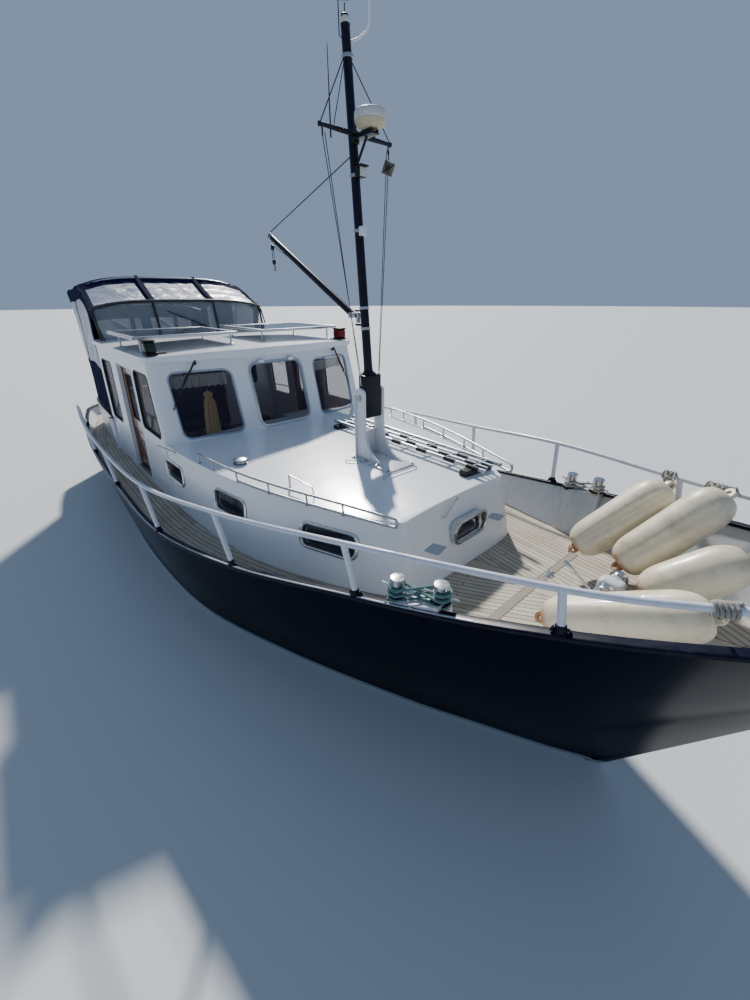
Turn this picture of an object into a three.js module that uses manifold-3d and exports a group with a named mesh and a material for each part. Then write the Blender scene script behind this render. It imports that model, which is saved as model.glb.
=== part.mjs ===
// Small steel fishing trawler with a low coachroof, a wheelhouse amidships and a canvas canopy aft.
// Millimetres. +X is forward, +Y is port, +Z is up. The origin is amidships on the waterline.
import * as THREE from "three";
import { mergeVertices } from "three/addons/utils/BufferGeometryUtils.js";
import Module from "manifold-3d";

const wasm = await Module();
wasm.setup();

const GAP = 0.5;

// Hull
const STEM_FOOT_X = 4640;
const STEM_RAKE = 0.53;
const BOW_TIP_X = 5712;
const STERN_ARC_X = -5000;
const STERN_TIP_X = -5790;
const BULWARK_WALL = 40;
const PLANK_THICKNESS = 14;
const KEEL_BAR_WIDTH = 70;

// Hull lines. Columns: x, gunwale half-breadth, sheer height, waterline half-breadth, deck height,
// height of the hull's lowest point
const LINES = [
  [-5790, 0, 1175, 0, 985, 760],
  [-5700, 690, 1170, 0, 985, 420],
  [-5400, 1290, 1155, 0, 980, 120],
  [-5000, 1500, 1135, 560, 975, -90],
  [-4300, 1640, 1105, 1130, 970, -410],
  [-3300, 1780, 1080, 1480, 970, -720],
  [-2000, 1865, 1075, 1660, 970, -850],
  [-500, 1895, 1090, 1710, 970, -880],
  [938, 1866, 1140, 1590, 985, -860],
  [2122, 1629, 1262, 1215, 1020, -790],
  [3293, 1302, 1506, 715, 1135, -660],
  [3900, 1120, 1640, 405, 1240, -520],
  [4384, 947, 1762, 150, 1340, -300],
  [4640, 838, 1825, 0, 1392, 0],
  [5000, 648, 1912, 0, 1455, 679],
  [5300, 452, 1970, 0, 1500, 1245],
  [5550, 232, 2015, 0, 1530, 1717],
  [5712, 0, 2045, 0, 1545, 2022],
];
const HULL_STATIONS = [
  -5790, -5745, -5650, -5500, -5320, -5130, -5000, -4830, -4600, -4300, -3850, -3300, -2000, -500, 938,
  2122, 2700, 3293, 3900,
  4384, 4640, 4800, 5000, 5150, 5300, 5430, 5550, 5640, 5712,
];

// Coachroof. Columns: x at the deck, half-breadth at the deck, x at the top edge, half-breadth there
const COACHROOF_LINES = [
  [3262, 430, 3068, 400],
  [3235, 640, 3045, 600],
  [3150, 760, 2965, 712],
  [2980, 862, 2820, 808],
  [2650, 1003, 2560, 940],
  [2150, 1180, 2100, 1112],
  [1587, 1325, 1560, 1258],
  [736, 1420, 720, 1362],
  [122, 1448, 122, 1404],
];
const COACHROOF_TOP_Z = 1712;
const COACHROOF_CAMBER = 45;
const CABIN_WALL = 45;

// Wheelhouse
const SIDE_FOOT_Y = 1450;
const SIDE_LEAN = 0.055;
const SIDE_FOOT_Z = 986;
const WHEELHOUSE_FRONT_Z = 1764;
const WHEELHOUSE_TOP_Z = 2585;
const WHEELHOUSE_AFT_X = -2650;
const FRONT_RAKE = 0.24;
const ROOF_THICKNESS = 48;
const ROOF_CAMBER = 40;
// Plan of the front's outer face at its foot. Columns: x, y
const FRONT_PLAN = [
  [405, 0],
  [400, 300],
  [375, 470],
  [195, 1216],
  [186, 1290],
  [158, 1356],
  [122, 1388],
  [90, 1404],
];

// Openings. Columns: name, lowest x or y, highest x or y, lowest z, highest z, lean of the front edge
const FRONT_WINDOWS = [
  ["starboard", -1215, -552, 1765, 2470],
  ["centre", -346, 346, 1795, 2500],
  ["port", 552, 1215, 1765, 2470],
];
const SIDE_WINDOWS = [
  ["fwd", -700, 30, 1760, 2440, 0.24],
  ["aft", -2480, -1900, 1560, 2400, 0],
];
const DOOR_X = [-1540, -800];
const DOOR_Z = [1030, 2430];
const DOOR_TRAVEL_ROOM = 8;
const DOOR_THICKNESS = 38;
const AFT_DOOR_Y = [-250, 450];

// Mast and derrick
const PIN = [1980, 0, 2360];
const MAST_TOP = [1752, 0, 4880];
const MAST_RADIUS = 32;
const GOOSENECK = [1828, 0, 3030];
const LUFF_PIN = [1758, 0, 3050];
const BOOM_TIP = [410, 0, 3765];
const YARD_X = 1860;
const YARD_Z = 4270;
const YARD_HALF = 335;
const YARD_RADIUS = 17;

// Guard rail tops, port side. Columns: x, y, z
const RAIL_TOP = [
  [5180, 475, 2142],
  [5020, 580, 2124],
  [4850, 668, 2094],
  [4339, 912, 2015],
  [3248, 1325, 1913],
  [2051, 1648, 1755],
  [851, 1872, 1644],
  [-700, 1905, 1565],
  [-2300, 1862, 1535],
  [-3650, 1748, 1520],
  [-3900, 1712, 1465],
  [-4000, 1695, 1180],
];
// Stanchions. Columns: x at the gunwale, y there, x at the rail, y there
const STANCHIONS = [
  [4384, 922, 4339, 912],
  [3293, 1277, 3248, 1325],
  [2122, 1604, 2051, 1648],
  [938, 1841, 851, 1872],
  [-700, 1869, -700, 1905],
  [-2300, 1822, -2300, 1862],
];
const RAIL_RADIUS = 18;

// Fenders. Columns: x, y, z of the lower end, x, y, z of the upper end
const FENDERS = [
  [3960, 330, 1500, 4310, 740, 1990],
  [4290, 230, 1560, 4640, 600, 2090],
  [4500, -10, 1572, 4860, 270, 1882],
  [4170, -555, 1500, 4840, -365, 1850],
];
const FENDER_RADIUS = 130;

const paint = (color, roughness = 0.45, metalness = 0) =>
  new THREE.MeshStandardMaterial({ color, roughness, metalness });
const NAVY = 0x0b1230;
const WHITE = 0xdfe4ea;
const GREY = 0xaab2bb;
const TEAK = 0x8a7f70;
const STEEL = 0xb9bdc2;
const WOOD = 0x6b3417;
const GLASS = 0x2a3138;
const CANVAS = 0x151c3c;
const BLACK = 0x141517;
const BRONZE = 0xa9803c;

const trawler = new THREE.Group();

// Smooth value of a column of LINES at a station x
function line(column, x) {
  const last = LINES.length - 1;
  if (x <= LINES[0][0]) return LINES[0][column];
  if (x >= LINES[last][0]) return LINES[last][column];
  const i = LINES.findIndex((row) => row[0] > x) - 1;
  const [a, b] = [LINES[i], LINES[i + 1]];
  const before = LINES[Math.max(0, i - 1)];
  const after = LINES[Math.min(last, i + 2)];
  const span = b[0] - a[0];
  const t = (x - a[0]) / span;
  const slopeA = (b[column] - before[column]) / (b[0] - before[0]);
  const slopeB = (after[column] - a[column]) / (after[0] - a[0]);
  const h00 = 2 * t ** 3 - 3 * t ** 2 + 1;
  const h10 = t ** 3 - 2 * t ** 2 + t;
  const h01 = -2 * t ** 3 + 3 * t ** 2;
  const h11 = t ** 3 - t ** 2;
  return h00 * a[column] + h10 * span * slopeA + h01 * b[column] + h11 * span * slopeB;
}
function gunwaleY(x) {
  if (x > STERN_ARC_X) return Math.max(0, line(1, x));
  const t = (STERN_ARC_X - x) / (STERN_ARC_X - STERN_TIP_X);
  return line(1, STERN_ARC_X) * Math.sqrt(Math.max(0, 1 - t * t));
}
const sheerZ = (x) => line(2, x);
const waterY = (x) => Math.max(0, line(3, x));
const deckZ = (x) => line(4, x);
const keelZ = (x) => (x > STEM_FOOT_X ? (x - STEM_FOOT_X) / STEM_RAKE : line(5, x));

// Solids
function solid(geometry) {
  const bare = geometry.index ? geometry.toNonIndexed() : geometry.clone();
  for (const name of Object.keys(bare.attributes)) {
    if (name !== "position") bare.deleteAttribute(name);
  }
  const merged = mergeVertices(bare, 1e-3);
  const index = merged.index.array;
  const kept = [];
  for (let i = 0; i < index.length; i += 3) {
    const [a, b, c] = [index[i], index[i + 1], index[i + 2]];
    if (a !== b && b !== c && c !== a) kept.push(a, b, c);
  }
  const made = new wasm.Manifold(
    new wasm.Mesh({
      numProp: 3,
      vertProperties: new Float32Array(merged.attributes.position.array),
      triVerts: new Uint32Array(kept),
    }),
  );
  return made;
}

// Closed skin over a row of rings with equal numbers of points. Each end is closed by a fan, or where
// the end is bent like a crescent, by triangles of its outline in the plane Y-Z.
function skin(rings, crescent = false) {
  const positions = [];
  const triangle = (a, b, c) => positions.push(...a, ...b, ...c);
  for (let i = 0; i + 1 < rings.length; i++) {
    const [r, s] = [rings[i], rings[i + 1]];
    for (let j = 0; j < r.length; j++) {
      const k = (j + 1) % r.length;
      triangle(r[j], s[j], s[k]);
      triangle(r[j], s[k], r[k]);
    }
  }
  const fan = (ring, turned) => {
    if (crescent) {
      const flat = ring.map(([, y, z]) => new THREE.Vector2(y, z));
      const spin = THREE.ShapeUtils.isClockWise(flat) === turned;
      for (const [a, b, c] of THREE.ShapeUtils.triangulateShape(flat, [])) {
        const area = signedArea(ring[a].slice(1), ring[b].slice(1), ring[c].slice(1));
        const [q, r] = area > 0 === spin ? [b, c] : [c, b];
        triangle(ring[a], ring[q], ring[r]);
      }
      return;
    }
    const centre = [0, 1, 2].map((axis) => ring.reduce((sum, p) => sum + p[axis], 0) / ring.length);
    for (let j = 0; j < ring.length; j++) {
      const k = (j + 1) % ring.length;
      if (turned) triangle(centre, ring[k], ring[j]);
      else triangle(centre, ring[j], ring[k]);
    }
  };
  fan(rings[0], false);
  fan(rings[rings.length - 1], true);
  let volume = 0;
  for (let i = 0; i < positions.length; i += 9) {
    const [ax, ay, az, bx, by, bz, cx, cy, cz] = positions.slice(i, i + 9);
    volume += ax * (by * cz - bz * cy) + ay * (bz * cx - bx * cz) + az * (bx * cy - by * cx);
  }
  if (volume < 0) {
    for (let i = 0; i < positions.length; i += 9) {
      const b = positions.slice(i + 3, i + 6);
      for (let j = 0; j < 3; j++) {
        positions[i + 3 + j] = positions[i + 6 + j];
        positions[i + 6 + j] = b[j];
      }
    }
  }
  const geometry = new THREE.BufferGeometry();
  geometry.setAttribute("position", new THREE.Float32BufferAttribute(positions, 3));
  return solid(geometry);
}
function box(x0, x1, y0, y1, z0, z1) {
  const geometry = new THREE.BoxGeometry(x1 - x0, y1 - y0, z1 - z0);
  return solid(geometry.translate((x0 + x1) / 2, (y0 + y1) / 2, (z0 + z1) / 2));
}
function rod(from, to, radius, sides = 12, topRadius = radius) {
  const [a, b] = [new THREE.Vector3(...from), new THREE.Vector3(...to)];
  const along = b.clone().sub(a);
  const geometry = new THREE.CylinderGeometry(topRadius, radius, along.length(), sides);
  const turn = new THREE.Quaternion().setFromUnitVectors(
    new THREE.Vector3(0, 1, 0),
    along.clone().normalize(),
  );
  geometry.applyQuaternion(turn).translate(...a.add(b).multiplyScalar(0.5).toArray());
  return solid(geometry);
}
function tube(points, radius, steps, sides = 8) {
  const path = new THREE.CatmullRomCurve3(
    points.map((p) => new THREE.Vector3(...p)),
    false,
    "centripetal",
  );
  const circle = new THREE.Shape();
  for (let i = 0; i < sides; i++) {
    const angle = (2 * Math.PI * (i + 0.5)) / sides;
    const at = [radius * Math.cos(angle), radius * Math.sin(angle)];
    if (i === 0) circle.moveTo(...at);
    else circle.lineTo(...at);
  }
  return solid(new THREE.ExtrudeGeometry(circle, { steps, extrudePath: path, bevelEnabled: false }));
}
// Outline in the plane X-Z, pushed along Y from y0 to y1
function slabXZ(outline, y0, y1) {
  const shape = new THREE.Shape(outline.map(([x, z]) => new THREE.Vector2(x, z)));
  const geometry = new THREE.ExtrudeGeometry(shape, { depth: y1 - y0, bevelEnabled: false });
  return solid(geometry.rotateX(Math.PI / 2).translate(0, y1, 0));
}
// Closed outline with each corner rounded
function rounded(corners, radius, arcPoints = 4) {
  const points = corners.map((p) => new THREE.Vector2(...p));
  const outline = [];
  points.forEach((corner, i) => {
    const before = points[(i + points.length - 1) % points.length];
    const after = points[(i + 1) % points.length];
    const from = corner.clone().add(before.clone().sub(corner).setLength(radius));
    const to = corner.clone().add(after.clone().sub(corner).setLength(radius));
    const arc = new THREE.QuadraticBezierCurve(from, corner, to);
    for (const p of arc.getPoints(arcPoints)) outline.push([p.x, p.y]);
  });
  return outline;
}
const rectangle = (a0, a1, z0, z1) => [
  [a0, z0],
  [a1, z0],
  [a1, z1],
  [a0, z1],
];
const roundedRect = (a0, a1, z0, z1, radius) => rounded(rectangle(a0, a1, z0, z1), radius);
function prismX(outline, x0, x1) {
  const shape = new THREE.Shape(outline.map(([y, z]) => new THREE.Vector2(y, z)));
  const geometry = new THREE.ExtrudeGeometry(shape, { depth: x1 - x0, bevelEnabled: false });
  geometry.rotateX(Math.PI / 2).rotateZ(Math.PI / 2);
  return solid(geometry.translate(x0, 0, 0));
}
const join = (...solids) => solids.reduce((sum, piece) => sum.add(piece));
const mirror = (made) => made.mirror([0, 1, 0]);
// The largest body of a cut solid, without the slivers beside it
const largest = (made) => made.decompose().reduce((a, b) => (a.volume() > b.volume() ? a : b));

function addPart(name, made, material) {
  const mesh = made.getMesh();
  const geometry = new THREE.BufferGeometry();
  geometry.setAttribute("position", new THREE.BufferAttribute(mesh.vertProperties, 3));
  geometry.setIndex(new THREE.BufferAttribute(mesh.triVerts, 1));
  geometry.computeVertexNormals();
  const part = new THREE.Mesh(geometry, material);
  part.name = name;
  trawler.add(part);
}
function addPair(name, made, material) {
  addPart(name + "_port", made, material);
  addPart(name + "_starboard", mirror(made), material.clone());
}

// Hull plating as a closed form, drawn in by inset and with its top raised by rise
function hullForm(inset, rise, stations) {
  const rings = stations.map((x) => {
    const low = keelZ(x);
    const top = sheerZ(x);
    const water = waterY(x);
    const side = gunwaleY(x);
    let half;
    if (low < 0 && water > 0) {
      half = [
        [0, low],
        [0.46 * water, 0.94 * low],
        [0.82 * water, 0.7 * low],
        [0.96 * water, 0.34 * low],
        [water, 0],
        [water + 0.52 * (side - water), 0.5 * top],
        [side, top],
      ];
    } else {
      const fullness = x > 0 ? 0.47 : 0.7 + 0.16 * Math.min(1, (STERN_ARC_X - x) / 500);
      const swell = x > 0 ? 1 : 0.7;
      half = [0, 0.2, 0.4, 0.6, 0.8, 1].map((f) => [
        fullness * side * f ** swell,
        low + 0.5 * f * (top - low),
      ]);
      half.push([side, top]);
    }
    const points = half.map(([y, z], i) => [x, Math.max(0, y - inset), i === 6 ? z + rise : z]);
    points[0][1] = 0;
    const otherSide = points.slice(1).map(([px, py, pz]) => [px, -py, pz]);
    return [...points, ...otherSide.reverse()];
  });
  const half = skin(rings).intersect(box(-6000, 6000, 0, 4000, -3000, 6000));
  return half.add(mirror(half));
}
// Everything between two heights that follow the deck
function deckBand(low, high) {
  const xs = [];
  for (let x = -6100; x <= 6100; x += 400) xs.push(x);
  const outline = xs.map((x) => [x, Math.max(deckZ(x) + low, -2500)]);
  const back = xs.map((x) => [x, deckZ(x) + high]).reverse();
  return slabXZ([...outline, ...back], -2500, 2500);
}
// Everything below the sheer, raised by rise and wide enough to cut what stands on the gunwale
const SHEER_STATIONS = [-5850, ...HULL_STATIONS, 5770];
const belowSheer = (rise) => hullForm(-300, rise, SHEER_STATIONS);
// A bar that follows the gunwale on the port side, from inner to outer across it
function gunwaleBar(inner, outer) {
  const at = (x) => new THREE.Vector3(x, gunwaleY(x), sheerZ(x));
  const rings = HULL_STATIONS.map((x) => {
    const p = at(x);
    const ahead = at(Math.min(BOW_TIP_X, x + 12));
    const behind = at(Math.max(STERN_TIP_X, x - 12));
    const along = ahead.sub(behind).setZ(0).normalize();
    const out = new THREE.Vector3(-along.y, along.x, 0);
    const corner = (across, up) => [p.x + out.x * across, p.y + out.y * across, p.z + up];
    return [corner(inner, -200), corner(outer, -200), corner(outer, 200), corner(inner, 200)];
  });
  return skin(rings);
}

const fullHull = hullForm(0, 0, HULL_STATIONS);
const INNER_STATIONS = [-5752, ...HULL_STATIONS.filter((x) => x > -5750 && x < 5600), 5610];
const innerHull = hullForm(BULWARK_WALL, 300, INNER_STATIONS);
const RUDDER_STOCK_X = -4960;
const stockHole = rod([RUDDER_STOCK_X, 0, -600], [RUDDER_STOCK_X, 0, 90], 38, 16);
addPart("hull", fullHull.intersect(deckBand(-9000, 0)).subtract(stockHole), paint(NAVY, 0.25));

const bulwark = fullHull.subtract(innerHull).intersect(deckBand(GAP, 900));
const portHalf = box(-6000, 6000, GAP, 2500, -2000, 6000);
addPair("bulwark", bulwark.intersect(portHalf), paint(GREY, 0.5));
const CAPPING_TOP = 26;
const capping = gunwaleBar(-52, 10)
  .intersect(belowSheer(CAPPING_TOP))
  .subtract(belowSheer(GAP))
  .intersect(portHalf);
addPair("capping", largest(capping), paint(NAVY, 0.3));
const aboveCapping = (made) => made.subtract(belowSheer(CAPPING_TOP + GAP));

// Plan of the deckhouse at the deck, to keep the planking outside it
function houseFootprint(clearance, z0, z1) {
  const half = COACHROOF_LINES.map(([x, y]) => [x + clearance, y + clearance]);
  const side = [...half, [WHEELHOUSE_AFT_X - clearance, SIDE_FOOT_Y + clearance]];
  const ring = (z) => [
    ...side.map(([x, y]) => [x, y, z]),
    ...side.map(([x, y]) => [x, -y, z]).reverse(),
  ];
  return skin([ring(z0), ring(z1)]);
}
const planking = hullForm(BULWARK_WALL + 3, 300, INNER_STATIONS)
  .intersect(deckBand(GAP, PLANK_THICKNESS))
  .subtract(houseFootprint(4, 400, 2500));
addPart("deck_planking", planking, paint(TEAK, 0.8));

// Keel bar with the heel that carries the rudder
const SHAFT_Z = -640;
const PROPELLER_X = -4520;
const HEEL_Z = -1090;
const keelProfile = [
  [3900, -300],
  [3700, -760],
  [3350, -905],
  [2600, -990],
  [0, -1080],
  [-3900, -1150],
  [-5060, -1150],
  [-5060, HEEL_Z],
  [-4240, HEEL_Z],
  [-4200, -400],
  [-3000, -300],
];
const grownHull = hullForm(-1, 0, HULL_STATIONS).translate(0, 0, -1);
const shaftTunnel = rod([-3000, 0, SHAFT_Z], [-4400, 0, SHAFT_Z], 42.5, 16);
const keelBar = slabXZ(keelProfile, -KEEL_BAR_WIDTH / 2, KEEL_BAR_WIDTH / 2).subtract(grownHull);
const boss = rod([-3950, 0, SHAFT_Z], [-4230, 0, SHAFT_Z], 75, 16);
const keelWithBoss = keelBar.add(boss).subtract(shaftTunnel).subtract(grownHull);
addPart("keel_bar", keelWithBoss, paint(0x2a1512, 0.7));

// Propeller and its shaft
const SHAFT_RADIUS = 20;
addPart(
  "propeller_shaft",
  rod([-4000, 0, SHAFT_Z], [PROPELLER_X + 50, 0, SHAFT_Z], SHAFT_RADIUS, 12),
  paint(STEEL, 0.3, 1),
);
function propeller() {
  const hub = rod([PROPELLER_X + 49, 0, SHAFT_Z], [PROPELLER_X - 60, 0, SHAFT_Z], 55, 16, 34);
  const blades = [];
  for (let i = 0; i < 4; i++) {
    const rings = [
      [30, 34, 55],
      [110, 30, 105],
      [200, 22, 118],
      [262, 12, 60],
    ].map(([r, pitch, chord]) => {
      const lean = THREE.MathUtils.degToRad(pitch + 12);
      const ahead = Math.sin(lean) * chord * 0.5;
      const across = Math.cos(lean) * chord * 0.5;
      return [
        [-ahead - 5, -across, r],
        [ahead - 5, across, r],
        [ahead + 5, across, r],
        [-ahead + 5, -across, r],
      ];
    });
    const blade = skin(rings).rotate([90 * i + 20, 0, 0]).translate(PROPELLER_X, 0, SHAFT_Z);
    blades.push(blade);
  }
  return join(hub, ...blades);
}
addPart("propeller", propeller(), paint(BRONZE, 0.35, 1));

// Rudder: a flat blade on a stock that stands in the heel
const rudderProfile = [
  [RUDDER_STOCK_X + 70, -1070],
  [RUDDER_STOCK_X + 70, -330],
  [RUDDER_STOCK_X - 60, -250],
  [RUDDER_STOCK_X - 420, -130],
  [RUDDER_STOCK_X - 440, -1010],
  [RUDDER_STOCK_X - 360, -1070],
];
const rudderBlade = slabXZ(rudderProfile, -22, 22);
const stock = rod([RUDDER_STOCK_X, 0, -1080], [RUDDER_STOCK_X, 0, 75], 30, 12);
addPart("rudder", rudderBlade.add(stock), paint(0x2a1512, 0.7));

// Coachroof: raked front, sides that follow the deck edge, cambered top
function coachroofForm(inset, drop) {
  const across = [1, 0.66, 0.33, 0, -0.33, -0.66, -1];
  const rings = COACHROOF_LINES.map(([footX, footY, topX, topY], i) => {
    const aftEnd = i === COACHROOF_LINES.length - 1;
    const shift = aftEnd ? -Math.abs(inset) * 2 : -inset;
    const foot = deckZ(footX) - (inset ? 400 : 100);
    const top = across.map((f) => {
      const y = f * (topY - inset);
      const crown = COACHROOF_CAMBER * (1 - f * f);
      return [topX + shift, y, COACHROOF_TOP_Z + crown - drop + 14 * (i / 8)];
    });
    return [
      [footX + shift, footY - inset, foot],
      ...top,
      [footX + shift, -(footY - inset), foot],
    ];
  });
  return skin(rings);
}
const PORTHOLES = [2560, 1430];
const PORTHOLE_Z = [1340, 1560];
const PORTHOLE_WIDTH = 500;
const PORTHOLE_RADIUS = 60;
const portholeCuts = PORTHOLES.map((x) =>
  slabXZ(
    roundedRect(x - PORTHOLE_WIDTH / 2, x + PORTHOLE_WIDTH / 2, ...PORTHOLE_Z, PORTHOLE_RADIUS),
    -2000,
    2000,
  ),
);
const houseClip = box(-200, 4000, -2000, 2000, 400, 3000);
const coachroof = coachroofForm(0, 0)
  .subtract(coachroofForm(CABIN_WALL, CABIN_WALL).intersect(houseClip))
  .subtract(box(-200, 122 + GAP, -2000, 2000, 400, 3000))
  .subtract(deckBand(-3000, GAP));
addPart(
  "coachroof",
  portholeCuts.reduce((sum, cut) => sum.subtract(cut), coachroof),
  paint(WHITE, 0.35),
);

// Wheelhouse walls
const sideY = (z) => SIDE_FOOT_Y - SIDE_LEAN * (z - SIDE_FOOT_Z);
function frontPlan(z, inset) {
  const shift = -FRONT_RAKE * (z - WHEELHOUSE_FRONT_Z);
  const squeeze = sideY(z) / FRONT_PLAN[FRONT_PLAN.length - 1][1];
  const half = FRONT_PLAN.map(([x, y], i) => {
    const last = i === FRONT_PLAN.length - 1;
    const along = last ? [0, 1] : [1, Math.min(1, (y / 1400) ** 3)];
    return [x + shift - inset * along[0], y * squeeze - inset * along[1], z];
  });
  const otherSide = half.slice(1).map(([x, y, pz]) => [x, -y, pz]);
  return [...otherSide.reverse(), ...half];
}
// A band that follows the front, from outerInset to innerInset behind its outer face
function frontBand(outerInset, innerInset, z0, z1) {
  const ring = (z) => [...frontPlan(z, outerInset), ...frontPlan(z, innerInset).reverse()];
  return shellBetween(ring(z0), ring(z1));
}
// Closed solid between two plan outlines that aren't star-shaped
function shellBetween(low, high) {
  const flat = low.map(([x, y]) => new THREE.Vector2(x, y));
  const faces = THREE.ShapeUtils.triangulateShape(flat, []);
  const positions = [];
  const clockwise = THREE.ShapeUtils.isClockWise(flat);
  const put = (a, b, c) =>
    clockwise ? positions.push(...a, ...c, ...b) : positions.push(...a, ...b, ...c);
  for (let j = 0; j < low.length; j++) {
    const k = (j + 1) % low.length;
    put(low[j], low[k], high[k]);
    put(low[j], high[k], high[j]);
  }
  for (const [a, b, c] of faces) {
    const up = signedArea(high[a], high[b], high[c]) > 0;
    const [p, q] = up ? [b, c] : [c, b];
    positions.push(...high[a], ...high[p], ...high[q]);
    positions.push(...low[a], ...low[q], ...low[p]);
  }
  const geometry = new THREE.BufferGeometry();
  geometry.setAttribute("position", new THREE.Float32BufferAttribute(positions, 3));
  return solid(geometry);
}
function signedArea(a, b, c) {
  return (b[0] - a[0]) * (c[1] - a[1]) - (c[0] - a[0]) * (b[1] - a[1]);
}

const frontHole = ([, y0, y1, z0, z1], shrink) =>
  prismX(roundedRect(y0 + shrink, y1 - shrink, z0 + shrink, z1 - shrink, 90 - shrink), -400, 800);
const FRONT_FOOT_Z = 1700;
const frontWall = frontBand(0, CABIN_WALL, FRONT_FOOT_Z + GAP, WHEELHOUSE_TOP_Z - GAP);
const coachroofTop = coachroofForm(-1, -1);
addPart(
  "wheelhouse_front",
  FRONT_WINDOWS.reduce((sum, row) => sum.subtract(frontHole(row, 0)), frontWall).subtract(coachroofTop),
  paint(WHITE, 0.35),
);
for (const row of FRONT_WINDOWS) {
  const pane = frontBand(20, 26, WHEELHOUSE_FRONT_Z, WHEELHOUSE_TOP_Z).intersect(frontHole(row, 1));
  addPart("front_glass_" + row[0], pane, paint(GLASS, 0.05));
}

// A leaning panel of the port side, between two depths behind the outer face
function sidePanel(outline, depth0, depth1) {
  const at = (depth) => outline.map(([x, z]) => [x, sideY(z) - depth, z]);
  const [outer, inner] = [at(depth0), at(depth1)];
  const flat = outline.map(([x, z]) => new THREE.Vector2(x, z));
  const faces = THREE.ShapeUtils.triangulateShape(flat, []);
  const turned = THREE.ShapeUtils.isClockWise(flat);
  const positions = [];
  const put = (a, b, c) =>
    turned ? positions.push(...a, ...b, ...c) : positions.push(...a, ...c, ...b);
  for (let j = 0; j < outline.length; j++) {
    const k = (j + 1) % outline.length;
    put(outer[j], inner[k], outer[k]);
    put(outer[j], inner[j], inner[k]);
  }
  for (const [a, b, c] of faces) {
    const [p, q] = signedArea(outline[a], outline[b], outline[c]) > 0 ? [c, b] : [b, c];
    positions.push(...outer[a], ...outer[p], ...outer[q]);
    positions.push(...inner[a], ...inner[q], ...inner[p]);
  }
  const geometry = new THREE.BufferGeometry();
  geometry.setAttribute("position", new THREE.Float32BufferAttribute(positions, 3));
  return solid(geometry);
}
const frontEndX = (z) => FRONT_PLAN[FRONT_PLAN.length - 1][0] - FRONT_RAKE * (z - WHEELHOUSE_FRONT_Z);
const sideOutline = [
  [WHEELHOUSE_AFT_X, SIDE_FOOT_Z],
  [122 - GAP, SIDE_FOOT_Z],
  [122 - GAP, FRONT_FOOT_Z],
  [frontEndX(FRONT_FOOT_Z) - GAP, FRONT_FOOT_Z + GAP / 2],
  [frontEndX(WHEELHOUSE_TOP_Z) - GAP, WHEELHOUSE_TOP_Z - GAP],
  [WHEELHOUSE_AFT_X, WHEELHOUSE_TOP_Z - GAP],
];
// A side window's outline, drawn in by shrink, with its front edge leaning like the front
function sideWindow([, x0, x1, z0, z1, lean], shrink) {
  const corners = [
    [x0 + shrink, z0 + shrink],
    [x1 - shrink, z0 + shrink],
    [x1 - shrink - lean * (z1 - z0), z1 - shrink],
    [x0 + shrink, z1 - shrink],
  ];
  return rounded(corners, 70 - shrink);
}
let sideWall = sidePanel(sideOutline, 0, CABIN_WALL);
for (const window of SIDE_WINDOWS) {
  sideWall = sideWall.subtract(slabXZ(sideWindow(window, 0), 1000, 2000));
}
const DOOR_TRACK_X = [-2330, -740];
const doorTrackOutline = rectangle(...DOOR_TRACK_X, DOOR_Z[1] + 31, DOOR_Z[1] + 66);
const doorTrack = sidePanel(doorTrackOutline, CABIN_WALL - 5, 104);
sideWall = sideWall
  .subtract(slabXZ(rectangle(...DOOR_X, ...DOOR_Z), 1000, 2000))
  .add(doorTrack)
  .subtract(frontBand(-4 * GAP, CABIN_WALL + 4 * GAP, WHEELHOUSE_FRONT_Z, WHEELHOUSE_TOP_Z + 10));
addPair("wheelhouse_side", sideWall, paint(WHITE, 0.35));
for (const window of SIDE_WINDOWS) {
  const [name, x0, x1, z0, z1] = window;
  const sheet = sidePanel(rectangle(x0 - 50, x1 + 50, z0 - 50, z1 + 50), 18, 24);
  const pane = sheet.intersect(slabXZ(sideWindow(window, 1), 1000, 2000));
  addPair("side_glass_" + name, pane, paint(GLASS, 0.05));
}

// Sliding doors, hung inside the side walls
const leafInset = CABIN_WALL + DOOR_TRAVEL_ROOM;
const leafOutline = rectangle(DOOR_X[0] - 45, DOOR_X[1] + 45, DOOR_Z[0] - 20, DOOR_Z[1] + 25);
const lightOutline = roundedRect(DOOR_X[0] + 90, DOOR_X[1] - 90, 1720, 2330, 40);
const leaf = sidePanel(leafOutline, leafInset, leafInset + DOOR_THICKNESS).subtract(
  slabXZ(lightOutline, 1000, 2000),
);
addPair("door", leaf, paint(WOOD, 0.4));

// Aft wall with its window and the doorway to the aft deck
const aftHalfWidth = (z) => sideY(z) - CABIN_WALL - GAP;
const aftRing = (x) => [
  [x, -aftHalfWidth(SIDE_FOOT_Z), SIDE_FOOT_Z],
  [x, aftHalfWidth(SIDE_FOOT_Z), SIDE_FOOT_Z],
  [x, aftHalfWidth(WHEELHOUSE_TOP_Z), WHEELHOUSE_TOP_Z - GAP],
  [x, -aftHalfWidth(WHEELHOUSE_TOP_Z), WHEELHOUSE_TOP_Z - GAP],
];
const AFT_WINDOWS = [
  ["starboard", -1080, -420, 1720, 2380],
  ["port", 620, 1120, 1720, 2380],
];
let aftWall = skin([aftRing(WHEELHOUSE_AFT_X), aftRing(WHEELHOUSE_AFT_X + CABIN_WALL)]);
aftWall = aftWall.subtract(prismX(roundedRect(...AFT_DOOR_Y, ...DOOR_Z, 50), -3000, -2000));
for (const [, y0, y1, z0, z1] of AFT_WINDOWS) {
  aftWall = aftWall.subtract(prismX(roundedRect(y0, y1, z0, z1, 60), -3000, -2000));
}
addPart("wheelhouse_aft", aftWall, paint(WHITE, 0.35));
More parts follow.
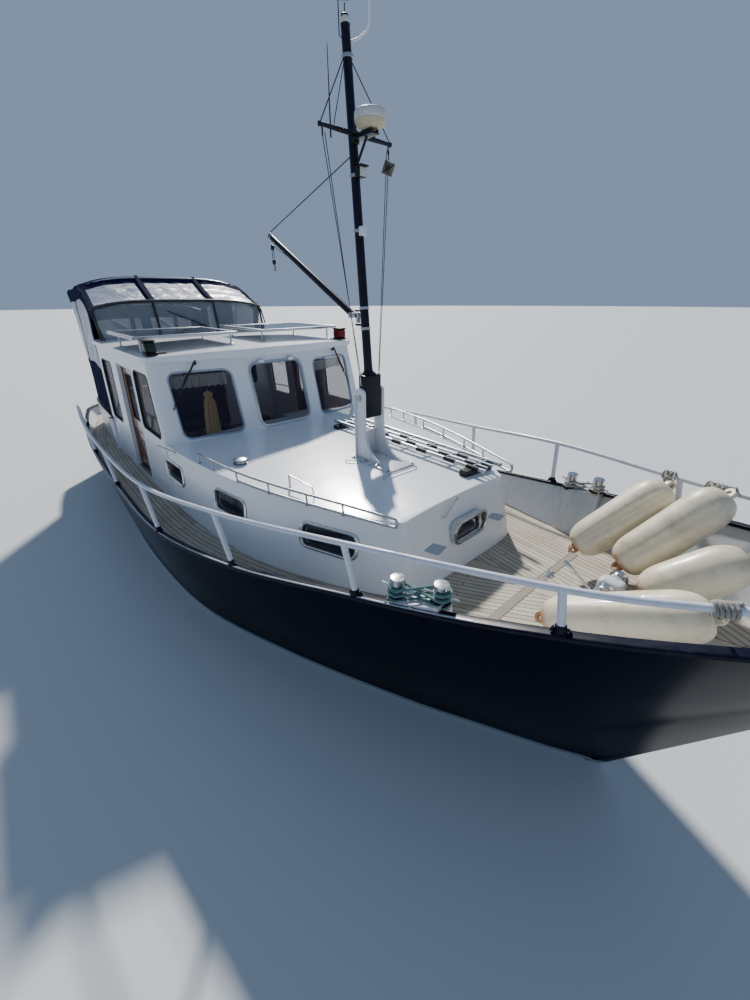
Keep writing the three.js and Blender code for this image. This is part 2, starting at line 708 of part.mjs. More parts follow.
const aftDoor = prismX(
  roundedRect(AFT_DOOR_Y[0] + 6, AFT_DOOR_Y[1] - 6, DOOR_Z[0] + 6, DOOR_Z[1] - 6, 46),
  WHEELHOUSE_AFT_X + 2,
  WHEELHOUSE_AFT_X + 40,
);
addPart("door_aft", aftDoor, paint(WOOD, 0.4));

// Roof with its cambered top, bowed front edge and rounded corners
const ROOF_PLAN = [
  [240, 400],
  [185, 640],
  [20, 1290],
  [-30, 1352],
  [-110, 1385],
  [-300, 1392],
  [-2640, 1392],
  [-2720, 1370],
  [-2750, 1300],
];
function roofForm() {
  const across = [-1, -0.66, -0.33, 0, 0.33, 0.66, 1];
  const crown = (f, y) => ROOF_CAMBER * (1 - ((f * y) / 1392) ** 2);
  const rings = ROOF_PLAN.map(([x, y]) => {
    const low = across.map((f) => [x, f * y, WHEELHOUSE_TOP_Z + GAP]);
    const high = across.map((f) => [x, f * y, WHEELHOUSE_TOP_Z + ROOF_THICKNESS + crown(f, y)]);
    return [...low, ...high.reverse()];
  });
  return skin(rings);
}
const roof = roofForm();
addPart("wheelhouse_roof", roof, paint(WHITE, 0.3));
const roofTopZ = (y) => WHEELHOUSE_TOP_Z + ROOF_THICKNESS + ROOF_CAMBER * (1 - (y / 1392) ** 2);

// Inside the wheelhouse: sole, dash, steering wheel and helm seat
const sole = box(WHEELHOUSE_AFT_X + 60, 60, -1370, 1370, 960, 1000).subtract(deckBand(-3000, GAP));
addPart("wheelhouse_sole", sole, paint(WOOD, 0.6));
const dashOutline = [
  [-60, 1001],
  [-60, 1700],
  [-330, 1640],
  [-430, 1440],
  [-400, 1001],
];
const wheelColumn = rod([-360, -620, 1489], [-470, -620, 1529], 22, 12);
addPart("dash", join(slabXZ(dashOutline, -1230, 1180), wheelColumn), paint(WOOD, 0.5));
const WHEEL_CENTRE = [-500, -620, 1540];
const WHEEL_TILT = 20;
const wheelRim = solid(new THREE.TorusGeometry(210, 14, 8, 24));
const wheelSpokes = [0, 60, 120].map((angle) =>
  rod([-205, 0, 0], [205, 0, 0], 9, 8).rotate([0, 0, angle]),
);
const wheelHub = solid(new THREE.CylinderGeometry(34, 34, 40, 12)).rotate([90, 0, 0]);
const wheel = join(wheelRim, wheelHub, ...wheelSpokes)
  .rotate([0, 90 + WHEEL_TILT, 0])
  .translate(WHEEL_CENTRE);
addPart("steering_wheel", wheel, paint(WOOD, 0.4));
const seatPost = rod([-1150, -620, 1001], [-1150, -620, 1520], 45, 12);
const seatBase = box(-1370, -930, -850, -390, 1500, 1600);
const seatBack = box(-1400, -1330, -850, -390, 1560, 2080);
addPart("helm_seat", join(seatPost, seatBase, seatBack), paint(0x5a4634, 0.8));

// Solar panels on short legs above the roof, one each side
const PANEL_X = [-1560, -340];
const PANEL_Y = [170, 1370];
const PANEL_Z = 2786;
const panelFrame = box(...PANEL_X, ...PANEL_Y, PANEL_Z, PANEL_Z + 34);
const panelLegs = [];
for (const x of [PANEL_X[0] + 160, PANEL_X[1] - 120]) {
  for (const y of [PANEL_Y[0] + 50, PANEL_Y[1] - 90]) {
    panelLegs.push(rod([x, y, roofTopZ(y) + 3], [x, y, PANEL_Z + 5], 11, 8));
  }
}
addPair("solar_panel", join(panelFrame, ...panelLegs), paint(0x9aa4b5, 0.2, 0.3));

// Side lights on the roof corners
const lightBox = box(-230, -60, 1215, 1335, roofTopZ(1215) + 4, roofTopZ(1215) + 160);
addPair("side_light", lightBox, paint(0x0c3a2c, 0.4));

// Tabernacle on the coachroof and the mast that pivots in it
const TABERNACLE_TOP_Z = 2451;
const TABERNACLE_FOOT_Z = 1766;
const cheekOutline = [
  [1920, TABERNACLE_FOOT_Z],
  [2400, TABERNACLE_FOOT_Z],
  [2300, 1810],
  [2180, 1900],
  [2090, 2060],
  [2045, 2260],
  [2040, 2420],
  [2010, TABERNACLE_TOP_Z],
  [1950, TABERNACLE_TOP_Z],
  [1920, 2420],
];
const betweenCheeks = slabXZ(rectangle(1800, 2500, 1830, 2600), -104, 104);
const cheeks = slabXZ(cheekOutline, -128, 128).subtract(betweenCheeks);
const footPlate = box(1880, 2430, -170, 170, TABERNACLE_FOOT_Z - 4, TABERNACLE_FOOT_Z + 8);
const pinHole = rod([PIN[0], -200, PIN[2]], [PIN[0], 200, PIN[2]], 16.5, 12);
const tabernacle = join(cheeks, footPlate).subtract(pinHole).subtract(coachroofForm(-1, -1));
addPart("tabernacle", tabernacle, paint(WHITE, 0.4));

const mastLean = (z) => PIN[0] + ((MAST_TOP[0] - PIN[0]) * (z - PIN[2])) / (MAST_TOP[2] - PIN[2]);
const mastAt = (z) => [mastLean(z), 0, z];
const mastShoe = box(PIN[0] - 48, PIN[0] + 48, -98, 98, PIN[2] - 190, PIN[2] + 210);
const mastTube = rod(mastAt(PIN[2] + 150), MAST_TOP, 40, 12, MAST_RADIUS);
const mastPin = rod([PIN[0], -140, PIN[2]], [PIN[0], 140, PIN[2]], 14, 12);
const topLight = rod([1752, 0, 4870], [1752, 0, 4990], 36, 12);
const neckLugs = [2965, 3079].map((z) => box(GOOSENECK[0] - 22, 1905, -22, 22, z, z + 16));
addPart("mast", join(mastShoe, mastTube, mastPin, topLight, ...neckLugs), paint(NAVY, 0.4));

const yardBar = rod([YARD_X, -YARD_HALF, YARD_Z], [YARD_X, YARD_HALF, YARD_Z], YARD_RADIUS, 10);
const RADOME_X = YARD_X + 150;
const radomeProfile = [
  [0, 0],
  [60, 0],
  [102, 34],
  [116, 58],
  [114, 82],
  [92, 102],
  [0, 110],
].map(([r, z]) => new THREE.Vector2(r, z));
const radome = solid(new THREE.LatheGeometry(radomeProfile, 20)).rotate([90, 0, 0]);
addPart("radome", radome.translate(RADOME_X, 0, YARD_Z - 2), paint(WHITE, 0.35));
const bracket = box(YARD_X - 12, RADOME_X + 60, -40, 40, YARD_Z - 42, YARD_Z - 3);
addPart("yard", join(yardBar, bracket), paint(NAVY, 0.4));

// Derrick boom on its gooseneck
const neckPin = rod([GOOSENECK[0], 0, 2988], [GOOSENECK[0], 0, 3072], 20, 12);
const neckBar = box(GOOSENECK[0] - 18, GOOSENECK[0] + 2, -41, 41, 3030, 3068);
const neckCheeks = [1, -1].map((side) => {
  const [inside, outside] = side > 0 ? [35, 41] : [-41, -35];
  return box(LUFF_PIN[0] - 22, GOOSENECK[0] - 10, inside, outside, 3028, 3072);
});
addPart("gooseneck", join(neckPin, neckBar, ...neckCheeks), paint(STEEL, 0.4, 1));
addPart("boom", rod(LUFF_PIN, BOOM_TIP, 29, 12, 24), paint(NAVY, 0.4));

// Guard rails
const rail = tube(RAIL_TOP, RAIL_RADIUS, 34);
const posts = STANCHIONS.map(([gx, gy, rx, ry]) => {
  const railZ = railHeight(rx);
  return rod([gx, gy, sheerZ(gx) + 10], [rx, ry, railZ], 20, 8);
});
function railHeight(x) {
  const i = RAIL_TOP.findIndex((row) => row[0] <= x);
  const [a, b] = [RAIL_TOP[i], RAIL_TOP[Math.max(0, i - 1)]];
  if (a === b) return a[2];
  return a[2] + ((b[2] - a[2]) * (x - a[0])) / (b[0] - a[0]);
}
const railEnds = [
  rod([5200, 500, sheerZ(5200) + 10], [5170, 482, 2140], 20, 8),
  rod([-4000, 1655, sheerZ(-4000) + 27], [-3995, 1696, 1200], 20, 8),
];
addPair("guard_rail", aboveCapping(join(rail, ...posts, ...railEnds)), paint(WHITE, 0.35));

// Pairs of bollards on the capping
const BOLLARDS = [
  [3523, 1142, 1734],
  [3779, 1056, 1789],
];
const bollardFeet = BOLLARDS.map(([x, y]) => [x, y - 6, sheerZ(x) + 27]);
const plate = skin([
  [
    [3390, 1085, bollardFeet[0][2] - 45],
    [3390, 1262, bollardFeet[0][2] - 45],
    [3390, 1262, bollardFeet[0][2] - 12],
    [3390, 1085, bollardFeet[0][2] - 12],
  ],
  [
    [3900, 940, bollardFeet[1][2] - 10],
    [3900, 1112, bollardFeet[1][2] - 10],
    [3900, 1112, bollardFeet[1][2] + 42],
    [3900, 940, bollardFeet[1][2] + 42],
  ],
]);
const bollardPosts = BOLLARDS.map(([x, y, z], i) =>
  rod([x, y, bollardFeet[i][2] - 15], [x, y, z], 45, 14),
);
const crossPins = BOLLARDS.map(([x, y, z]) => rod([x - 75, y + 24, z - 40], [x + 75, y - 24, z - 40], 8, 8));
addPair("bollards", aboveCapping(join(plate, ...bollardPosts, ...crossPins)), paint(NAVY, 0.35));

// Windlass on the foredeck
const windlassBase = box(4215, 4445, -110, 110, deckZ(4445) + PLANK_THICKNESS + 2, deckZ(4330) + 120);
const windlassDrum = rod([4330, -170, 1520], [4330, 140, 1520], 65, 16);
const windlass = join(windlassBase, windlassDrum, box(4250, 4410, -60, 60, 1440, 1580));
addPart("windlass", windlass.subtract(deckBand(-400, PLANK_THICKNESS + 1)), paint(WHITE, 0.4));

// Hand rails along the coachroof
const HANDRAIL = [
  [3080, 770, 1800],
  [2560, 955, 1812],
  [2100, 1110, 1816],
  [1560, 1245, 1820],
  [900, 1330, 1824],
];
const handrailFeet = HANDRAIL.map(([x, y, z]) => rod([x, y - 14, 1700], [x, y, z], 9, 8));
const handrail = join(tube(HANDRAIL, 12, 14), ...handrailFeet).subtract(coachroofForm(-1, -1));
addPair("handrail", handrail, paint(STEEL, 0.25, 1));

// Gangway ladder lying on the port side of the coachroof
const ladderRails = [330, 690].map((y) => rod([900, y, 1830], [3060, y - 60, 1810], 20, 8));
const ladderRungs = [];
for (let i = 0; i < 7; i++) {
  const x = 1050 + 310 * i;
  ladderRungs.push(rod([x, 322 - i * 9, 1828], [x, 690 - i * 9, 1828], 13, 8));
}
const pads = [1000, 2900].map((x) => box(x - 40, x + 40, 290, 700, 1765, 1822));
const gangway = join(...ladderRails, ...ladderRungs, ...pads);
addPart("gangway", gangway.subtract(coachroofForm(-1, -1)), paint(STEEL, 0.35, 1));

// Fenders
FENDERS.forEach(([x0, y0, z0, x1, y1, z1], i) => {
  const [a, b] = [new THREE.Vector3(x0, y0, z0), new THREE.Vector3(x1, y1, z1)];
  const length = a.distanceTo(b);
  const profile = [
    [0, 0],
    [50, 0],
    [105, 35],
    [FENDER_RADIUS, 110],
    [FENDER_RADIUS, length - 110],
    [105, length - 35],
    [50, length],
    [0, length],
  ].map(([r, z]) => new THREE.Vector2(r, z));
  const geometry = new THREE.LatheGeometry(profile, 16);
  const turn = new THREE.Quaternion().setFromUnitVectors(
    new THREE.Vector3(0, 1, 0),
    b.clone().sub(a).normalize(),
  );
  geometry.applyQuaternion(turn).translate(x0, y0, z0);
  addPart("fender_" + (i + 1), solid(geometry), paint(0xe8e4d8, 0.5));
});

// Low coaming round the aft deck
const COAMING_FOOT_Z = 986;
const COAMING_TOP_Z = 1500;
function coamingPlan(inset) {
  const half = [];
  half.push([WHEELHOUSE_AFT_X - 60 - GAP, 1440 - inset]);
  half.push([-4100, 1385 - inset]);
  half.push([-4650, 1245 - inset]);
  half.push([-4960 + inset * 0.4, 1040 - inset * 0.8]);
  half.push([-5130 + inset * 0.9, 740 - inset * 0.4]);
  half.push([-5190 + inset, 0]);
  return half;
}
function coamingRing(inset, z) {
  const half = coamingPlan(inset).map(([x, y]) => [x, y, z]);
  const otherSide = half.slice(0, -1).map(([x, y, pz]) => [x, -y, pz]);
  return [...half, ...otherSide.reverse()];
}
const coamingOutline = (z) => [...coamingRing(0, z), ...coamingRing(CABIN_WALL, z).reverse()];
const coaming = shellBetween(coamingOutline(COAMING_FOOT_Z - 20), coamingOutline(COAMING_TOP_Z));
addPart("aft_coaming", coaming.subtract(deckBand(-3000, PLANK_THICKNESS + GAP)), paint(WHITE, 0.4));

// Canopy: windscreen frame on the roof edge, top, sides and back
const ARCHES = [
  [-2590, 1340, 3060, 110],
  [-3250, 1300, 3370, 150],
  [-4600, 1270, 3300, 140],
  [-5060, 1180, 2960, 120],
];
function arch(x, halfWidth, z, rise, drop, count = 9) {
  const points = [];
  for (let i = 0; i < count; i++) {
    const f = -1 + (2 * i) / (count - 1);
    points.push([x, f * halfWidth, z + rise * (1 - f ** 4) - drop]);
  }
  return points;
}
const topRings = ARCHES.map(([x, halfWidth, z, rise]) => [
  ...arch(x, halfWidth, z, rise, 0),
  ...arch(x, halfWidth, z, rise, 22).reverse(),
]);
addPart("canopy_top", skin(topRings, true), paint(CANVAS, 0.9));

function curtain() {
  const outline = [
    [-2762, COAMING_TOP_Z + 4, 1392],
    [-2762, 2655, 1345],
    [-2600, 3030, ARCHES[0][1] - 4],
    [ARCHES[1][0], ARCHES[1][2] - 30, ARCHES[1][1] - 4],
    [ARCHES[2][0], ARCHES[2][2] - 30, ARCHES[2][1] - 4],
    [ARCHES[3][0] + 10, ARCHES[3][2] - 30, ARCHES[3][1] - 6],
    [-4960, COAMING_TOP_Z + 4, 1020],
    [-4650, COAMING_TOP_Z + 4, 1225],
    [-4100, COAMING_TOP_Z + 4, 1365],
  ];
  const outer = outline.map(([x, z, y]) => [x, y, z]);
  const inner = outline.map(([x, z, y]) => [x, y - 16, z]);
  return skin([outer, inner]);
}
addPair("canopy_side", curtain(), paint(CANVAS, 0.9));
const backRing = (shift) => [
  [-4990 - shift, -980, COAMING_TOP_Z + 4],
  [-4990 - shift, 980, COAMING_TOP_Z + 4],
  [-5066 - shift, 1120, 2900],
  [-5066 - shift, -1120, 2900],
];
addPart("canopy_back", skin([backRing(0), backRing(16)]), paint(CANVAS, 0.9));

const windscreenTop = arch(-2560, 1320, 3040, 110, 0);
const windscreenFoot = (y) => [-2470, y, roofTopZ(y) + 4];
const frameBars = [-1, -0.36, 0.36, 1].map((f) => {
  const y = f * 1300;
  const top = [-2560, y, 3040 + 110 * (1 - (y / 1320) ** 4)];
  return rod(windscreenFoot(y), top, 18, 8);
});
addPart("windscreen_frame", join(tube(windscreenTop, 20, 16), ...frameBars), paint(BLACK, 0.5));
const paneRing = (shift) => [
  ...windscreenTop.map(([x, y, z]) => [x - shift, y, z - 18]),
  ...windscreenTop.map(([, y]) => [-2470 - shift, y * 0.985, roofTopZ(y) + 12]).reverse(),
];
addPart("windscreen_glass", skin([paneRing(23), paneRing(28)]), paint(GLASS, 0.05));

export default trawler;
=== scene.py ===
"""A small steel trawler with a white wheelhouse and a navy canvas canopy, afloat on a plain floor."""
import math
import random

import bpy
from mathutils import Matrix, Vector


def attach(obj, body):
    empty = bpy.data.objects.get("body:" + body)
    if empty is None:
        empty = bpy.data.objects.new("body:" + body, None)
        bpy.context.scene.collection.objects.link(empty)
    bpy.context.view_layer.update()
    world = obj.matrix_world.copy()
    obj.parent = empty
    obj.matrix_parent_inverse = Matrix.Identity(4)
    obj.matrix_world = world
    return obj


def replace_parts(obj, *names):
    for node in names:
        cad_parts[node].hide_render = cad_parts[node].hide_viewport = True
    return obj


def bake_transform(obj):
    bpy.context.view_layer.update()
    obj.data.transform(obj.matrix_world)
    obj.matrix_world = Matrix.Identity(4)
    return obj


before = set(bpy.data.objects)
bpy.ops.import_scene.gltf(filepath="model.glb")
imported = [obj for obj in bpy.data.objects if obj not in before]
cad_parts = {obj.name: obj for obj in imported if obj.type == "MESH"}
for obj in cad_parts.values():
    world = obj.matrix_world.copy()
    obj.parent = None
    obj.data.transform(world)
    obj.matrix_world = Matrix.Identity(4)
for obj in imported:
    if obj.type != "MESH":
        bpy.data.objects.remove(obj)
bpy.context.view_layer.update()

# Camera: a wide phone lens, held at eye height above the landing stage off the starboard bow.
# It looks aft and to port along the boat and down onto the coachroof.
LENS_MM = 14.364
SENSOR_MM = 36
CAMERA_AT = Vector((4.837, -2.493, 3.200))
YAW, PITCH, ROLL = (math.radians(a) for a in (48.257, 27.05, 0.232))
level = Vector((-math.sin(YAW), math.cos(YAW), 0))
right = level.cross(Vector((0, 0, 1)))
ahead = math.cos(PITCH) * level - math.sin(PITCH) * Vector((0, 0, 1))
down = -math.sin(PITCH) * level - math.cos(PITCH) * Vector((0, 0, 1))
view_right = math.cos(ROLL) * right + math.sin(ROLL) * down
view_up = -(math.cos(ROLL) * down - math.sin(ROLL) * right)
bpy.ops.object.camera_add(location=CAMERA_AT)
camera = bpy.context.object
camera.matrix_world = Matrix.Translation(CAMERA_AT) @ Matrix(
    (view_right, view_up, -ahead)
).transposed().to_4x4()
camera.data.lens = LENS_MM
camera.data.sensor_width = SENSOR_MM
camera.data.clip_end = 400
bpy.context.scene.camera = camera


# Floor and light: a plain pale floor at the waterline, a soft lamp high on the port quarter,
# where the sun stands in the photograph, and a pale sky all round.
def linear(colour):
    """Linear red, green and blue of an sRGB hex colour."""
    parts = [int(colour[i:i + 2], 16) / 255 for i in (0, 2, 4)]
    return [c / 12.92 if c <= 0.04045 else ((c + 0.055) / 1.055) ** 2.4 for c in parts] + [1]


def node(material, kind, links=(), **settings):
    """Adds a node to a material with its settings, and links (output, input) pairs into it."""
    made = material.node_tree.nodes.new("ShaderNode" + kind)
    for name, value in settings.items():
        if name.startswith("in_"):
            key = name[3:]
            made.inputs[int(key) if key.isdigit() else key.replace("_", " ")].default_value = value
        else:
            setattr(made, name, value)
    for output, name in links:
        material.node_tree.links.new(output, made.inputs[name])
    return made


def surface(name, colour, roughness, **sockets):
    """A new material with its shader set, and the shader node."""
    material = bpy.data.materials.new(name)
    material.use_nodes = True
    shader = material.node_tree.nodes["Principled BSDF"]
    shader.inputs["Base Color"].default_value = linear(colour)
    shader.inputs["Roughness"].default_value = roughness
    for key, value in sockets.items():
        shader.inputs[key.replace("_", " ")].default_value = value
    return material, shader


def join_link(material, output, shader, socket):
    """Links an output into a named socket of the shader."""
    material.node_tree.links.new(output, shader.inputs[socket])


def clear_choice():
    """Leaves edit mode and chooses nothing."""
    if bpy.context.object and bpy.context.object.mode != "OBJECT":
        bpy.ops.object.mode_set(mode="OBJECT")
    bpy.ops.object.select_all(action="DESELECT")


clear_choice()
bpy.ops.mesh.primitive_circle_add(vertices=96, radius=160, fill_type="NGON")
floor = bpy.context.object
floor.name = "floor"
pale, shader = surface("matt_pale_floor", "C9CDD0", 0.85)
floor.data.materials.append(pale)
world = bpy.data.worlds.new("pale_sky")
world.use_nodes = True
world.node_tree.nodes["Background"].inputs["Color"].default_value = linear("B6D0F5")
world.node_tree.nodes["Background"].inputs["Strength"].default_value = 0.48
bpy.context.scene.world = world
SUN_TRAVEL = Vector((0.655, -0.464, -0.597))
bpy.ops.object.light_add(type="SUN", location=(-8, 6, 9))
lamp = bpy.context.object
lamp.rotation_euler = SUN_TRAVEL.to_track_quat("-Z", "Y").to_euler()
lamp.data.energy = 6.2
lamp.data.angle = math.radians(3)
lamp.data.color = (1.0, 0.965, 0.91)

# Hull: round-bilged steel plating welded into one shell, carried up past the deck as bulwarks.
# Navy gloss enamel outside, a pale boot line, dull red antifouling below and light grey inside.
LINES = [
    # x, gunwale half-breadth, sheer height, waterline half-breadth, deck height, lowest point
    (-5.790, 0.000, 1.175, 0.000, 0.985, 0.760),
    (-5.700, 0.690, 1.170, 0.000, 0.985, 0.420),
    (-5.400, 1.290, 1.155, 0.000, 0.980, 0.120),
    (-5.000, 1.500, 1.135, 0.560, 0.975, -0.090),
    (-4.300, 1.640, 1.105, 1.130, 0.970, -0.410),
    (-3.300, 1.780, 1.080, 1.480, 0.970, -0.720),
    (-2.000, 1.865, 1.075, 1.660, 0.970, -0.850),
    (-0.500, 1.895, 1.090, 1.710, 0.970, -0.880),
    (0.938, 1.866, 1.140, 1.590, 0.985, -0.860),
    (2.122, 1.629, 1.262, 1.215, 1.020, -0.790),
    (3.293, 1.302, 1.506, 0.715, 1.135, -0.660),
    (3.900, 1.120, 1.640, 0.405, 1.240, -0.520),
    (4.384, 0.947, 1.762, 0.150, 1.340, -0.300),
    (4.640, 0.838, 1.825, 0.000, 1.392, 0.000),
    (5.000, 0.648, 1.912, 0.000, 1.455, 0.679),
    (5.300, 0.452, 1.970, 0.000, 1.500, 1.245),
    (5.550, 0.232, 2.015, 0.000, 1.530, 1.717),
    (5.712, 0.000, 2.045, 0.000, 1.545, 2.022),
]
STEM_FOOT_X, STEM_RAKE, STERN_ARC_X = 4.640, 0.53, -5.000
STERN_TIP_X, BOW_TIP_X = LINES[0][0], LINES[-1][0]
COUNTER = (-4.00, -5.20)  # the bilge gives way to the counter stern between these stations
PLATE = 0.040


def hull_line(column, x):
    """Smooth value of a column of LINES at a station."""
    if x <= LINES[0][0]:
        return LINES[0][column]
    if x >= LINES[-1][0]:
        return LINES[-1][column]
    i = next(k for k, row in enumerate(LINES) if row[0] > x) - 1
    a, b = LINES[i], LINES[i + 1]
    before, after = LINES[max(0, i - 1)], LINES[min(len(LINES) - 1, i + 2)]
    span = b[0] - a[0]
    t = (x - a[0]) / span
    slope_a = (b[column] - before[column]) / (b[0] - before[0])
    slope_b = (after[column] - a[column]) / (after[0] - a[0])
    return (
        (2 * t ** 3 - 3 * t ** 2 + 1) * a[column]
        + (t ** 3 - 2 * t ** 2 + t) * span * slope_a
        + (3 * t ** 2 - 2 * t ** 3) * b[column]
        + (t ** 3 - t ** 2) * span * slope_b
    )


def gunwale_y(x):
    if x > STERN_ARC_X:
        return max(0, hull_line(1, x))
    t = min(1, (STERN_ARC_X - x) / (STERN_ARC_X - STERN_TIP_X))
    return hull_line(1, STERN_ARC_X) * math.sqrt(max(0, 1 - t * t))


def sheer_z(x):
    return hull_line(2, x)


def deck_z(x):
    return hull_line(4, x)


def keel_z(x):
    return (x - STEM_FOOT_X) / STEM_RAKE if x > STEM_FOOT_X else hull_line(5, x)


def through(points, steps):
    """Smooth curve through points, with a number of steps between each two."""
    curve = []
    for i in range(len(points) - 1):
        p0, p1 = points[max(0, i - 1)], points[i]
        p2, p3 = points[i + 1], points[min(len(points) - 1, i + 2)]
        for k in range(steps):
            t = k / steps
            curve.append(tuple(
                0.5 * (2 * b + (c - a) * t + (2 * a - 5 * b + 4 * c - d) * t * t
                       + (3 * b - a - 3 * c + d) * t ** 3)
                for a, b, c, d in zip(p0, p1, p2, p3)
            ))
    return curve + [tuple(points[-1])]


def spread(points, count):
    """The same line as count points at equal distances along it."""
    lengths = [0]
    for a, b in zip(points, points[1:]):
        lengths.append(lengths[-1] + math.dist(a, b))
    result, k = [], 0
    for i in range(count):
        wanted = lengths[-1] * i / (count - 1)
        while k < len(points) - 2 and lengths[k + 1] < wanted:
            k += 1
        t = (wanted - lengths[k]) / max(1e-9, lengths[k + 1] - lengths[k])
        result.append(tuple(a + (b - a) * min(1, t) for a, b in zip(points[k], points[k + 1])))
    return result


def half_section(x, count=30):
    """Outer face of one side at a station, from the keel to the gunwale, as (y, z)."""
    low, top, side = keel_z(x), sheer_z(x), gunwale_y(x)
    water = max(0, hull_line(3, x))
    if x < 0:
        counter = min(1, max(0, (COUNTER[0] - x) / (COUNTER[0] - COUNTER[1])))
    else:
        counter = float(low >= 0 or not water)
    counter = counter * counter * (3 - 2 * counter)
    bilge, overhang = [], []
    if counter < 1:
        bilge = spread(through([
            (0, low), (0.46 * water, 0.94 * low), (0.82 * water, 0.7 * low), (0.96 * water, 0.34 * low),
            (water, 0), (water + 0.52 * (side - water), 0.5 * top), (side, top),
        ], 6), count)
    if counter > 0:
        fullness = 0.47 if x > 0 else 0.66 + 0.20 * min(1, max(0, -4.6 - x) / 0.9)
        swell = 1 if x > 0 else 0.7
        overhang = spread(through([
            (fullness * side * f ** swell, low + 0.5 * f * (top - low)) for f in (0, 0.2, 0.4, 0.6, 0.8, 1)
        ] + [(side, top)], 6), count)
    if not bilge or not overhang:
        return [(max(0, y), z) for y, z in bilge or overhang]
    return [(max(0, a[0] + (b[0] - a[0]) * counter), a[1] + (b[1] - a[1]) * counter) for a,
            b in zip(bilge, overhang)]


def stations():
    xs = [STERN_ARC_X - (STERN_ARC_X - STERN_TIP_X) * math.sin(math.radians(a)) for a in range(90, 0, -6)]
    xs += [STERN_ARC_X + i * (STEM_FOOT_X - STERN_ARC_X) / 60 for i in range(61)]
    return xs + [STEM_FOOT_X + (BOW_TIP_X - STEM_FOOT_X) * (i / 14) ** 0.8 for i in range(1, 15)]


def lofted(name, rings, closed=True, capped=True):
    """A grid shaped into the surface through rings of points, joined round and closed at its ends."""
    rows = [list(ring) + [ring[0]] if closed else list(ring) for ring in rings]
    clear_choice()
    bpy.ops.mesh.primitive_grid_add(
        x_subdivisions=len(rows[0]) - 1, y_subdivisions=len(rows) - 1, size=1, location=(0, 0, 0)
    )
    made = bpy.context.object
    made.name = name
    for vertex, point in zip(made.data.vertices, [p for row in rows for p in row]):
        vertex.co = point
    bpy.ops.object.mode_set(mode="EDIT")
    bpy.ops.mesh.select_all(action="SELECT")
    bpy.ops.mesh.remove_doubles(threshold=2e-5)
    if capped:
        bpy.ops.mesh.fill_holes(sides=0)
    bpy.ops.mesh.select_all(action="SELECT")
    bpy.ops.mesh.normals_make_consistent(inside=False)
    bpy.ops.object.mode_set(mode="OBJECT")
    return made


def finished(piece, body, slot, *materials, smooth=35):
    """Gives a piece its materials, smooth shading up to an angle and its body. The slot is not used."""
    clear_choice()
    for material in materials:
        piece.data.materials.append(material)
    bpy.context.view_layer.objects.active = piece
    piece.select_set(True)
    if smooth:
        bpy.ops.object.shade_smooth_by_angle(angle=math.radians(smooth))
    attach(piece, body)
    return piece


SIDE_POINTS, WALL_POINTS = 30, 5
rings = []
for x in stations():
    outer = half_section(x, SIDE_POINTS)
    deck = min(max(deck_z(x), outer[0][1] + 0.03), sheer_z(x) - 0.002)
    wall = []
    for i in range(WALL_POINTS):
        z = sheer_z(x) - (sheer_z(x) - deck) * i / (WALL_POINTS - 1)
        k = next((j for j in range(1, SIDE_POINTS) if outer[j][1] >= z - 1e-6), SIDE_POINTS - 1)
        (ya, za), (yb, zb) = outer[k - 1], outer[k]
        t = (z - za) / (zb - za) if zb > za else 1
        wall.append((max(0, ya + (yb - ya) * min(1, max(0, t)) - PLATE), z))
    half = outer + wall + [(0, deck)]
    rings.append([(x, y, z) for y, z in half] + [(x, -y, z) for y, z in reversed(half[1:-1])])
hull = lofted("hull_plating", rings)
for face in hull.data.polygons:
    x, y, z = face.center
    inward = face.normal.y * y < 0 or abs(face.normal.z) > 0.9
    face.material_index = 1 if inward and z > deck_z(x) - 0.05 else 0

navy, shader = surface("navy_alkyd_enamel_on_steel", "050918", 0.2, Specular_IOR_Level=0.03)
place = node(navy, "TexCoord").outputs["Object"]
height = node(navy, "SeparateXYZ", [(place, 0)]).outputs["Z"]
wander = node(navy, "TexNoise", [(place, "Vector")], in_Scale=1.3, in_Detail=3)
wobbly = node(navy, "Math", [(wander.outputs["Fac"], 0)], operation="MULTIPLY", in_1=0.012)
edge = node(navy, "Math", [(height, 0), (wobbly.outputs[0], 1)], operation="ADD")
above_boot = node(navy, "MapRange", [(edge.outputs[0], "Value")], in_1=0.058, in_2=0.062)
below_boot = node(navy, "MapRange", [(edge.outputs[0], "Value")], in_1=0.000, in_2=0.004)
salt = node(navy, "TexNoise", [(place, "Vector")], in_Scale=9, in_Detail=8, in_Roughness=0.65)
salt_low = node(navy, "MapRange", [(height, "Value")], in_1=0.45, in_2=0.02, in_3=0.0, in_4=0.35)
salty = node(navy, "Math", [(salt.outputs["Fac"], 0), (salt_low.outputs[0], 1)], operation="MULTIPLY")
topsides = node(navy, "Mix", [(salty.outputs[0], "Factor")], data_type="RGBA",
                in_6=linear("050918"), in_7=linear("171C30"))
boot = node(navy, "Mix", [(above_boot.outputs[0], "Factor"), (topsides.outputs["Result"], 7)],
            data_type="RGBA", in_6=linear("8C949C"))
whole = node(navy, "Mix", [(below_boot.outputs[0], "Factor"), (boot.outputs["Result"], 7)],
             data_type="RGBA", in_6=linear("4A1D18"))
join_link(navy, whole.outputs["Result"], shader, "Base Color")
dull = node(navy, "MapRange", [(below_boot.outputs[0], "Value")], in_3=0.75, in_4=0.18)
dulled = node(navy, "Math", [(dull.outputs[0], 0), (salty.outputs[0], 1)], operation="ADD")
join_link(navy, dulled.outputs[0], shader, "Roughness")
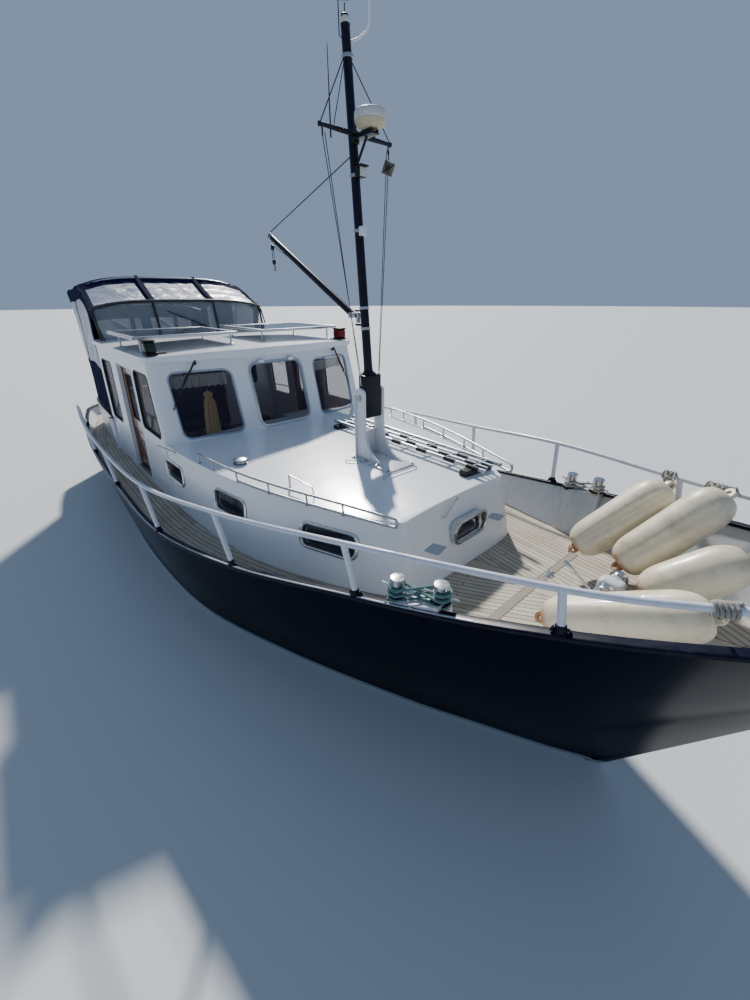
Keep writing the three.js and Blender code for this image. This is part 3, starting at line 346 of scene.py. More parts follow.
# Plates pulled in between their frames about every 450 mm, and roller texture of 3 mm
plates = node(navy, "TexNoise", [(place, "Vector")], in_Scale=1.6, in_Detail=1)
roller = node(navy, "TexNoise", [(place, "Vector")], in_Scale=330, in_Detail=1)
fine = node(navy, "Bump", [(roller.outputs["Fac"], "Height")], in_Strength=0.05, in_Distance=0.0005)
pulled = node(navy, "Bump", [(plates.outputs["Fac"], "Height"), (fine.outputs[0], "Normal")],
              in_Strength=0.35, in_Distance=0.02)
join_link(navy, pulled.outputs[0], shader, "Normal")


def weathered(name, colour, dirt, roughness, dirt_share=0.35, bump=0.0008, **sockets):
    """Old marine paint: broad uneven tone, faint run marks, and a brushed surface."""
    material, shader = surface(name, colour, roughness, **sockets)
    place = node(material, "TexCoord").outputs["Object"]
    broad = node(material, "TexNoise", [(place, "Vector")], in_Scale=2.2, in_Detail=5, in_Roughness=0.6)
    upright = node(material, "Mapping", [(place, "Vector")], in_Scale=(26, 26, 1.6))
    runs = node(material, "TexNoise", [(upright.outputs[0], "Vector")], in_Scale=1, in_Detail=3)
    mixed = node(material, "Math", [(broad.outputs["Fac"], 0), (runs.outputs["Fac"], 1)],
                 operation="MULTIPLY")
    share = node(material, "MapRange", [(mixed.outputs[0], "Value")],
                 in_1=0.2, in_2=0.45, in_3=0.0, in_4=dirt_share)
    toned = node(material, "Mix", [(share.outputs[0], "Factor")], data_type="RGBA",
                 in_6=linear(colour), in_7=linear(dirt))
    join_link(material, toned.outputs["Result"], shader, "Base Color")
    brushed = node(material, "TexNoise", [(place, "Vector")], in_Scale=120, in_Detail=2)
    lifted = node(material, "Bump", [(brushed.outputs["Fac"], "Height")], in_Strength=0.2, in_Distance=bump)
    wavy = node(material, "Bump", [(broad.outputs["Fac"], "Height"), (lifted.outputs[0], "Normal")],
                in_Strength=0.25, in_Distance=0.012)
    join_link(material, wavy.outputs[0], shader, "Normal")
    return material


inner_grey = weathered("light_grey_deck_enamel", "C4C8CC", "8E8F8B", 0.45)
finished(hull, "hull", "hull_paint", navy, inner_grey, smooth=40)
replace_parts(hull, "hull", "bulwark_port", "bulwark_starboard")

# Capping: a flat bar welded along the top of the bulwark, rounded outside and painted navy.
# A pale half-round strip along its outer edge is a painted highlight, standing for the sun's glare on the
# rounded capping.
CAP_IN, CAP_OUT, CAP_TOP = 0.052, 0.010, 0.026


def gunwale_frame(x):
    """Point on the gunwale to port, and the level direction square to it, pointing out."""
    here = Vector((x, gunwale_y(x), sheer_z(x)))
    fore, aft = min(BOW_TIP_X, x + 0.012), max(STERN_TIP_X, x - 0.012)
    along = Vector((fore - aft, gunwale_y(fore) - gunwale_y(aft), 0)).normalized()
    return here, Vector((-along.y, along.x, 0))


def along_gunwale(name, section, xs, side=1):
    """A bar with a section of (outward, up) offsets along one gunwale. The side is 1 to port."""
    rings = []
    for x in xs:
        here, out = gunwale_frame(x)
        ring = []
        for across, up in section:
            p = here + out * across
            ring.append((p.x, side * max(0.0006, p.y), p.z + up))
        rings.append(ring)
    return lofted(name, rings)


def arc(cx, cz, radius, start, end, count):
    """Points of an arc in (outward, up), with angles in degrees."""
    return [
        (cx + radius * math.cos(math.radians(start + (end - start) * i / count)),
         cz + radius * math.sin(math.radians(start + (end - start) * i / count)))
        for i in range(count + 1)
    ]


cap_section = (
    [(-CAP_IN, 0.001)] + arc(-CAP_IN + 0.006, CAP_TOP - 0.006, 0.006, 180, 90, 3)
    + arc(CAP_OUT - 0.012, CAP_TOP - 0.012, 0.012, 90, 0, 4) + [(CAP_OUT, 0.001)]
)
cap_navy = weathered("navy_enamel_on_flat_bar", "070B20", "2A2F3D", 0.34, dirt_share=0.5,
                     Specular_IOR_Level=0.14)
# Painted highlight: pale half-metallic paint on a strip, for the sun's glare along the capping's edge.
glare_strip_paint = weathered("rubbed_pale_paint_and_steel", "AEB4BC", "5F6670", 0.38, dirt_share=0.8, Metallic=0.35)
STRIP_FORE_X, STRIP_AFT_X = 4.01, -4.4
strip_section = arc(CAP_OUT - 0.017, CAP_TOP - 0.0065, 0.0105, 125, -35,
                    6) + [(CAP_OUT - 0.020, CAP_TOP - 0.016)]
for side, name in ((1, "port"), (-1, "starboard")):
    bar = along_gunwale("capping_bar_" + name, cap_section, stations(), side)
    finished(bar, "hull", "capping_paint", cap_navy)
    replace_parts(bar, "capping_" + name)
    run = [x for x in stations() if STRIP_AFT_X < x < STRIP_FORE_X]
    strip = along_gunwale("rubbing_strip_" + name, strip_section, [STRIP_AFT_X] + run + [STRIP_FORE_X], side)
    finished(strip, "hull", "capping_paint", glare_strip_paint)

# Deck: weathered teak planks laid parallel to the bulwarks every 47 mm, with black caulked seams.
# They are nibbed into a margin plank outside and meet at a king plank on the centreline forward.
PLANK, SEAM, MARGIN, KING = 0.047, 0.006, 0.10, 0.075
PLANK_THICKNESS, HOUSE_GAP = 0.012, 0.004
HOUSE = [  # x, half-breadth of the deckhouse at the deck
    (3.262, 0.430), (3.240, 0.645), (3.206, 0.712), (3.150, 0.760), (2.980, 0.862), (2.650, 1.003),
         (2.150, 1.180),
    (1.587, 1.325), (0.736, 1.420), (0.122, 1.448), (-2.650, 1.450),
]


def foot_y(x):
    """Half-breadth of the deckhouse where it stands on the deck, and nothing beyond its ends."""
    if x > HOUSE[0][0] + 0.004 or x < HOUSE[-1][0] - 0.004:
        return 0
    for (xa, ya), (xb, yb) in zip(HOUSE, HOUSE[1:]):
        if x >= xb:
            t = min(1, max(0, (x - xb) / (xa - xb)))
            return yb + (ya - yb) * t
    return HOUSE[-1][1]


def inner_y(x):
    """Inside of the bulwark at the deck."""
    outer, z = half_section(x, 60), deck_z(x) + 0.01
    k = next((j for j in range(1, 60) if outer[j][1] >= z), 59)
    (ya, za), (yb, zb) = outer[k - 1], outer[k]
    return max(0.0, ya + (yb - ya) * (z - za) / max(1e-6, zb - za) - PLATE - 0.003)


def modified(piece, kind, **settings):
    """Adds a modifier to a piece and applies it."""
    clear_choice()
    bpy.context.view_layer.objects.active = piece
    piece.select_set(True)
    made = piece.modifiers.new(kind.lower(), kind)
    for name, value in settings.items():
        setattr(made, name, value)
    bpy.ops.object.modifier_apply(modifier=made.name)
    return piece


def deck_side(name, xs, side):
    """Planking of one side, with a UV map that holds the distance in from the bulwark and along it."""
    across = 14
    rows, lookup = [], {}
    for x in xs:
        rim, inside = inner_y(x), foot_y(x) + (HOUSE_GAP if foot_y(x) else 0)
        slope = (inner_y(min(5.6, x + 0.02)) - inner_y(max(-5.7, x - 0.02))) / 0.04
        lean = 1 / math.sqrt(1 + slope * slope)
        row = []
        for i in range(across + 1):
            y = rim + (min(rim, inside) - rim) * i / across
            row.append((x, side * y, deck_z(x) + 0.0135))
            lookup[round(x, 4), round(side * y, 4)] = ((rim - y) * lean, x - (rim - y) * slope * lean * lean)
        rows.append(row)
    made = lofted(name, rows, closed=False, capped=False)
    layout = made.data.uv_layers.new(name="planks")
    for loop in made.data.loops:
        p = made.data.vertices[loop.vertex_index].co
        layout.data[loop.index].uv = lookup.get((round(p.x, 4), round(p.y, 4)), (0, p.x))
    return modified(made, "SOLIDIFY", thickness=PLANK_THICKNESS, offset=-1)


teak, shader = surface("weathered_teak_with_black_caulking", "8F8778", 0.72)
layout = node(teak, "UVMap", uv_map="planks").outputs[0]
place = node(teak, "TexCoord").outputs["Object"]
parts = node(teak, "SeparateXYZ", [(layout, 0)])
spot = node(teak, "SeparateXYZ", [(place, 0)])
inward, length = parts.outputs["X"], parts.outputs["Y"]
from_margin = node(teak, "Math", [(inward, 0)], operation="SUBTRACT", in_1=MARGIN)
count = node(teak, "Math", [(from_margin.outputs[0], 0)], operation="DIVIDE", in_1=PLANK)
number = node(teak, "Math", [(count.outputs[0], 0)], operation="FLOOR")
within = node(teak, "Math", [(count.outputs[0], 0)], operation="FRACT")
seam_across = node(teak, "Math", [(within.outputs[0], 0)], operation="LESS_THAN", in_1=SEAM / PLANK)
laid = node(teak, "Math", [(from_margin.outputs[0], 0)], operation="GREATER_THAN", in_1=-SEAM)
centre = node(teak, "Math", [(spot.outputs["Y"], 0)], operation="ABSOLUTE")
off_king = node(teak, "Math", [(centre.outputs[0], 0)], operation="GREATER_THAN", in_1=KING)
king_edge = node(teak, "Math", [(centre.outputs[0], 0)], operation="COMPARE", in_1=KING, in_2=SEAM / 2)
planked = node(teak, "Math", [(laid.outputs[0], 0), (off_king.outputs[0], 1)], operation="MULTIPLY")
butt_shift = node(teak, "Math", [(number.outputs[0], 0)], operation="MULTIPLY", in_1=0.734)
butt_at = node(teak, "Math", [(length, 0), (butt_shift.outputs[0], 1)], operation="ADD")
butt_count = node(teak, "Math", [(butt_at.outputs[0], 0)], operation="DIVIDE", in_1=2.2)
butt_within = node(teak, "Math", [(butt_count.outputs[0], 0)], operation="FRACT")
butt = node(teak, "Math", [(butt_within.outputs[0], 0)], operation="LESS_THAN", in_1=0.0022)
seams = node(teak, "Math", [(seam_across.outputs[0], 0), (butt.outputs[0], 1)], operation="MAXIMUM")
seams_laid = node(teak, "Math", [(seams.outputs[0], 0), (planked.outputs[0], 1)], operation="MULTIPLY")
black = node(teak, "Math", [(seams_laid.outputs[0], 0), (king_edge.outputs[0], 1)], operation="MAXIMUM")
butt_number = node(teak, "Math", [(butt_count.outputs[0], 0)], operation="FLOOR")
plank_key = node(teak, "CombineXYZ", [(number.outputs[0], "X"), (butt_number.outputs[0], "Y")])
plank_tone = node(teak, "TexWhiteNoise", [(plank_key.outputs[0], "Vector")])
grain_at = node(teak, "Mapping", [(layout, "Vector")], in_Scale=(420, 9, 1))
grain_moved = node(teak, "VectorMath", [(grain_at.outputs[0], 0), (plank_tone.outputs["Color"], 1)],
                   operation="ADD")
grain = node(teak, "TexNoise", [(grain_moved.outputs[0], "Vector")], in_Scale=1, in_Detail=5,
             in_Roughness=0.7)
bleached = node(teak, "TexNoise", [(place, "Vector")], in_Scale=2.4, in_Detail=5)
tone = node(teak, "ValToRGB", [(grain.outputs["Fac"], 0)])
tone.color_ramp.elements[0].position, tone.color_ramp.elements[1].position = 0.25, 0.75
tone.color_ramp.elements[0].color, tone.color_ramp.elements[1].color = linear("857C6E"), linear("C9C0AE")
shade = node(teak, "Mix", [(plank_tone.outputs["Value"], "Factor"), (tone.outputs[0], 6)],
             data_type="RGBA", blend_type="MULTIPLY", in_7=linear("D9D2C6"))
grey = node(teak, "MapRange", [(bleached.outputs["Fac"], "Value")], in_1=0.35, in_2=0.7, in_3=0, in_4=0.55)
greyed = node(teak, "Mix", [(grey.outputs[0], "Factor"), (shade.outputs["Result"], 6)],
              data_type="RGBA", in_7=linear("C6C2B6"))
final = node(teak, "Mix", [(black.outputs[0], "Factor"), (greyed.outputs["Result"], 6)],
             data_type="RGBA", in_7=linear("26241F"))
join_link(teak, final.outputs["Result"], shader, "Base Color")
level_of = node(teak, "Math", [(grain.outputs["Fac"], 0), (black.outputs[0], 1)], operation="SUBTRACT")
raised = node(teak, "Bump", [(level_of.outputs[0], "Height")], in_Strength=0.5, in_Distance=0.0015)
join_link(teak, raised.outputs[0], shader, "Normal")

AFT_END, FORE_END = -5.60, 5.50
house_xs = [row[0] for row in HOUSE]
deck_xs = sorted(
    {round(AFT_END + i * 0.08, 3) for i in range(140) if AFT_END + i * 0.08 < FORE_END}
    | {FORE_END, 3.267, 3.2665, -2.6545, -2.655} | {round(x, 3) for x in house_xs}
)
for side, name in ((1, "port"), (-1, "starboard")):
    planks = deck_side("teak_deck_" + name, deck_xs, side)
    finished(planks, "hull", "teak", teak, smooth=20)
    if side == 1:
        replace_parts(planks, "deck_planking")

# Coachroof: a low steel house welded to the deck, its sides running parallel to the bulwarks.
# Its top edges are rounded and the top is cambered. It is white enamel, dulled by salt and feet.
HOUSE_TOP = [  # x, half-breadth of the top edge, one row for each row of HOUSE up to the wheelhouse
    (3.102, 0.430), (3.090, 0.612), (3.062, 0.664), (3.010, 0.700), (2.860, 0.795), (2.550, 0.930),
             (2.080, 1.105),
    (1.545, 1.245), (0.720, 1.365), (0.122, 1.402),
]
ROOF_Z, ROOF_CAMBER, WALL = 1.712, 0.045, 0.040
house_white = weathered("white_marine_enamel", "E9EDF2", "CFD2D2", 0.26, dirt_share=0.16,
                        Coat_Weight=0.3, Coat_Roughness=0.12)
foot_curve = through(HOUSE[:10], 5)
top_curve = through(HOUSE_TOP, 5)


def house_y(x, z):
    """Half-breadth of the coachroof's outer face at a station and height."""
    points = []
    for (fx, fy), (tx, ty) in zip(foot_curve, top_curve):
        t = (z - deck_z(fx)) / (ROOF_Z - deck_z(fx))
        points.append((fx + (tx - fx) * t, fy + (ty - fy) * t))
    for (xa, ya), (xb, yb) in zip(points, points[1:]):
        if xb <= x <= xa:
            return ya + (yb - ya) * (xa - x) / max(1e-6, xa - xb)
    return points[0][1] if x > points[0][0] else points[-1][1]


def roof_z(x, y):
    """Top face of the coachroof."""
    edge = house_y(x, ROOF_Z)
    return ROOF_Z + 0.014 * min(1, max(0, (3.1 - x) / 3)) + ROOF_CAMBER * (1 - min(1, abs(y) / edge) ** 2)


def cut_away(piece, *cutters, solver="EXACT"):
    """Takes the cutters' volume out of a piece and removes them."""
    for cutter in cutters:
        modified(piece, "BOOLEAN", object=cutter, operation="DIFFERENCE", solver=solver)
    clear_choice()
    for cutter in cutters:
        cutter.select_set(True)
    bpy.ops.object.delete()


def rounded_outline(corners, radius, count=6):
    """Closed outline in two dimensions with each corner rounded."""
    outline = []
    for i, corner in enumerate(corners):
        p, a, b = Vector(corner), Vector(corners[i - 1]), Vector(corners[(i + 1) % len(corners)])
        to_a, to_b = (a - p).normalized(), (b - p).normalized()
        opening = to_a.angle(to_b)
        start = p + to_a * (radius / math.tan(opening / 2))
        centre = p + (to_a + to_b).normalized() * (radius / math.sin(opening / 2))
        turn = 1 if to_a.x * to_b.y - to_a.y * to_b.x < 0 else -1
        for k in range(count + 1):
            angle = turn * (math.pi - opening) * k / count
            c, s, d = math.cos(angle), math.sin(angle), start - centre
            outline.append((centre.x + c * d.x - s * d.y, centre.y + s * d.x + c * d.y))
    return outline


def oblong(u0, u1, v0, v1, radius, lean=0.0):
    """A rounded rectangle whose far side may lean back, as a closed outline."""
    corners = [(u0, v0), (u1, v0), (u1 - lean * (v1 - v0), v1), (u0, v1)]
    return rounded_outline(corners, radius)


def prism(name, outline, axis, low, high):
    """An outline pushed along an axis, 0 for x, 1 for y and 2 for z."""
    return lofted(name, [[p[:axis] + (v,) + p[axis:] for p in outline] for v in (low, high)])


def band(name, outline, at, section):
    """A closed frame round an outline. The section is (inward, outward) offsets placed by at(u, v, out)."""
    rings, count = [], len(outline)
    for i in range(count):
        before, after = Vector(outline[i - 1]), Vector(outline[(i + 1) % count])
        along = (after - before).normalized()
        inward = Vector((-along.y, along.x))
        rings.append([at(outline[i][0] + inward.x * s, outline[i][1] + inward.y * s, o) for s, o in section])
    return lofted(name, rings + [rings[0]], capped=False)


def pane(name, outline, at, out, thickness):
    """A thin plate inside an outline, in rings drawn in to its middle so that it can follow a curve."""
    u = sum(p[0] for p in outline) / len(outline)
    v = sum(p[1] for p in outline) / len(outline)
    rings = []
    for level_out, scales in ((out, (0, 0.5, 1)), (out - thickness, (1, 0.5, 0))):
        for s in scales:
            rings.append([at(u + (p[0] - u) * s, v + (p[1] - v) * s, level_out) for p in outline])
    return lofted(name, rings, capped=False)


def box_at(name, low, high, bevel=0.0, segments=3):
    """A box between two corners with rounded edges."""
    clear_choice()
    bpy.ops.mesh.primitive_cube_add(size=1, location=(0, 0, 0))
    made = bpy.context.object
    made.name = name
    for vertex in made.data.vertices:
        vertex.co = [low[i] if vertex.co[i] < 0 else high[i] for i in range(3)]
    if bevel:
        modified(made, "BEVEL", width=bevel, segments=segments, limit_method="NONE")
    return made


def pipe(name, points, radius, sides=12, closed=False):
    """A round bar or tube along a line of points."""
    rings, turn = [], None
    spine = [Vector(p) for p in points]
    for i, p in enumerate(spine):
        before = spine[i - 1] if i or closed else p
        after = spine[(i + 1) % len(spine)] if i < len(spine) - 1 or closed else p
        along = (after - before).normalized()
        if turn is None:
            turn = along.orthogonal().normalized()
        turn = (turn - along * turn.dot(along)).normalized()
        other = along.cross(turn)
        r = radius[i] if isinstance(radius, (list, tuple)) else radius
        rings.append([
            tuple(p + turn * (r * math.cos(2 * math.pi * k / sides))
                  + other * (r * math.sin(2 * math.pi * k / sides)))
            for k in range(sides)
        ])
    return lofted(name, rings + [rings[0]] if closed else rings, capped=not closed)


def turned_piece(name, profile, base, direction, sides=24):
    """A piece turned in a lathe: (radius, distance) pairs along a direction from its base."""
    axis = Vector(direction).normalized()
    side = axis.orthogonal().normalized()
    other = axis.cross(side)
    rings = []
    for r, h in profile:
        centre = Vector(base) + axis * h
        rings.append([
            tuple(centre + side * (r * math.cos(2 * math.pi * k / sides))
                  + other * (r * math.sin(2 * math.pi * k / sides)))
            for k in range(sides)
        ])
    return lofted(name, rings)


def joined(name, *pieces):
    clear_choice()
    for piece in pieces:
        piece.select_set(True)
    bpy.context.view_layer.objects.active = pieces[0]
    bpy.ops.object.join()
    pieces[0].name = name
    return pieces[0]


rows = []
for (fx, fy), (tx, ty) in zip(foot_curve, top_curve):
    low = deck_z(fx) - 0.05
    reach = (low - deck_z(fx)) / (ROOF_Z - deck_z(fx))
    foot = Vector((fx + (tx - fx) * reach, fy + (ty - fy) * reach, low))
    edge = Vector((tx, ty, ROOF_Z + 0.014 * min(1, max(0, (3.1 - tx) / 3))))
    half = [foot.lerp(edge, i / 6) for i in range(7)]
    for i in range(1, 9):
        f = 1 - i / 8
        half.append(Vector((tx, ty * f, edge.z + ROOF_CAMBER * (1 - f * f))))
    rows.append([(p.x, -p.y, p.z) for p in half] + [tuple(p) for p in reversed(half[:-1])])
middle = Vector((3.182, 0, 1.42))
lip = [[tuple(middle.lerp(Vector(p), s)) for p in rows[0]] for s in (0, 0.3, 0.6, 0.86)]
house = lofted("coachroof_house", lip + rows, capped=False)
modified(house, "BEVEL", width=0.010, segments=3, limit_method="ANGLE", angle_limit=math.radians(42))
modified(house, "SOLIDIFY", thickness=WALL, offset=-1)

PORTHOLES = [2.56, 1.43, 0.26]
PORTHOLE_Z = (1.340, 1.560)
PORTHOLE_HALF, PORTHOLE_RADIUS = 0.235, 0.055
FRONT_PORTHOLE = oblong(-0.150, 0.210, 1.385, 1.530, 0.055)


def porthole_outline(x, inset=0.0):
    """Opening of the side porthole at a station, drawn in by an inset."""
    half, edge = PORTHOLE_HALF - inset, 0.015 + inset
    return oblong(x - half, x + half, PORTHOLE_Z[0] + edge, PORTHOLE_Z[1] - edge, PORTHOLE_RADIUS - inset)


for x in PORTHOLES:
    outline = porthole_outline(x)
    cut_away(house, prism("cutter", outline, 1, -1.7, -0.6), prism("cutter", outline, 1, 0.6, 1.7))
cut_away(house, prism("cutter", FRONT_PORTHOLE, 0, 2.9, 3.5))
finished(house, "hull", "house_paint", house_white, smooth=32)
modified(house, "WEIGHTED_NORMAL", keep_sharp=True)
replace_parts(house, "coachroof")

# Portholes: flanged stainless castings bolted over openings in the coachroof, glass set in rubber.
# The one in the raked front stands open on a stay under a hood.
stainless, shader = surface("polished_stainless", "C9CCCF", 0.2, Metallic=1.0)
place = node(stainless, "TexCoord").outputs["Object"]
wear = node(stainless, "TexNoise", [(place, "Vector")], in_Scale=35, in_Detail=4)
worn = node(stainless, "MapRange", [(wear.outputs["Fac"], "Value")], in_3=0.10, in_4=0.36)
join_link(stainless, worn.outputs[0], shader, "Roughness")
window_glass, shader = surface("clear_grey_window_glass", "071A3E", 0.02, Alpha=0.24, Specular_IOR_Level=0.5)
rubber = weathered("black_rubber_seal", "17181C", "2A2B2E", 0.55)
FLANGE = [(0.004, -0.030), (0.004, 0.006), (0.000, 0.013), (-0.010, 0.016), (-0.026, 0.010), (-0.030, 0.000),
          (-0.030, -0.004)]


def house_side(side):
    """Places a point of the porthole's plane on one side of the coachroof."""
    def at(u, v, out):
        slope = (house_y(u + 0.05, v) - house_y(u - 0.05, v)) / 0.1
        rise = (house_y(u, v + 0.05) - house_y(u, v - 0.05)) / 0.1
        normal = Vector((-slope, 1, -rise)).normalized()
        p = Vector((u, house_y(u, v), v)) + normal * out
        return (p.x, side * p.y, p.z)
    return at


def house_front(u, v, out):
    """Places a point on the coachroof's raked front."""
    x = 3.262 - (v - deck_z(3.262)) * 0.277
    return (x + out * 0.964, u, v + out * 0.267)


for side, name in ((1, "port"), (-1, "starboard")):
    for i, x in enumerate(PORTHOLES):
        at = house_side(side)
        flange = band(f"porthole_flange_{name}_{i + 1}", porthole_outline(x), at, FLANGE)
        bolts = []
        for u, v in [(x + d, z) for z in PORTHOLE_Z for d in (-0.21, 0.21, 0)]:
            base, tip = Vector(at(u, v, 0.008)), Vector(at(u, v, 0.018))
            bolts.append(turned_piece("bolt", [(0.0065, 0), (0.0065, 0.004), (0.003, 0.007)], base,
                                      tip - base, 10))
        finished(joined(flange.name, flange, *bolts), "hull", "stainless", stainless)
        fitted = porthole_outline(x, 0.003)
        finished(pane(f"porthole_glass_{name}_{i + 1}", fitted, at, -0.012, 0.006), "hull", "window_glass",
                 window_glass)
        seal = band(f"porthole_seal_{name}_{i + 1}", fitted, at,
                    [(0, -0.010), (0.011, -0.010), (0.013, -0.016), (0, -0.016)])
        finished(seal, "hull", "window_glass", rubber)
flange = band("front_porthole_flange", FRONT_PORTHOLE, house_front, FLANGE)
finished(flange, "hull", "stainless", stainless)
finished(pane("front_porthole_glass", FRONT_PORTHOLE, house_front, -0.010, 0.006), "hull", "window_glass",
         window_glass)
HOOD = [(-0.014, 0.006), (-0.017, 0.050), (-0.012, 0.060), (0.004, 0.062), (0.010, 0.054), (0.010, 0.008)]


def hood_front(u, v, out):
    """Places a point of the hood, which stands out further at its head than at its foot."""
    return house_front(u, v, out * (0.60 + 0.95 * (v - 1.364) / 0.187))


finished(band("front_porthole_hood", oblong(-0.176, 0.236, 1.366, 1.549, 0.072), hood_front, HOOD), "hull",
         "stainless", stainless)
stay = pipe("porthole_stay", [house_front(-0.253, 1.626, 0.004), house_front(-0.250, 1.630, 0.030),
                              house_front(-0.240, 1.637, 0.038), house_front(-0.093, 1.731, 0.040)], 0.0065)
stay_knob = turned_piece("porthole_stay_knob", [(0.006, 0), (0.013, 0.004), (0.013, 0.018), (0.005, 0.022)],
                         house_front(-0.093, 1.731, 0.040), (0.05, 0.84, 0.54))
finished(joined("porthole_stay", stay, stay_knob), "hull", "stainless", stainless)
# Two thin blue-grey parallelogram plates lie flat on the coachroof's raked front, one to each side of the
# porthole.
patch_grey = weathered("blue_grey_deck_paint", "8FA3BD", "7E8EA3", 0.5)
for i, corners in enumerate((((-0.507, 1.448), (-0.396, 1.469), (-0.237, 1.376), (-0.358, 1.348)),
                             ((0.327, 1.427), (0.410, 1.445), (0.607, 1.353), (0.509, 1.334)))):
    ring = [[house_front(u, v, o) for u, v in corners] for o in (0.0006, 0.0016)]
    finished(lofted(f"painted_patch_{i + 1}", ring), "hull", "house_paint", patch_grey, smooth=0)

# Wheelhouse: a steel box with a raked front of three windows and rounded corners, leaning sides
# and a sliding door a side. The windows sit in black rubber, and everything is white enamel.
SIDE_FOOT_Y, SIDE_LEAN, SIDE_FOOT_Z, FRONT_Z, TOP_Z = 1.450, 0.055, 0.986, 1.764, 2.584
AFT_X, RAKE = -2.650, 0.24
FRONT_PLAN = [  # x, y of the front's outer face at its foot
    (0.405, 0.000), (0.404, 0.150), (0.400, 0.300), (0.375, 0.470), (0.320, 0.690), (0.257, 0.960),
              (0.208, 1.170),
    (0.186, 1.290), (0.158, 1.356), (0.122, 1.388), (0.090, 1.404),
]
plan_curve = through(FRONT_PLAN, 4)


def side_y(z):
    return SIDE_FOOT_Y - SIDE_LEAN * (z - SIDE_FOOT_Z)


def front_row(z):
    """Outer face of the front at a height, from the centreline round to the port side."""
    squeeze = side_y(z) / FRONT_PLAN[-1][1]
    return [(x - RAKE * (z - FRONT_Z), y * squeeze, z) for x, y in plan_curve]


def front_x(y, z):
    row = front_row(z)
    for a, b in zip(row, row[1:]):
        if a[1] <= abs(y) <= b[1]:
            return a[0] + (b[0] - a[0]) * (abs(y) - a[1]) / max(1e-6, b[1] - a[1])
    return row[-1][0]


def front_face(u, v, out):
    """Places a point on the wheelhouse's front, where u is y and v is z."""
    slope = (front_x(u + 0.02, v) - front_x(u - 0.02, v)) / 0.04
    normal = Vector((1, -slope, RAKE)).normalized()
    p = Vector((front_x(u, v), u, v)) + normal * out
    return tuple(p)


def side_face(side):
    """Places a point on one of the wheelhouse's sides, where u is x and v is z."""
    def at(u, v, out):
        return (u, side * (side_y(v) + out * 0.9985), v + out * 0.055)
    return at


def aft_face(u, v, out):
    return (AFT_X - out, u, v)


SIDE_STATIONS = [AFT_X, -2.2, -1.6, -1.1, -0.6, -0.2]
shell_rows = []
for z in (0.975, 1.2, 1.45, 1.69, 1.72, 1.80, 2.0, 2.2, 2.4, 2.52, TOP_Z):
    port = [(x, side_y(z), z) for x in SIDE_STATIONS]
    front = list(reversed(front_row(z)))
    half = port + front
    shell_rows.append(half + [(x, -y, z) for x, y, z in reversed(half[:-1])])
shell = lofted("wheelhouse_shell", shell_rows, closed=False, capped=False)
if max(shell.data.polygons, key=lambda face: face.center.x).normal.x < 0:
    clear_choice()
    bpy.context.view_layer.objects.active = shell
    shell.select_set(True)
    bpy.ops.object.mode_set(mode="EDIT")
    bpy.ops.mesh.select_all(action="SELECT")
    bpy.ops.mesh.flip_normals()
    bpy.ops.object.mode_set(mode="OBJECT")
modified(shell, "SOLIDIFY", thickness=WALL, offset=-1)

# Each window: its name, then lowest and highest across, lowest and highest z, corner radius, lean
FRONT_WINDOWS = [
    ("starboard", -1.215, -0.552, 1.765, 2.470, 0.09), ("centre", -0.346, 0.346, 1.795, 2.500, 0.09),
    ("port", 0.552, 1.215, 1.765, 2.470, 0.09),
]
SIDE_WINDOWS = [("fwd", -0.700, 0.030, 1.760, 2.440, 0.07, 0.24),
                ("aft", -2.480, -1.900, 1.560, 2.400, 0.07, 0.0)]
AFT_WINDOWS = [("starboard", -1.080, -0.420, 1.720, 2.380, 0.06), ("port", 0.620, 1.120, 1.720, 2.380, 0.06)]
GLASS_REBATE = 0.004
DOOR_X, DOOR_Z = (-1.540, -0.800), (1.030, 2.430)
below = box_at("cutter", (0.118, -1.8, 0.9), (0.9, 1.8, 1.70))
cut_away(shell, below, solver="FAST")


def drawn_in(window, inset):
    """Outline of a window drawn in by an inset all round."""
    _, low, high, foot, head, radius, *lean = window
    return oblong(low + inset, high - inset, foot + inset, head - inset, radius - inset, *lean)


for window in FRONT_WINDOWS:
    cut_away(shell, prism("cutter", drawn_in(window, GLASS_REBATE), 0, -0.3, 0.7))
for side in (1, -1):
    for window in SIDE_WINDOWS:
        cut_away(shell, prism("cutter", drawn_in(window, GLASS_REBATE), 1,
                              *sorted((side * 1.15, side * 1.7))))
    doorway = oblong(*DOOR_X, *DOOR_Z, 0.03)
    cut_away(shell, prism("cutter", doorway, 1, *sorted((side * 1.15, side * 1.7))))
cut_away(shell, prism("cutter", porthole_outline(PORTHOLES[2]), 1, -1.7, 1.7), solver="FAST")
finished(shell, "hull", "house_paint", house_white, smooth=30)
modified(shell, "WEIGHTED_NORMAL", keep_sharp=True)
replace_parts(shell, "wheelhouse_front", "wheelhouse_side_port", "wheelhouse_side_starboard")

# Wheelhouse windows: flat safety glass set back in black rubber, the middle one in front in a
# stainless frame that opens from its top edge, with hinges.
GASKET = [(-0.009, -0.004), (-0.009, 0.002), (-0.005, 0.005), (0.003, 0.006), (0.009, 0.002),
          (0.012, -0.014),
          (0.012, -0.028), (0.003, -0.028)]


def glazed(name, window, at, nodes=(), sealing=rubber):
    """Glass with its rubber seal in one opening, standing for the nodes named."""
    plate = pane("glass_" + name, drawn_in(window, 0.006), at, -0.020, 0.005)
    finished(plate, "hull", "window_glass", window_glass)
    if nodes:
        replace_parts(plate, *nodes)
    finished(band("seal_" + name, drawn_in(window, 0.0), at, GASKET), "hull", "window_glass", sealing)
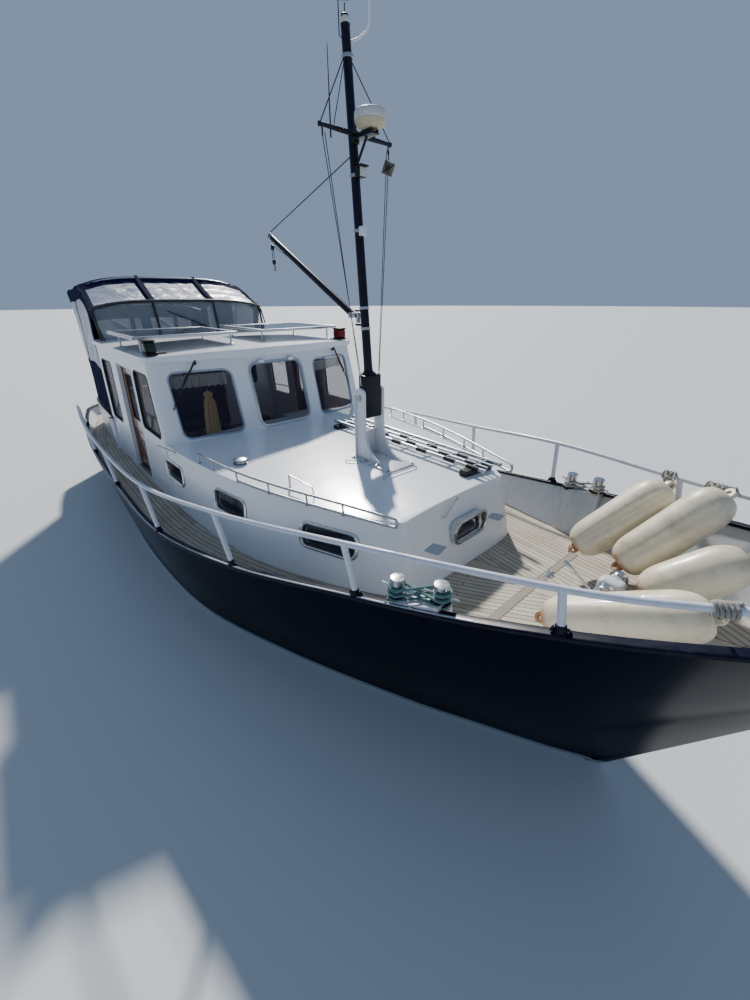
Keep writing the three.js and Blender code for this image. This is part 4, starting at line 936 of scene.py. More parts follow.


# The front windows' seals are blue-grey as painted shade, standing for the shaded recess round each pane;
# the darker tone at random is dirt.
recess_shade_seal = weathered("rubber_seal_painted_over", "A3AEC0", "7C879A", 0.5)
for window in FRONT_WINDOWS:
    glazed("front_" + window[0], window, front_face, ["front_glass_" + window[0]], recess_shade_seal)
for side, side_name in ((1, "port"), (-1, "starboard")):
    for window in SIDE_WINDOWS:
        place = f"{window[0]}_{side_name}"
        glazed("side_" + place, window, side_face(side), ["side_glass_" + place])
for window in AFT_WINDOWS:
    glazed("aft_" + window[0], window, aft_face)
# The opening window's frame, proud of the rubber
OPENING = [(0.020, 0.006), (0.020, 0.016), (0.014, 0.022), (0.002, 0.022), (-0.004, 0.016), (-0.004, 0.006)]
frame_outline = oblong(-0.360, 0.360, 1.781, 2.514, 0.10)
opening_frame = band("opening_window_frame", frame_outline, front_face, OPENING)
hinges = []
for y in (-0.20, 0.20):
    leaf = box_at("hinge", (0, 0, 0), (0.012, 0.075, 0.040), 0.003)
    leaf.data.transform(Matrix.Translation(Vector(front_face(y - 0.037, 2.500, 0.016))))
    knuckle = pipe("knuckle", [front_face(y - 0.036, 2.528, 0.022), front_face(y + 0.036, 2.528, 0.022)],
                   0.008)
    hinges += [leaf, knuckle]
finished(joined("opening_window_frame", opening_frame, *hinges), "hull", "stainless", stainless)
# Wipers hang from spindles above the outer windows
wiper_black = weathered("black_coated_wiper_steel", "1A1B1E", "3A3B3D", 0.4, Metallic=0.2)
for name, y, tip_y in (("starboard", -0.905, -1.130), ("port", 0.980, 1.120)):
    spindle = turned_piece("spindle", [(0.016, 0), (0.016, 0.018), (0.010, 0.026), (0.010, 0.034)],
                           front_face(y, 2.545, 0.0), (1, 0, RAKE), 16)
    arm_points = [front_face(y + (tip_y - y) * t, 2.560 - 0.30 * t, 0.038 - 0.010 * t)
                  for t in (-0.06, 0.35, 0.7, 1)]
    arm = pipe("arm", arm_points, [0.010, 0.010, 0.009, 0.006])
    blade_mid = Vector(front_face(tip_y, 2.260, 0.012))
    blade = pipe("blade", [front_face(tip_y + (tip_y - y) * t * 0.5, 2.260 - 0.17 * t, 0.013) for t in
                           (-1, -0.5, 0, 0.5, 1)], 0.0065, 8)
    clip = box_at("clip", tuple(blade_mid - Vector((0.004, 0.012, 0.02))),
                  tuple(blade_mid + Vector((0.018, 0.012, 0.02))),
                  0.003)
    finished(joined("wiper_" + name, spindle, arm, blade, clip), "hull", "window_glass", wiper_black)

# Wheelhouse roof: a cambered steel top with rounded edges that overhangs the walls as an eyebrow.
# A drip rail runs under its edge, and the underside is painted.
ROOF_PLAN = [  # x, half-breadth
    (0.240, 0.400), (0.185, 0.640), (0.020, 1.290), (-0.030, 1.352), (-0.110, 1.385), (-0.300, 1.392),
    (-1.000, 1.392), (-1.800, 1.392), (-2.640, 1.392), (-2.720, 1.370), (-2.748, 1.300),
]
ROOF_HALF, ROOF_UNDER, ROOF_EDGE, ROOF_CROWN = 1.392, 2.5855, 2.633, 0.040


def top_z(y):
    """Upper face of the wheelhouse's roof."""
    return ROOF_EDGE + ROOF_CROWN * (1 - (y / ROOF_HALF) ** 2)


roof_curve = through(ROOF_PLAN, 4)
rows = []
for x, half in roof_curve:
    ring = [(x, half * (1 - 2 * i / 24), ROOF_UNDER) for i in range(25)]
    ring += [(x, -half * (1 - 2 * i / 24), top_z(half * (1 - 2 * i / 24))) for i in range(25)]
    rows.append(ring)
roof = lofted("wheelhouse_roof_moulding", rows)
modified(roof, "BEVEL", width=0.014, segments=4, limit_method="ANGLE", angle_limit=math.radians(50))
finished(roof, "hull", "house_paint", house_white, smooth=35)
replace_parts(roof, "wheelhouse_roof")
drip = [(x * 0.994 - 0.006, half - 0.030, 2.578) for x, half in roof_curve]
drip_rail = pipe("drip_rail", drip + [(x, -y, z) for x, y, z in reversed(drip)], 0.007, 8)
finished(drip_rail, "hull", "house_paint", house_white)

# Solar panels: two framed glass panels on thin stainless legs above the roof, sky reflected in them.
PANEL_X, PANEL_Y, PANEL_Z = (-1.560, -0.340), (0.170, 1.370), 2.786
cells, shader = surface("crystalline_cells_under_glass", "1A2334", 0.06, Coat_Weight=0.8,
                        Coat_Roughness=0.03)
place = node(cells, "TexCoord").outputs["Object"]
grid_at = node(cells, "Mapping", [(place, "Vector")], in_Scale=(1, 1, 0.0001))
bricks = node(cells, "TexBrick", [(grid_at.outputs[0], "Vector")], offset=0.0, in_Scale=1.0,
              in_Mortar_Size=0.003,
              in_Brick_Width=0.16, in_Row_Height=0.16, in_Color1=linear("18223A"),
              in_Color2=linear("1C2844"),
              in_Mortar=linear("AEB6C2"))
join_link(cells, bricks.outputs["Color"], shader, "Base Color")
alloy, shader = surface("anodised_aluminium", "B9BEC4", 0.34, Metallic=0.9)
for side, name in ((1, "port"), (-1, "starboard")):
    y0, y1 = sorted((side * PANEL_Y[0], side * PANEL_Y[1]))
    rim = [box_at("rim", (PANEL_X[0], y0, PANEL_Z), (PANEL_X[1], y0 + 0.030, PANEL_Z + 0.033), 0.003),
           box_at("rim", (PANEL_X[0], y1 - 0.030, PANEL_Z), (PANEL_X[1], y1, PANEL_Z + 0.033), 0.003),
           box_at("rim", (PANEL_X[0], y0 + 0.029, PANEL_Z),
                  (PANEL_X[0] + 0.030, y1 - 0.029, PANEL_Z + 0.033), 0.003),
           box_at("rim", (PANEL_X[1] - 0.030, y0 + 0.029, PANEL_Z),
                  (PANEL_X[1], y1 - 0.029, PANEL_Z + 0.033), 0.003)]
    legs = []
    for x in (PANEL_X[0] + 0.16, PANEL_X[1] - 0.12):
        for y in (PANEL_Y[0] + 0.05, PANEL_Y[1] - 0.09):
            z = top_z(y)
            legs.append(pipe("leg", [(x, side * y, z), (x, side * y, PANEL_Z + 0.002)], 0.0105))
            legs.append(turned_piece("leg_foot", [(0.030, 0), (0.030, 0.006), (0.014, 0.010)],
                                     (x, side * y, z - 0.001),
                                     (0, 0, 1), 16))
    finished(joined("solar_frame_" + name, *rim, *legs), "hull", "alloy", alloy)
    plate = box_at("solar_glass_" + name, (PANEL_X[0] + 0.028, y0 + 0.028, PANEL_Z + 0.010),
                   (PANEL_X[1] - 0.028, y1 - 0.028, PANEL_Z + 0.029))
    finished(plate, "hull", "panel_glass", cells, smooth=0)
    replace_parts(plate, "solar_panel_" + name)

# Side lights: a green lamp to starboard and a red one to port, each in a black screen box.
lamp_black = weathered("black_powder_coated_box", "0A0C0F", "1C1F22", 0.45, Specular_IOR_Level=0.25)
for side, name, tint in ((1, "port", "6E1215"), (-1, "starboard", "05201B")):
    z = top_z(1.215) + 0.004
    y0, y1 = sorted((side * 1.218, side * 1.330))
    lens, shader = surface(f"coloured_acrylic_lens_{name}", tint, 0.25, Specular_IOR_Level=0.3)
    ribs_at = node(lens, "TexCoord").outputs["Object"]
    ribs = node(lens, "TexWave", [(ribs_at, "Vector")], bands_direction="Z", in_Scale=26.0,
                in_Distortion=0.0)
    ribbed = node(lens, "Bump", [(ribs.outputs["Fac"], "Height")], in_Strength=0.6, in_Distance=0.002)
    join_link(lens, ribbed.outputs[0], shader, "Normal")
    body = box_at("side_light_lens_" + name, (-0.222, y0, z + 0.026), (-0.064, y1, z + 0.132), 0.018, 4)
    finished(body, "hull", "light_box_port" if side > 0 else "light_box", lens)
    base = box_at("base", (-0.228, y0 - 0.002, z), (-0.062, y1 + 0.002, z + 0.026), 0.005)
    lid = box_at("lid", (-0.228, y0 - 0.002, z + 0.132), (-0.062, y1 + 0.002, z + 0.154), 0.008)
    bracket = pipe("bracket", [(-0.145, side * 1.220, z + 0.012), (-0.145, side * 1.120, z + 0.012),
                               (-0.145, side * 1.110, top_z(1.11))], 0.009)
    case = joined("side_light_case_" + name, base, lid, bracket)
    finished(case, "hull", "light_box", lamp_black)
    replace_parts(case, "side_light_" + name)

# Canopy: acrylic canvas over tubular bows aft of the wheelhouse, in one sheet from side to side.
# The front slope has three soft window panels between sewn straps, creased and slack from use.
BOWS = [  # x, half-width, height of the eaves, rise to the middle
    (-2.590, 1.340, 3.060, 0.110), (-3.250, 1.300, 3.370, 0.150), (-4.600, 1.270, 3.300, 0.140),
    (-5.060, 1.180, 2.960, 0.120),
]
BOW_STEPS = (16, 22, 12)
canvas, shader = surface("navy_acrylic_canvas", "0C1540", 0.92, Specular_IOR_Level=0.06)
on_cloth = node(canvas, "UVMap", uv_map="cloth").outputs[0]
# Threads are 0.5 mm apart, drawn at 2.5 mm so that they show
warp = node(canvas, "TexWave", [(on_cloth, "Vector")], bands_direction="X", in_Scale=200.0)
weft = node(canvas, "TexWave", [(on_cloth, "Vector")], bands_direction="Y", in_Scale=200.0)
weave = node(canvas, "Math", [(warp.outputs["Fac"], 0), (weft.outputs["Fac"], 1)], operation="MULTIPLY")
faded = node(canvas, "TexNoise", [(on_cloth, "Vector")], in_Scale=2.6, in_Detail=6, in_Roughness=0.6)
fading = node(canvas, "MapRange", [(faded.outputs["Fac"], "Value")], in_1=0.35, in_2=0.75, in_3=0.0,
              in_4=0.8)
cloth_tone = node(canvas, "Mix", [(fading.outputs[0], "Factor")], data_type="RGBA", in_6=linear("0B1233"),
                  in_7=linear("18214A"))
join_link(canvas, cloth_tone.outputs["Result"], shader, "Base Color")
crumple = node(canvas, "TexNoise", [(on_cloth, "Vector")], in_Scale=7.0, in_Detail=4, in_Roughness=0.55)
crumpled = node(canvas, "Bump", [(crumple.outputs["Fac"], "Height")], in_Strength=0.5, in_Distance=0.02)
woven = node(canvas, "Bump", [(weave.outputs[0], "Height"), (crumpled.outputs[0], "Normal")],
             in_Strength=0.3,
             in_Distance=0.0006)
join_link(canvas, woven.outputs[0], shader, "Normal")

soft_window, shader = surface("clear_pvc_sheet_gone_milky", "CBD3DB", 0.3, Alpha=0.8,
                              Specular_IOR_Level=0.45)
on_cloth = node(soft_window, "UVMap", uv_map="cloth").outputs[0]
slanted = node(soft_window, "Mapping", [(on_cloth, "Vector")], vector_type="TEXTURE",
               in_Rotation=(0, 0, math.radians(43)), in_Scale=(0.030, 0.60, 1))
folds = node(soft_window, "TexNoise", [(slanted.outputs[0], "Vector")], in_Scale=1.0, in_Detail=2,
             in_Roughness=0.5)
folded = node(soft_window, "Bump", [(folds.outputs["Fac"], "Height")], in_Strength=0.5, in_Distance=0.03)
join_link(soft_window, folded.outputs[0], shader, "Normal")
milky = node(soft_window, "MapRange", [(folds.outputs["Fac"], "Value")], in_1=0.35, in_2=0.7, in_3=0.62,
             in_4=0.95)
join_link(soft_window, milky.outputs[0], shader, "Alpha")
# The colour follows the folds from blue-grey to near white: painted highlights on the ridges and painted
# shade in the hollows.
fold_highlight_and_shade_tone = node(soft_window, "Mix", [(folds.outputs["Fac"], "Factor")], data_type="RGBA",
                 in_6=linear("8F9DBB"),
                 in_7=linear("F4F6FA"))
join_link(soft_window, fold_highlight_and_shade_tone.outputs["Result"], shader, "Base Color")


def cloth_sheet(name, rows):
    """A sheet through rows of points, with a UV map of the distance along and across in metres."""
    made = lofted(name, rows, closed=False, capped=False)
    layout = made.data.uv_layers.new(name="cloth")
    along = [0.0]
    centre = len(rows[0]) // 2
    for a, b in zip(rows, rows[1:]):
        along.append(along[-1] + math.dist(a[centre], b[centre]))
    lookup = {}
    for v, row in zip(along, rows):
        u = 0.0
        for i, p in enumerate(row):
            u += math.dist(p, row[i - 1]) if i else 0.0
            lookup[tuple(round(c, 3) for c in p)] = (u, v)
    for loop in made.data.loops:
        p = made.data.vertices[loop.vertex_index].co
        layout.data[loop.index].uv = lookup.get(tuple(round(c, 3) for c in p), (0, 0))
    return made


def settled(piece, hold, steps, slack, cap, gravity=1.0):
    """Lets a sheet hang from the points where hold(position) is true, and keeps each move under cap."""
    clear_choice()
    bpy.context.view_layer.objects.active = piece
    piece.select_set(True)
    group = piece.vertex_groups.new(name="held")
    held = [v.index for v in piece.data.vertices if hold(v.co)]
    group.add(held, 1.0, "REPLACE")
    start = [v.co.copy() for v in piece.data.vertices]
    cloth = piece.modifiers.new("cloth", "CLOTH")
    cloth.settings.quality = 6
    cloth.settings.mass = 0.3
    cloth.settings.tension_stiffness = cloth.settings.compression_stiffness = 18
    cloth.settings.shear_stiffness = 6
    cloth.settings.bending_stiffness = 0.15
    cloth.settings.vertex_group_mass = "held"
    cloth.settings.shrink_min = -slack
    cloth.settings.effector_weights.gravity = gravity
    cloth.point_cache.frame_start, cloth.point_cache.frame_end = 1, steps
    for frame_at in range(1, steps + 1):
        bpy.context.scene.frame_set(frame_at)
    bpy.ops.object.modifier_apply(modifier=cloth.name)
    bpy.context.scene.frame_set(1)
    for vertex, old in zip(piece.data.vertices, start):
        move = vertex.co - old
        if move.length > cap:
            vertex.co = old + move * (cap / move.length)
    piece.vertex_groups.clear()
    return piece


rows = []
for k in range(3):
    a, b = BOWS[k], BOWS[k + 1]
    for i in range(BOW_STEPS[k] + (1 if k == 2 else 0)):
        t = i / BOW_STEPS[k]
        x, half, low, rise = (p + (q - p) * t for p, q in zip(a, b))
        hollow = math.sin(math.pi * t) * (0.010, 0.022, 0.012)[k]
        row = []
        for j in range(61):
            f = -1 + 2 * j / 60
            z = low + rise * (1 - f ** 4) - hollow * (1 - 0.3 * f * f)
            # Folds run in from the corners, where the straps pull
            pull = math.sin(9 * math.pi * (f + 0.22 * t)
                            + 2.2 * math.sin(3.1 * f + k)) * math.sin(math.pi * t)
            z += 0.0055 * pull * (1 if k == 0 else 0.55)
            row.append((x, half * f, z - 0.008))
        rows.append(row)
canopy = cloth_sheet("canopy_cloth", rows)
bow_xs = [bow[0] for bow in BOWS]


def laced(p):
    """Whether a point of the canopy lies on a bow or along its side hems."""
    return min(abs(p.x - x) for x in bow_xs) < 0.004 or abs(p.y) > 1.16 + 0.12 * (p.x > -4.7)


settled(canopy, laced, steps=14, slack=0.006, cap=0.020)
for face in canopy.data.polygons:
    x, y, z = face.center
    span = (x - BOWS[1][0]) / (BOWS[0][0] - BOWS[1][0])
    f = abs(y) / (BOWS[1][1] + (BOWS[0][1] - BOWS[1][1]) * span)
    lit = 0.25 < span < 0.955 and (f < 0.30 or 0.385 < f < 0.93)
    face.material_index = 1 if lit else 0
modified(canopy, "SOLIDIFY", thickness=0.002, offset=-1)
modified(canopy, "SUBSURF", levels=1, render_levels=1)
finished(canopy, "hull", "canvas", canvas, soft_window, smooth=60)
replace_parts(canopy, "canopy_top")
width = sum(math.dist(a, b) for a, b in zip(rows[20], rows[20][1:]))
length = sum(math.dist(a[30], b[30]) for a, b in zip(rows, rows[1:]))
# Sewn straps over the slope
straps = []
for f in (-0.345, 0.345):
    path = []
    for i in range(13):
        t = i / 12
        x, half, low, rise = (p + (q - p) * t for p, q in zip(BOWS[0], BOWS[1]))
        path.append((x, half * f, low + rise * (1 - f ** 4) - 0.0035 - math.sin(math.pi * t) * 0.012))
    strip = [[(p[0], p[1] - 0.030, p[2] - 0.001), (p[0], p[1], p[2] + 0.002),
              (p[0], p[1] + 0.030, p[2] - 0.001)]
             for p in path]
    strap = cloth_sheet("canopy_strap", strip)
    modified(strap, "SOLIDIFY", thickness=0.003, offset=0)
    straps.append(strap)
straps = finished(joined("canopy_straps", *straps), "hull", "canvas", canvas, smooth=60)

# Canopy sides and back: canvas curtains zipped to the top, each with a soft window sewn in.
# They hang slack from the bows to the aft coaming, where they are pressed on studs.
CANVAS_FOOT_Z = 1.508
SIDE_FOOT = [(-2.762, 1.390, 1.508), (-3.400, 1.378, 1.508), (-4.100, 1.363, 1.508), (-4.650, 1.224, 1.508),
             (-4.968, 1.012, 1.508)]
SIDE_HEAD = [(-2.600, 1.332, 3.032), (-3.250, 1.292, 3.345), (-3.900, 1.276, 3.322), (-4.600, 1.262, 3.272),
             (-5.052, 1.170, 2.932)]
FRONT_EDGE = [(-2.762, 1.390, 1.508), (-2.762, 1.345, 2.655), (-2.600, 1.332, 3.032)]


def curtain_rows(side):
    foot, head = spread(through(SIDE_FOOT, 8), 49), spread(through(SIDE_HEAD, 8), 49)
    edge = spread(FRONT_EDGE, 41)
    table = []
    for i, (low, high) in enumerate(zip(foot, head)):
        u = i / 48
        row = []
        for j in range(41):
            v = j / 40
            p = Vector(low).lerp(Vector(high), v)
            lead = Vector(edge[j]) - Vector(edge[0]).lerp(Vector(edge[-1]), v)
            p += lead * max(0, 1 - u / 0.25)
            loose = math.sin(math.pi * v) * min(1, 6 * u, 6 * (1 - u))
            coarse = math.sin(7.5 * math.pi * (u + 0.30 * v)) * 0.55
            wrinkle = coarse + math.sin(16 * math.pi * (u - 0.12 * v) + 1) * 0.3
            p.y -= 0.007 + loose * (0.010 - 0.0075 * wrinkle)
            row.append((p.x, side * p.y, p.z))
        table.append(row)
    return table


for side, name in ((1, "port"), (-1, "starboard")):
    rows = curtain_rows(side)
    curtain = cloth_sheet("canopy_curtain_" + name, rows)
    lookup = {}
    for i, row in enumerate(rows):
        for j, p in enumerate(row):
            lookup[tuple(round(c, 3) for c in p)] = (i / 48, j / 40)
    for face in curtain.data.polygons:
        uvs = [lookup.get(tuple(round(c, 3) for c in curtain.data.vertices[k].co), (0, 0))
               for k in face.vertices]
        u, v = (sum(p[n] for p in uvs) / len(uvs) for n in (0, 1))
        panel = 0.40 < v < 0.90 and (0.083 < u < 0.50 or 0.54 < u < 0.875)
        face.material_index = 1 if panel else 0
    modified(curtain, "SOLIDIFY", thickness=0.0018, offset=0)
    finished(curtain, "hull", "canvas", canvas, soft_window, smooth=60)
    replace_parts(curtain, "canopy_side_" + name)

foot_edge = [(-4.975 - 0.012 * math.cos(y), y, CANVAS_FOOT_Z)
             for y in (-1.004, -0.75, -0.5, -0.25, 0, 0.25, 0.5, 0.75, 1.004)]
head_edge = []
for k in range(9):
    f = -1 + k / 4
    head_edge.append((-5.060, 1.168 * f, 2.948 + 0.120 * (1 - f ** 4)))
rows = []
foot, head = spread(through(foot_edge, 6), 49), spread(through(head_edge, 6), 49)
for i in range(49):
    u, row = i / 48, []
    for j in range(33):
        v = j / 32
        p = Vector(foot[i]).lerp(Vector(head[i]), v)
        loose = math.sin(math.pi * v) * math.sin(math.pi * u)
        p.x += 0.006 + loose * (0.012 - 0.007 * math.sin(10 * math.pi * (u + 0.2 * v)))
        row.append(tuple(p))
    rows.append(row)
back = cloth_sheet("canopy_back_cloth", rows)
for face in back.data.polygons:
    up = (face.center.z - CANVAS_FOOT_Z) / 1.45
    across = abs(face.center.y) / (1.004 + 0.164 * up)
    up *= 1.45 / (1.440 + 0.120 * (1 - across ** 4))
    face.material_index = 1 if 2 / 24 < across < 19 / 24 and 11 / 32 < up < 27 / 32 else 0
modified(back, "SOLIDIFY", thickness=0.0018, offset=0)
finished(back, "hull", "canvas", canvas, soft_window, smooth=60)
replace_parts(back, "canopy_back")


def under_curtain(x, z):
    """How far out a bow's leg can stand at a place without touching the side curtain."""
    def out_at(line):
        a, b = next(((a, b) for a, b in zip(line, line[1:]) if b[0] <= x), (line[0], line[1]))
        return a[1] + (b[1] - a[1]) * min(1, max(0, (a[0] - x) / (a[0] - b[0])))
    low, high = out_at(SIDE_FOOT), out_at(SIDE_HEAD)
    return low + (high - low) * (z - CANVAS_FOOT_Z) / 1.7 - 0.055


# Tubular bows under the cloth, and press studs along its foot
bows = []
for x, half, low, rise in BOWS[1:]:
    points = [(x + 0.036, half * f * 0.962, low + rise * (1 - f ** 4) - 0.036)
              for f in [-1 + k / 12 for k in range(25)]]
    leg = []
    for i in range(8):
        t = i / 8
        p = Vector((-4.10, 0, 1.500)).lerp(Vector((x, 0, points[-1][2] - 0.05)), t)
        leg.append((p.x, under_curtain(p.x, p.z), p.z))
    points = [(a, -b, c) for a, b, c in leg] + points + leg[::-1]
    bows.append(pipe("bow", points, 0.0125, 12))
finished(joined("canopy_bows", *bows), "hull", "alloy", alloy)
studs = []
for side in (1, -1):
    for x, y, z in spread(through(SIDE_FOOT, 8), 12)[1:]:
        studs.append(turned_piece("stud", [(0.008, 0), (0.008, 0.002), (0.004, 0.004)],
                                  (x, side * (y - 0.004), z + 0.02),
                                  (0, side, 0), 10))
finished(joined("canopy_studs", *studs), "hull", "stainless", stainless)

# Canopy windscreen: glass in a black tube frame that stands on the wheelhouse roof.
# Navy straps and a half-rolled curtain hang behind it, and a wiper lies across the middle pane.
SCREEN_TOP = [(-2.560, 1.320 * f, 3.040 + 0.110 * (1 - f ** 4)) for f in [-1 + k / 16 for k in range(33)]]
screen_black, shader = surface("black_powder_coated_tube", "16181D", 0.38, Coat_Weight=0.2)
place = node(screen_black, "TexCoord").outputs["Object"]
speckle = node(screen_black, "TexNoise", [(place, "Vector")], in_Scale=260, in_Detail=2)
orange_peel = node(screen_black, "Bump", [(speckle.outputs["Fac"], "Height")], in_Strength=0.15,
                   in_Distance=0.0006)
join_link(screen_black, orange_peel.outputs[0], shader, "Normal")
bars = [pipe("top_tube", SCREEN_TOP, 0.019, 16)]
for f in (-1, -0.36, 0.36, 1):
    y = f * 1.300
    top = (-2.560, y, 3.040 + 0.110 * (1 - (y / 1.320) ** 4))
    bars.append(pipe("bar", [(-2.470, y, top_z(y)), top], 0.0165, 14))
    bars.append(turned_piece("bar_foot", [(0.034, 0), (0.034, 0.007), (0.020, 0.014)],
                             (-2.470, y, top_z(y) - 0.001),
                             (0, 0, 1), 18))
for side in (1, -1):
    bars.append(pipe("brace", [(-2.300, side * 1.290, top_z(1.29)), (-2.545, side * 1.322, 3.010)], 0.012,
                     12))
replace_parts(finished(joined("windscreen_tubes", *bars), "hull", "screen_frame", screen_black),
            "windscreen_frame")
clear_pane, shader = surface("clear_laminated_glass", "AEB9C0", 0.03, Alpha=0.28, Specular_IOR_Level=0.8)
rows = [[(x - 0.023, y, z - 0.018) for x, y, z in SCREEN_TOP],
        [(-2.493, y * 0.985, top_z(y) + 0.010) for x, y, z in SCREEN_TOP]]
screen = lofted("windscreen_panes", rows, closed=False, capped=False)
modified(screen, "SOLIDIFY", thickness=0.005, offset=0)
finished(screen, "hull", "window_glass", clear_pane, smooth=40)
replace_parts(screen, "windscreen_glass")
for k, (y0, y1, drop) in enumerate(((-0.840, -0.770, 0.40), (-0.210, -0.150, 0.40), (0.500, 0.800, 0.34))):
    rows = []
    for i in range(13):
        t = i / 12
        z = 3.120 - drop * t
        rows.append([(-2.600 - 0.008 * math.sin(3 * math.pi * t)
                      - (0.012 * math.sin(14 * (y0 + (y1 - y0) * s))), y0 + (y1 - y0) * s, z)
                     for s in [j / 10 for j in range(11)]])
    strap = cloth_sheet(f"windscreen_curtain_{k + 1}", rows)
    modified(strap, "SOLIDIFY", thickness=0.003, offset=0)
    finished(strap, "hull", "canvas", canvas, smooth=60)
blade_a, blade_b = Vector((-2.500, -0.180, 2.960)), Vector((-2.466, 0.250, 2.770))
wiper = [pipe("arm", [blade_a, blade_a.lerp(blade_b, 0.5), blade_b], [0.006, 0.009, 0.011], 8),
         pipe("rubber", [blade_a + Vector((-0.008, -0.12, 0.05)), blade_a + Vector((-0.004, 0.16, -0.075))],
              0.007, 8),
         turned_piece("spindle", [(0.018, 0), (0.018, 0.02), (0.010, 0.03)], blade_b - Vector((0.02, 0, 0)),
                      (1, 0, 0.1), 14)]
finished(joined("windscreen_wiper", *wiper), "hull", "screen_frame", wiper_black)

# Guard rails: white-painted steel tube along both gunwales, on stanchions that lean out a little.
# Each stanchion stands in a navy socket with a half-round lug fore and aft of it for lashings.
RAIL_TOP = [
    (5.172, 0.482, 2.125), (5.150, 0.498, 2.138), (5.020, 0.580, 2.124), (4.850, 0.668, 2.094),
    (4.339, 0.912, 2.015),
    (3.248, 1.325, 1.913), (2.051, 1.648, 1.755), (0.851, 1.872, 1.644), (-0.700, 1.905, 1.565),
    (-2.300, 1.862, 1.535), (-3.650, 1.748, 1.520), (-3.860, 1.720, 1.490), (-3.950, 1.706, 1.400),
    (-4.000, 1.695, 1.200),
]
STANCHIONS = [  # x at the gunwale, y there, x at the rail
    (4.384, 0.922, 4.339), (3.293, 1.277, 3.248), (2.122, 1.604, 2.051), (0.938, 1.841, 0.851),
    (-0.700, 1.869, -0.700), (-2.300, 1.822, -2.300),
]
RAIL_RADIUS = 0.0185
# Both tones are tinted lilac-blue as painted sky reflection on the white enamel; the darker tone, laid at
# random, is dirt.
sky_tinted_rail_white = weathered("white_enamel_on_steel_tube", "D6DAE6", "A3A9B8", 0.28, dirt_share=0.45,
                       Coat_Weight=0.3)
rail_line = [(5.200, 0.500, 1.985), (5.188, 0.492, 2.080)] + through(RAIL_TOP, 8) + [(-4.000, 1.660, 1.128)]


def rail_at(x):
    """Point on the port guard rail at a station."""
    i = next(k for k, row in enumerate(RAIL_TOP) if row[0] <= x)
    (xa, ya, za), (xb, yb, zb) = RAIL_TOP[i - 1], RAIL_TOP[i]
    t = (x - xb) / (xa - xb)
    return Vector((x, yb + (ya - yb) * t, zb + (za - zb) * t))


for side, name in ((1, "port"), (-1, "starboard")):
    tubes = [pipe("rail", [(x, side * y, z) for x, y, z in spread(rail_line, 150)], RAIL_RADIUS, 16)]
    sockets = []
    feet = [(gx, gy, rail_at(rx)) for gx, gy, rx in STANCHIONS]
    feet += [(5.200, 0.500, Vector((5.195, 0.496, 2.0))), (-4.000, 1.652, Vector((-4.0, 1.660, 1.2)))]
    for gx, gy, top in feet:
        foot = Vector((gx, gy, sheer_z(gx) + CAP_TOP))
        up = (top - foot).normalized()
        if top.z - foot.z > 0.15:
            tubes.append(pipe("post", [(p.x, side * p.y, p.z) for p in (foot + up * 0.01, top)], 0.0205, 16))
        base = (foot.x, side * foot.y, foot.z - 0.003)
        sockets.append(turned_piece("socket",
                                    [(0.036, 0), (0.036, 0.006), (0.0275, 0.010), (0.0265, 0.046),
                                     (0.022, 0.050)],
                                    base, (up.x, side * up.y, up.z), 20))
        here, out = gunwale_frame(gx)
        along = Vector((-out.y, out.x, 0)) * -1
        for way in (1, -1):
            ring_a, ring_b = [], []
            for k in range(13):
                a = math.pi * k / 12
                p = foot + along * way * (0.024 + 0.026 * (1 + math.cos(a))
                                          - 0.026) + Vector((0, 0, 0.034 * math.sin(a)))
                ring_a.append((p + out * 0.007).to_tuple())
                ring_b.append((p - out * 0.007).to_tuple())
            lug = lofted("lug", [[(x, side * y, z) for x, y, z in ring] for ring in (ring_a, ring_b)])
            hole = pipe("lug_hole", [(q.x, side * q.y, q.z) for q in (
                foot + along * way * 0.026 + Vector((0, 0, 0.017)) + out * 0.03,
                foot + along * way * 0.026 + Vector((0, 0, 0.017)) - out * 0.03)], 0.009, 14)
            cut_away(lug, hole)
            sockets.append(lug)
    tube = joined("guard_rail_tube_" + name, *tubes)
    finished(tube, "hull", "rail_paint", sky_tinted_rail_white)
    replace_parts(tube, "guard_rail_" + name)
    finished(joined("rail_sockets_" + name, *sockets), "hull", "capping_paint", cap_navy, smooth=30)

# Bollards: pairs of thick steel posts on a plate across each capping, navy below, with polished caps
# and a thin pin through each. Teal and pale mooring rope is belayed round them in figures of eight.
BOLLARDS = [(3.523, 1.142, 1.734), (3.779, 1.056, 1.789)]
POST_RADIUS = 0.0425


def laid_rope(name, points, radius, pitch):
    """Three-strand rope along a line of points, as one twisted, lobed bar."""
    length = sum(math.dist(a, b) for a, b in zip(points, points[1:]))
    spine = [Vector(p) for p in spread(points, max(6, int(length / pitch * 10)))]
    rings, turn = [], None
    for i, here in enumerate(spine):
        along = (spine[min(i + 1, len(spine) - 1)] - spine[max(i - 1, 0)]).normalized()
        turn = along.orthogonal() if turn is None else turn
        turn = (turn - along * turn.dot(along)).normalized()
        other, ring = along.cross(turn), []
        for k in range(15):
            angle = 2 * math.pi * k / 15
            lobe = abs(math.cos(1.5 * (angle + 2 * math.pi * i / 10)))
            ring.append((here
                         + (turn * math.cos(angle) + other * math.sin(angle)) * radius
                         * (0.78 + 0.22 * lobe)).to_tuple())
        rings.append(ring)
    return lofted(name, rings)


